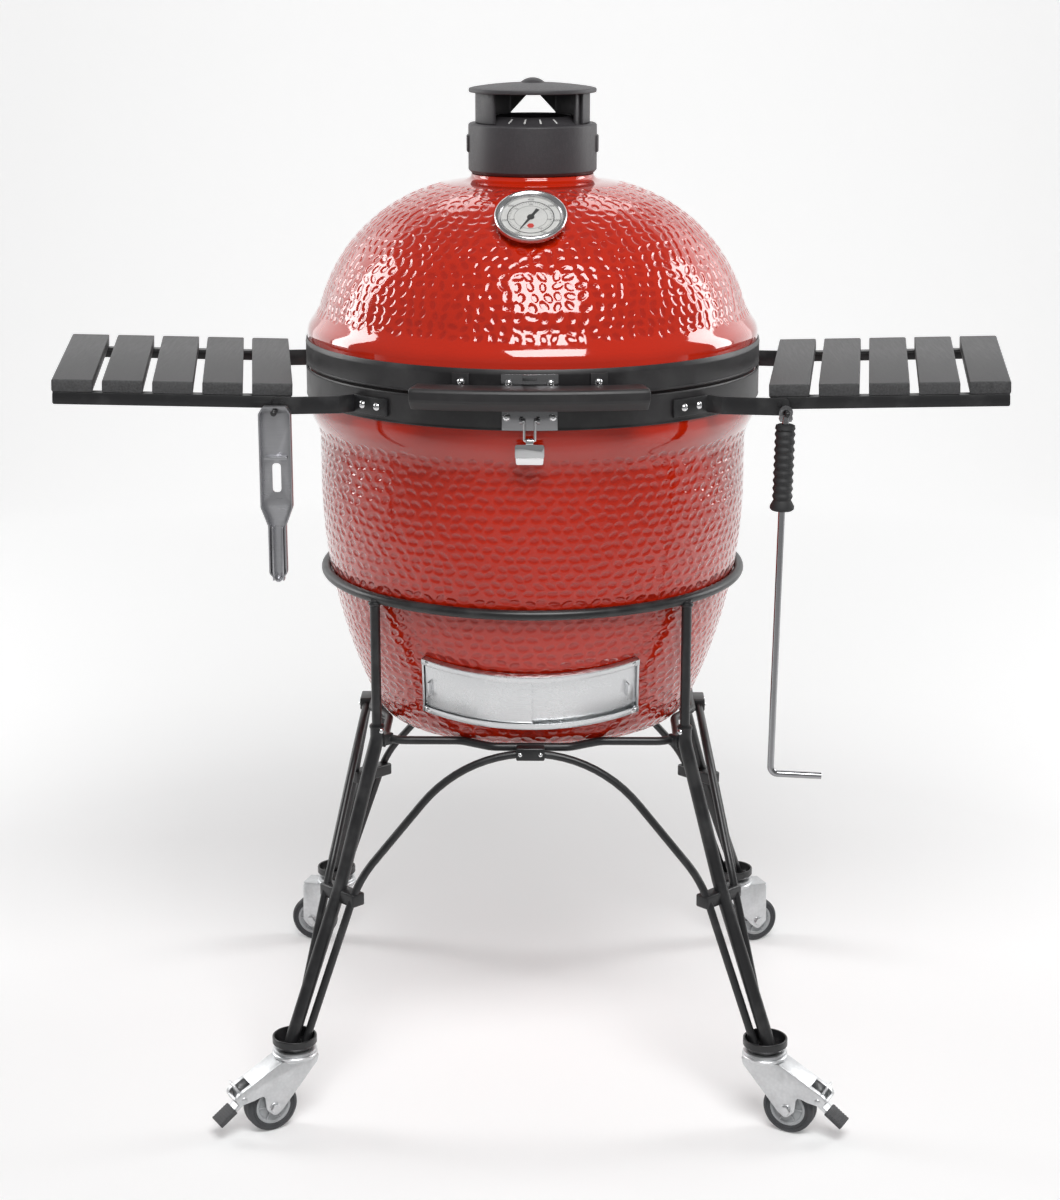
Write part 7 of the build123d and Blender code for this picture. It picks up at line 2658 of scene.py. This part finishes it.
    def clamps(self) -> None:
        """Makes the clamps on the hoop and on the shins, and their bolts."""
        knee_x, knee_s = self.arch_line[1]
        peak_s = self.arch_line[2][1]
        drop = self.arch_bends[1] * (1 / cos(atan2(peak_s - knee_s, knee_x)) - 1)
        apex = self.arch_place() @ Vector((0, peak_s - drop, 0))
        z = self.hoop_z()
        half = self.clamp_w / 2
        front = apex.y - self.arch_r - 3.2
        bottom, top = apex.z - self.arch_r - 2.2, z + self.hoop_r - 1.5
        slope = (self.leg_foot[0] - self.shin[0]) / (self.shin[1] - self.leg_foot[1])
        shin_r = sqrt(2) * (self.shin[0] + (self.shin[1] - self.shin_clamp) * slope)
        form = Form()
        places = []
        for i in range(4):
            turned = shifted(turn=90 * i)
            form.block((-half, half), (front, -self.hoop_bulge + 4.0), (bottom, top), turned, 2.0, 3)
            shin = (self.shin_clamp - 8, self.shin_clamp + 8)
            form.block((shin_r - 17, shin_r + 2), (-31, 31), shin, turned @ shifted(turn=225), 2.2, 3)
            for x in (-half + 5, half - 5):
                places.append(turned @ frame_at((x, front - 0.3, (bottom + top) / 2), (0, -1, 0)))
        piece("cart_clamp_blocks", form, CART_BLACK, "cart", "cart_clamps")
        small, large = screw_head(*self.clamp_screw), screw_head(*self.cross_bolt)
        crossed = []
        for i in range(4):
            for side in (-1, 1):
                spot = (sqrt(2) * self.post, side * (self.tube_r + 0.3), self.tube_top - self.socket / 2)
                crossed.append(shifted(turn=45 + 90 * i) @ frame_at(spot, (0, side, 0)))
        meshes = [
            SETTER.at("small", small, places, BOLT_STEEL), SETTER.at("large", large, crossed, BOLT_STEEL)
        ]
        piece("cart_bolt_heads", meshes, BOLT_STEEL, "cart", "cart_bolts")

    def cups(self) -> None:
        """Makes the dishes on the casters, each with its kingpin and nut."""
        r, floor, wall = self.cup_r, self.cup_floor, self.cup_wall
        outline = [(0, floor), (r - 5, floor), (r, floor + 6), (r, self.cup_top - 1.4)]
        outline += arc((r - wall / 2, self.cup_top - wall / 2), wall / 2, 0, 180, 6)
        outline += [(r - wall, floor + 6), (r - wall - 2, floor + wall), (0, floor + wall)]
        dish = Form().lathe(outline, 56)
        dish.rod((0, 0, floor + wall - 0.5), (0, 0, floor + wall + 4.5), 7.0, 6, 0.8)
        dish.rod((0, 0, floor + wall), (0, 0, floor + wall + 7.0), 4.4, 18, 0.8)
        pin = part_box("caster_cups")[0][2] / MM
        dish.rod((0, 0, pin), (0, 0, floor + 1), 5.5, 24)
        dish.rod((0, 0, pin), (0, 0, pin + 4.0), 8.5, 24, 0.8)
        shape = dish.done("cup")
        places = [shifted(sx * self.cup, sy * self.cup) for sx, sy in CORNERS]
        copies("caster_dishes", shape, places, CART_BLACK, "cart", "caster_cups", "cart_black")

    def build(self) -> None:
        """Makes the whole cart."""
        self.ring()
        self.hoop()
        self.legs()
        self.clamps()
        self.cups()


# ---------------------------------------------------------------- casters
@dataclass
class Caster:
    """Swivelling twin-cheek caster; the front ones carry a rocking brake pedal."""

    name: str
    centre: Point2
    turn: float
    braked: bool
    wheel_r: float = 31.5
    wheel_w: float = 22.0
    hub_r: float = 22.0
    axle_r: float = 4.0
    trail: float = 34.0
    top: float = 88.2
    bearing_r: float = 27.0
    bearing_h: float = 10.0
    cheek: float = 2.5
    gap: float = 2.5
    brake: Point2 = (73.0, 51.0)
    brake_w: float = 18.0
    pedal_tilt: float = 36.0
    pad_at: Point2 = (19.5, 21.5)
    pad_ribs: int = 7
    rib_pitch: float = 3.5
    rib_w: float = 1.8
    hub_ribs: int = 6
    slot: float = 63.0

    def place(self) -> Matrix:
        """The caster's place: kingpin on +Z, fork heading along +X."""
        return shifted(self.centre[0], self.centre[1], 0.0, self.turn)

    def axle(self) -> Matrix:
        """The wheel's place: axis along +Z of the place."""
        return self.place() @ frame_at((self.trail, 0, self.wheel_r), (0, -1, 0))

    def fork(self) -> None:
        """Makes the pressed fork with its ball race, axle bolt and brake slot."""
        at = self.place()
        inner = self.wheel_w / 2 + self.gap
        outer = inner + self.cheek
        top, trail, z = self.top, self.trail, self.wheel_r
        if self.braked:
            upper = [(-24, top), (24, top), (80, top - 30), (84, top - 36), (80, top - 44)]
            lower = [
                (60, top - 41), (47, top - 37), (trail + 11, z), (trail, z - 11), (trail - 10.5, z - 3),
                (-22, top - 8)
            ]
        else:
            upper = [(-24, top), (45, top)]
            lower = [(trail + 12, z), (trail, z - 12), (trail - 11.5, z - 3), (-20, top - 8)]
        form = Form()
        cheek = soften(upper + lower, 7.0, 5)
        for side in (-1, 1):
            face = at @ frame_at((0, side * outer if side > 0 else -inner, 0), (0, -1, 0))
            form.plate(cheek, 0.0, self.cheek, face, 0.7)
        for (x0, z0), (x1, z1) in zip(upper, upper[1:]):
            self.roof(form, (x0, z0), (x1, z1), outer)
        form.lathe(self.race(), 56, at)
        form.lathe(oblong((5.55, self.bearing_r - 3), (top - self.cheek, top)), 40, at)
        form.rod((trail, -outer - 2, z), (trail, outer + 2, z), self.axle_r, 20, 0.4, at)
        for side in (-1, 1):
            form.rod(
                (trail, side * outer, z), (trail, side * (outer + 3.5), z), self.axle_r + 2.2, 6, 0.7, at
            )
            form.rod(
                (trail, side * (outer - 0.2), z), (trail, side * (outer + 0.7), z), self.axle_r + 3.4, 28,
                0.2, at
            )
        if self.braked:
            x, y = self.brake
            form.rod((x, -outer, y), (x, outer, y), 2.5, 14, 0.3, at)
            for side in (-1, 1):
                form.dome_head(at @ frame_at((x, side * outer, y), (0, side, 0)), 3.8, 1.6, 16)
        node = "fork_" + self.name
        piece(node + "_pressing", form, ZINC, node, node)

    def race(self) -> List[Point2]:
        """Profile of the ball race above the fork, with its parting groove."""
        top, r, high = self.top, self.bearing_r, self.bearing_h
        outline = [
            (5.6, top - 0.4), (r - 2.0, top - 0.4), (r - 0.2, top + 1.0), (r, top + 3.4),
            (r - 0.8, top + 4.6), (r - 2.0, top + 5.0)
        ]
        outline += [
            (r - 1.2, top + 5.6), (r - 0.6, top + 7.0), (r - 1.4, top + high - 1.0), (r - 3.5, top + high),
            (5.6, top + high)
        ]
        return outline

    def roof(self, form: Form, start: Point2, end: Point2, outer: float) -> None:
        """Adds the sheet between the cheeks along one run of their upper edge, round the brake slot.

        Args:
            form: The form that it goes into.
            start: First point in the fork's X-Z plane.
            end: Last point.
            outer: Half width of the fork.
        """
        run = Vector((end[0] - start[0], 0, end[1] - start[1]))
        up = Vector((-run.z, 0, run.x)).normalized()
        place = self.place() @ frame_at((start[0], 0, start[1]), up, run)
        half = self.brake_w / 2 + 0.6
        whole, cut = (0, run.length), None
        if self.braked and start[0] > self.slot and end[1] > self.top - 40:
            whole, cut = None, (0, run.length)
        elif self.braked and start[0] < self.slot < end[0]:
            share = (self.slot - start[0]) / (end[0] - start[0]) * run.length
            whole, cut = (0, share), (share - 1, run.length)
        if whole:
            form.block(whole, (-outer + 1, outer - 1), (-self.cheek, 0), place, 0.5)
        if cut:
            for y in ((half, outer - 1), (-outer + 1, -half)):
                form.block(cut, y, (-self.cheek, 0), place, 0.5)

    def wheel(self) -> None:
        """Makes the hub with its ribs and the grooved tyre."""
        half = self.wheel_w / 2
        boss = half + self.gap - 0.6
        inner, r = self.axle_r + 0.05, self.hub_r
        outline = [
            (inner, -boss), (inner + 4, -boss), (inner + 5, -half + 3.5), (r - 5, -half + 3.5),
            (r - 3.2, -half + 1), (r, -half + 1)
        ]
        outline += [(x, -y) for x, y in outline[::-1]]
        hub = Form().lathe(soften(outline, 0.6, 2), 64, self.axle())
        for i in range(self.hub_ribs):
            spoke = self.axle() @ shifted(turn=360 / self.hub_ribs * i)
            for face in (-1, 1):
                z = between(face, half - 3.6, half - 1.4)
                hub.block((inner + 4, r - 3.5), (-0.9, 0.9), z, spoke, 0.4)
        node = "hub_" + self.name
        body = "wheel_" + self.name
        piece(node + "_moulding", hub, HUB, body, node)
        r, hub_r = self.wheel_r, self.hub_r + 0.15
        side = [
            (hub_r, -half + 1.0), (r - 6.6, -half + 0.35), (r - 6.2, -half + 0.9), (r - 5.4, -half + 0.9),
            (r - 5.0, -half + 0.25), (r - 3.6, -half), (r - 1.4, -half + 1.2), (r - 0.4, -half + 2.8),
            (r, -half + 5)
        ]
        outline = side + [
            (r, -1.2), (r - 0.7, -0.5), (r - 0.7, 0.5), (r, 1.2)
        ] + [(x, -y) for x, y in side[::-1]]
        node = "tyre_" + self.name
        piece(node + "_rubber", Form().lathe(outline, 88, self.axle()), TYRE, body, node, 32)

    def pedal(self) -> None:
        """Makes the brake pedal: a bent lever, its boss and a ribbed pad."""
        x, z = self.brake
        half = self.brake_w / 2
        outline = [
            (x - 4.5, z + 3), (x - 3.5, z - 8), (x + 8, z - 17), (x + 14, z - 21), (x + 16, z - 18),
            (x + 4.5, z - 8.5), (x + 4.5, z + 3), (x + 5.5, z + 8), (x + 10, z + 17), (x + 8, z + 18),
            (x + 2.5, z + 8)
        ]
        face = self.place() @ frame_at((0, half, 0), (0, -1, 0))
        lever = Form().plate(outline, 0.0, 2 * half, face, 0.6)
        turned = self.place() @ frame_at((x, -half, z), (0, 1, 0))
        lever.tube(turned, 2.56, 5.1, 0.0, 2 * half, 28, 0.5)
        tilt = Matrix.Rotation(radians(self.pedal_tilt), 4, "Y")
        pad_at = self.place() @ Matrix.Translation((x + self.pad_at[0], 0, z - self.pad_at[1])) @ tilt
        pad = Form().block((-12.5, 12.5), (-13.0, 13.0), (-2.5, 2.4), pad_at, 1.1, 3)
        for i in range(self.pad_ribs):
            x0 = -11.0 + self.rib_pitch * i
            pad.block((x0, x0 + self.rib_w), (-12.0, 12.0), (2.0, 3.2), pad_at, 0.4)
        node = "brake_" + self.name
        piece(node + "_lever", lever, ZINC, node, node)
        piece(node + "_pad", pad, PEDAL, node, node)

    def build(self) -> None:
        """Makes the caster."""
        self.fork()
        self.wheel()
        if self.braked:
            self.pedal()


# ---------------------------------------------------------------- fire inside
@dataclass
class FireInside:
    """What stands in the bowl: fire box, ring, grates, rack and the rim gaskets."""

    plain: Tuple[Tuple[str, Finish], ...] = (
        ("firebox", CLAY),
        ("fire_ring", CLAY),
        ("coal_grate", IRON),
        ("grate_rack", GRATE_STEEL),
        ("base_gasket", FELT),
        ("lid_gasket", FELT),
    )
    grate_r: float = 225.0
    rod_r: float = 3.0
    pitch: float = 19.0
    gap: float = 6.0

    def grate(self, side: Side) -> None:
        """Makes a half-moon cooking grate: a bent rim and bars across it.

        Args:
            side: Left or right.
        """
        word = side.name.lower()
        low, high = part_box("cooking_grate_" + word)
        z = (low[2] + high[2]) / 2 / MM
        rim, chord = self.grate_r - self.rod_r, self.gap / 2 + self.rod_r
        start = degrees(asin(chord / rim))
        curve = arc((0, 0), rim, start - 90, 90 - start, 72)
        points = [(side.value * x, y, z) for x, y in curve]
        meshes = [BARS.along("rim", points, self.rod_r, GRATE_STEEL, 5.0, True, 14, 2)]
        bars = Form()
        for i in range(1, int((rim - chord) / self.pitch) + 1):
            x = chord + i * self.pitch
            half = sqrt(rim ** 2 - x ** 2)
            bars.rod((side.value * x, -half, z), (side.value * x, half, z), self.rod_r * 0.8, 12, 0.4)
        meshes.append(bars.done("bars"))
        node = "cooking_grate_" + word
        piece(node + "_rods", meshes, GRATE_STEEL, "cart", node)

    def build(self) -> None:
        """Dresses the plain solids and makes the grates."""
        for node, finish in self.plain:
            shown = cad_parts.get(node)
            if shown is None:
                continue
            for slot in shown.material_slots:
                slot.material = finish.material()
            if not shown.material_slots:
                shown.data.materials.append(finish.material())
            LOG.info("%s: dressed with %s", node, finish.name)
        for side in Side:
            self.grate(side)


# ---------------------------------------------------------------- studio
@dataclass(frozen=True)
class SoftBox:
    """Rectangular soft light, placed in metres and aimed at a point."""

    name: str
    place: Point3
    aim: Point3
    size: Point2
    glow: float
    mirrored: bool = True

    def build(self) -> None:
        """Hangs the light; its power follows from its glow and its area."""
        lamp = bpy.data.lights.new(self.name, "AREA")
        lamp.shape = "RECTANGLE"
        lamp.size, lamp.size_y = self.size
        lamp.energy = self.glow * pi * self.size[0] * self.size[1]
        hung = linked(self.name, lamp)
        hung.visible_camera = False
        hung.visible_glossy = self.mirrored
        way = Vector(self.aim) - Vector(self.place)
        hung.location = self.place
        hung.rotation_euler = way.to_track_quat("-Z", "Y").to_euler()


@dataclass
class Studio:
    """Camera, pale sweep and soft lights."""

    camera_place: Point3 = (0.034, -2.967, 1.359)
    camera_turn: Point3 = (75.23, 0.0, 0.717)
    lens: float = 73.24
    floor_colour: Colour = (0.76, 0.76, 0.76)
    lift: float = 0.15
    far_lift: float = 0.55
    near: float = 1.1
    far: float = 3.2
    front: Tuple[float, float] = (-0.65, -1.6)
    front_colour: Colour = (0.38, 0.38, 0.38)
    front_lift: float = 0.13
    room: float = 0.1
    room_seen: float = 0.22
    room_half: float = 8.0
    back: float = 3.0
    bend: float = 1.5
    wall_top: float = 7.0
    boxes: Tuple[SoftBox, ...] = (
        SoftBox("key light", (0.40, -2.4, 3.5), (0.0, 0.0, 0.95), (2.0, 1.6), 11.5),
        SoftBox("left side", (-2.4, 0.75, 1.7), (0.0, 0.0, 0.9), (0.7, 1.9), 7.0),
        SoftBox("right side", (2.4, 0.75, 1.7), (0.0, 0.0, 0.9), (0.7, 1.9), 7.0),
        SoftBox("left rim", (-2.2, 1.9, 1.6), (0.0, 0.0, 0.8), (1.4, 2.6), 0.7),
        SoftBox("right rim", (2.2, 1.9, 1.6), (0.0, 0.0, 0.8), (1.4, 2.6), 0.7),
        SoftBox("top light", (0.0, 2.3, 3.4), (0.0, 0.4, 0.6), (2.4, 1.2), 1.6),
        SoftBox("front fill", (0.0, -4.2, 1.7), (0.0, 0.0, 0.6), (4.0, 2.6), 1.05, mirrored=False),
    )

    def camera(self) -> None:
        """Sets the camera up."""
        data = bpy.data.cameras.new("camera")
        data.lens = self.lens
        data.sensor_width = 36.0
        data.sensor_fit = "AUTO"
        data.clip_end = 60.0
        eye = linked("camera", data)
        eye.location = self.camera_place
        eye.rotation_euler = [radians(a) for a in self.camera_turn]
        bpy.context.scene.camera = eye

    def sweep_material(self) -> bpy.types.Material:
        """Pale paper that looks a little brighter straight on and in reflections.

        Returns:
            The material.
        """
        made = bpy.data.materials.new("pale paper")
        made.use_nodes = True
        graph = Graph(made.node_tree)
        seen = graph.seen()
        where = graph.node("ShaderNodeTexCoord").outputs["Object"]
        away = graph.number("ShaderNodeVectorMath", {"operation": "LENGTH"}, {0: where}, "Value")
        away = away.spread(self.near, self.far)
        split = graph.node("ShaderNodeSeparateXYZ", None, {0: where})
        ahead = Signal(graph, split.outputs["Y"]).spread(*self.front)
        tone = graph.mix(ahead, self.floor_colour, self.front_colour)
        paper = graph.node("ShaderNodeBsdfDiffuse", None, {"Color": tone}).outputs["BSDF"]
        white = graph.mix(away, (self.lift,) * 3, (self.far_lift,) * 3)
        white = graph.mix(ahead, white, (self.front_lift,) * 3)
        glow = graph.node("ShaderNodeEmission", None, {"Color": white, "Strength": 1.0}).outputs["Emission"]
        lifted = graph.node("ShaderNodeAddShader", None, {0: paper, 1: glow}).outputs["Shader"]
        shown = graph.node("ShaderNodeMixShader", None, {0: seen.spread(0.0, 1.0), 1: paper, 2: lifted})
        graph.node("ShaderNodeOutputMaterial", None, {"Surface": shown.outputs["Shader"]})
        return made

    def sweep(self) -> None:
        """Lays the floor and the curved back."""
        back, bend = self.back, self.bend
        outline = [(-self.room_half, 0.0), (back, 0.0)]
        outline += [(back + bend * sin(a), bend - bend * cos(a)) for a in np.linspace(0.1, pi / 2, 16)]
        outline.append((back + bend, self.wall_top))
        verts = [(x, y, z) for y, z in outline for x in (-self.room_half, self.room_half)]
        faces = [(2 * i, 2 * i + 1, 2 * i + 3, 2 * i + 2) for i in range(len(outline) - 1)]
        mesh = bpy.data.meshes.new("sweep")
        mesh.from_pydata(verts, [], faces)
        mesh.shade_smooth()
        mesh.materials.append(self.sweep_material())
        linked("sweep", mesh)

    def world(self) -> None:
        """Dim even surroundings."""
        room = bpy.data.worlds.new("room")
        room.use_nodes = True
        graph = Graph(room.node_tree)
        glow = graph.seen().spread(0.0, 1.0, self.room, self.room_seen)
        sky = graph.node("ShaderNodeBackground", None, {"Color": (1.0, 1.0, 1.0, 1.0), "Strength": glow})
        graph.node("ShaderNodeOutputWorld", None, {"Surface": sky.outputs["Background"]})
        bpy.context.scene.world = room

    def build(self) -> None:
        """Sets up everything."""
        self.camera()
        self.sweep()
        self.world()
        for box in self.boxes:
            box.build()
        bpy.context.scene.view_settings.view_transform = "Standard"


def main() -> None:
    """Builds the grill, part by part."""
    logging.basicConfig(level=logging.INFO, format="%(name)s: %(message)s", stream=sys.stdout)
    Studio().build()
    casters = (
        Caster("front_left", (-281.0, -281.0), 210.0, True),
        Caster("front_right", (281.0, -281.0), -26.0, True),
        Caster("rear_left", (-281.0, 281.0), 164.0, False),
        Caster("rear_right", (281.0, 281.0), 22.0, False),
    )
    shelves = (SideShelf(Side.LEFT), SideShelf(Side.RIGHT), ShelfArms(), HangingTools())
    above = (
        CeramicBody(), RimBands(), LidHandle(), FrontLatch(), RearHinge(), Thermometer(), TopVent(),
        DraftDoor()
    )
    for assembly in above + shelves + (Cart(), FireInside()) + casters:
        LOG.info("building %s", type(assembly).__name__)
        assembly.build()


if __name__ == "__main__":
    main()
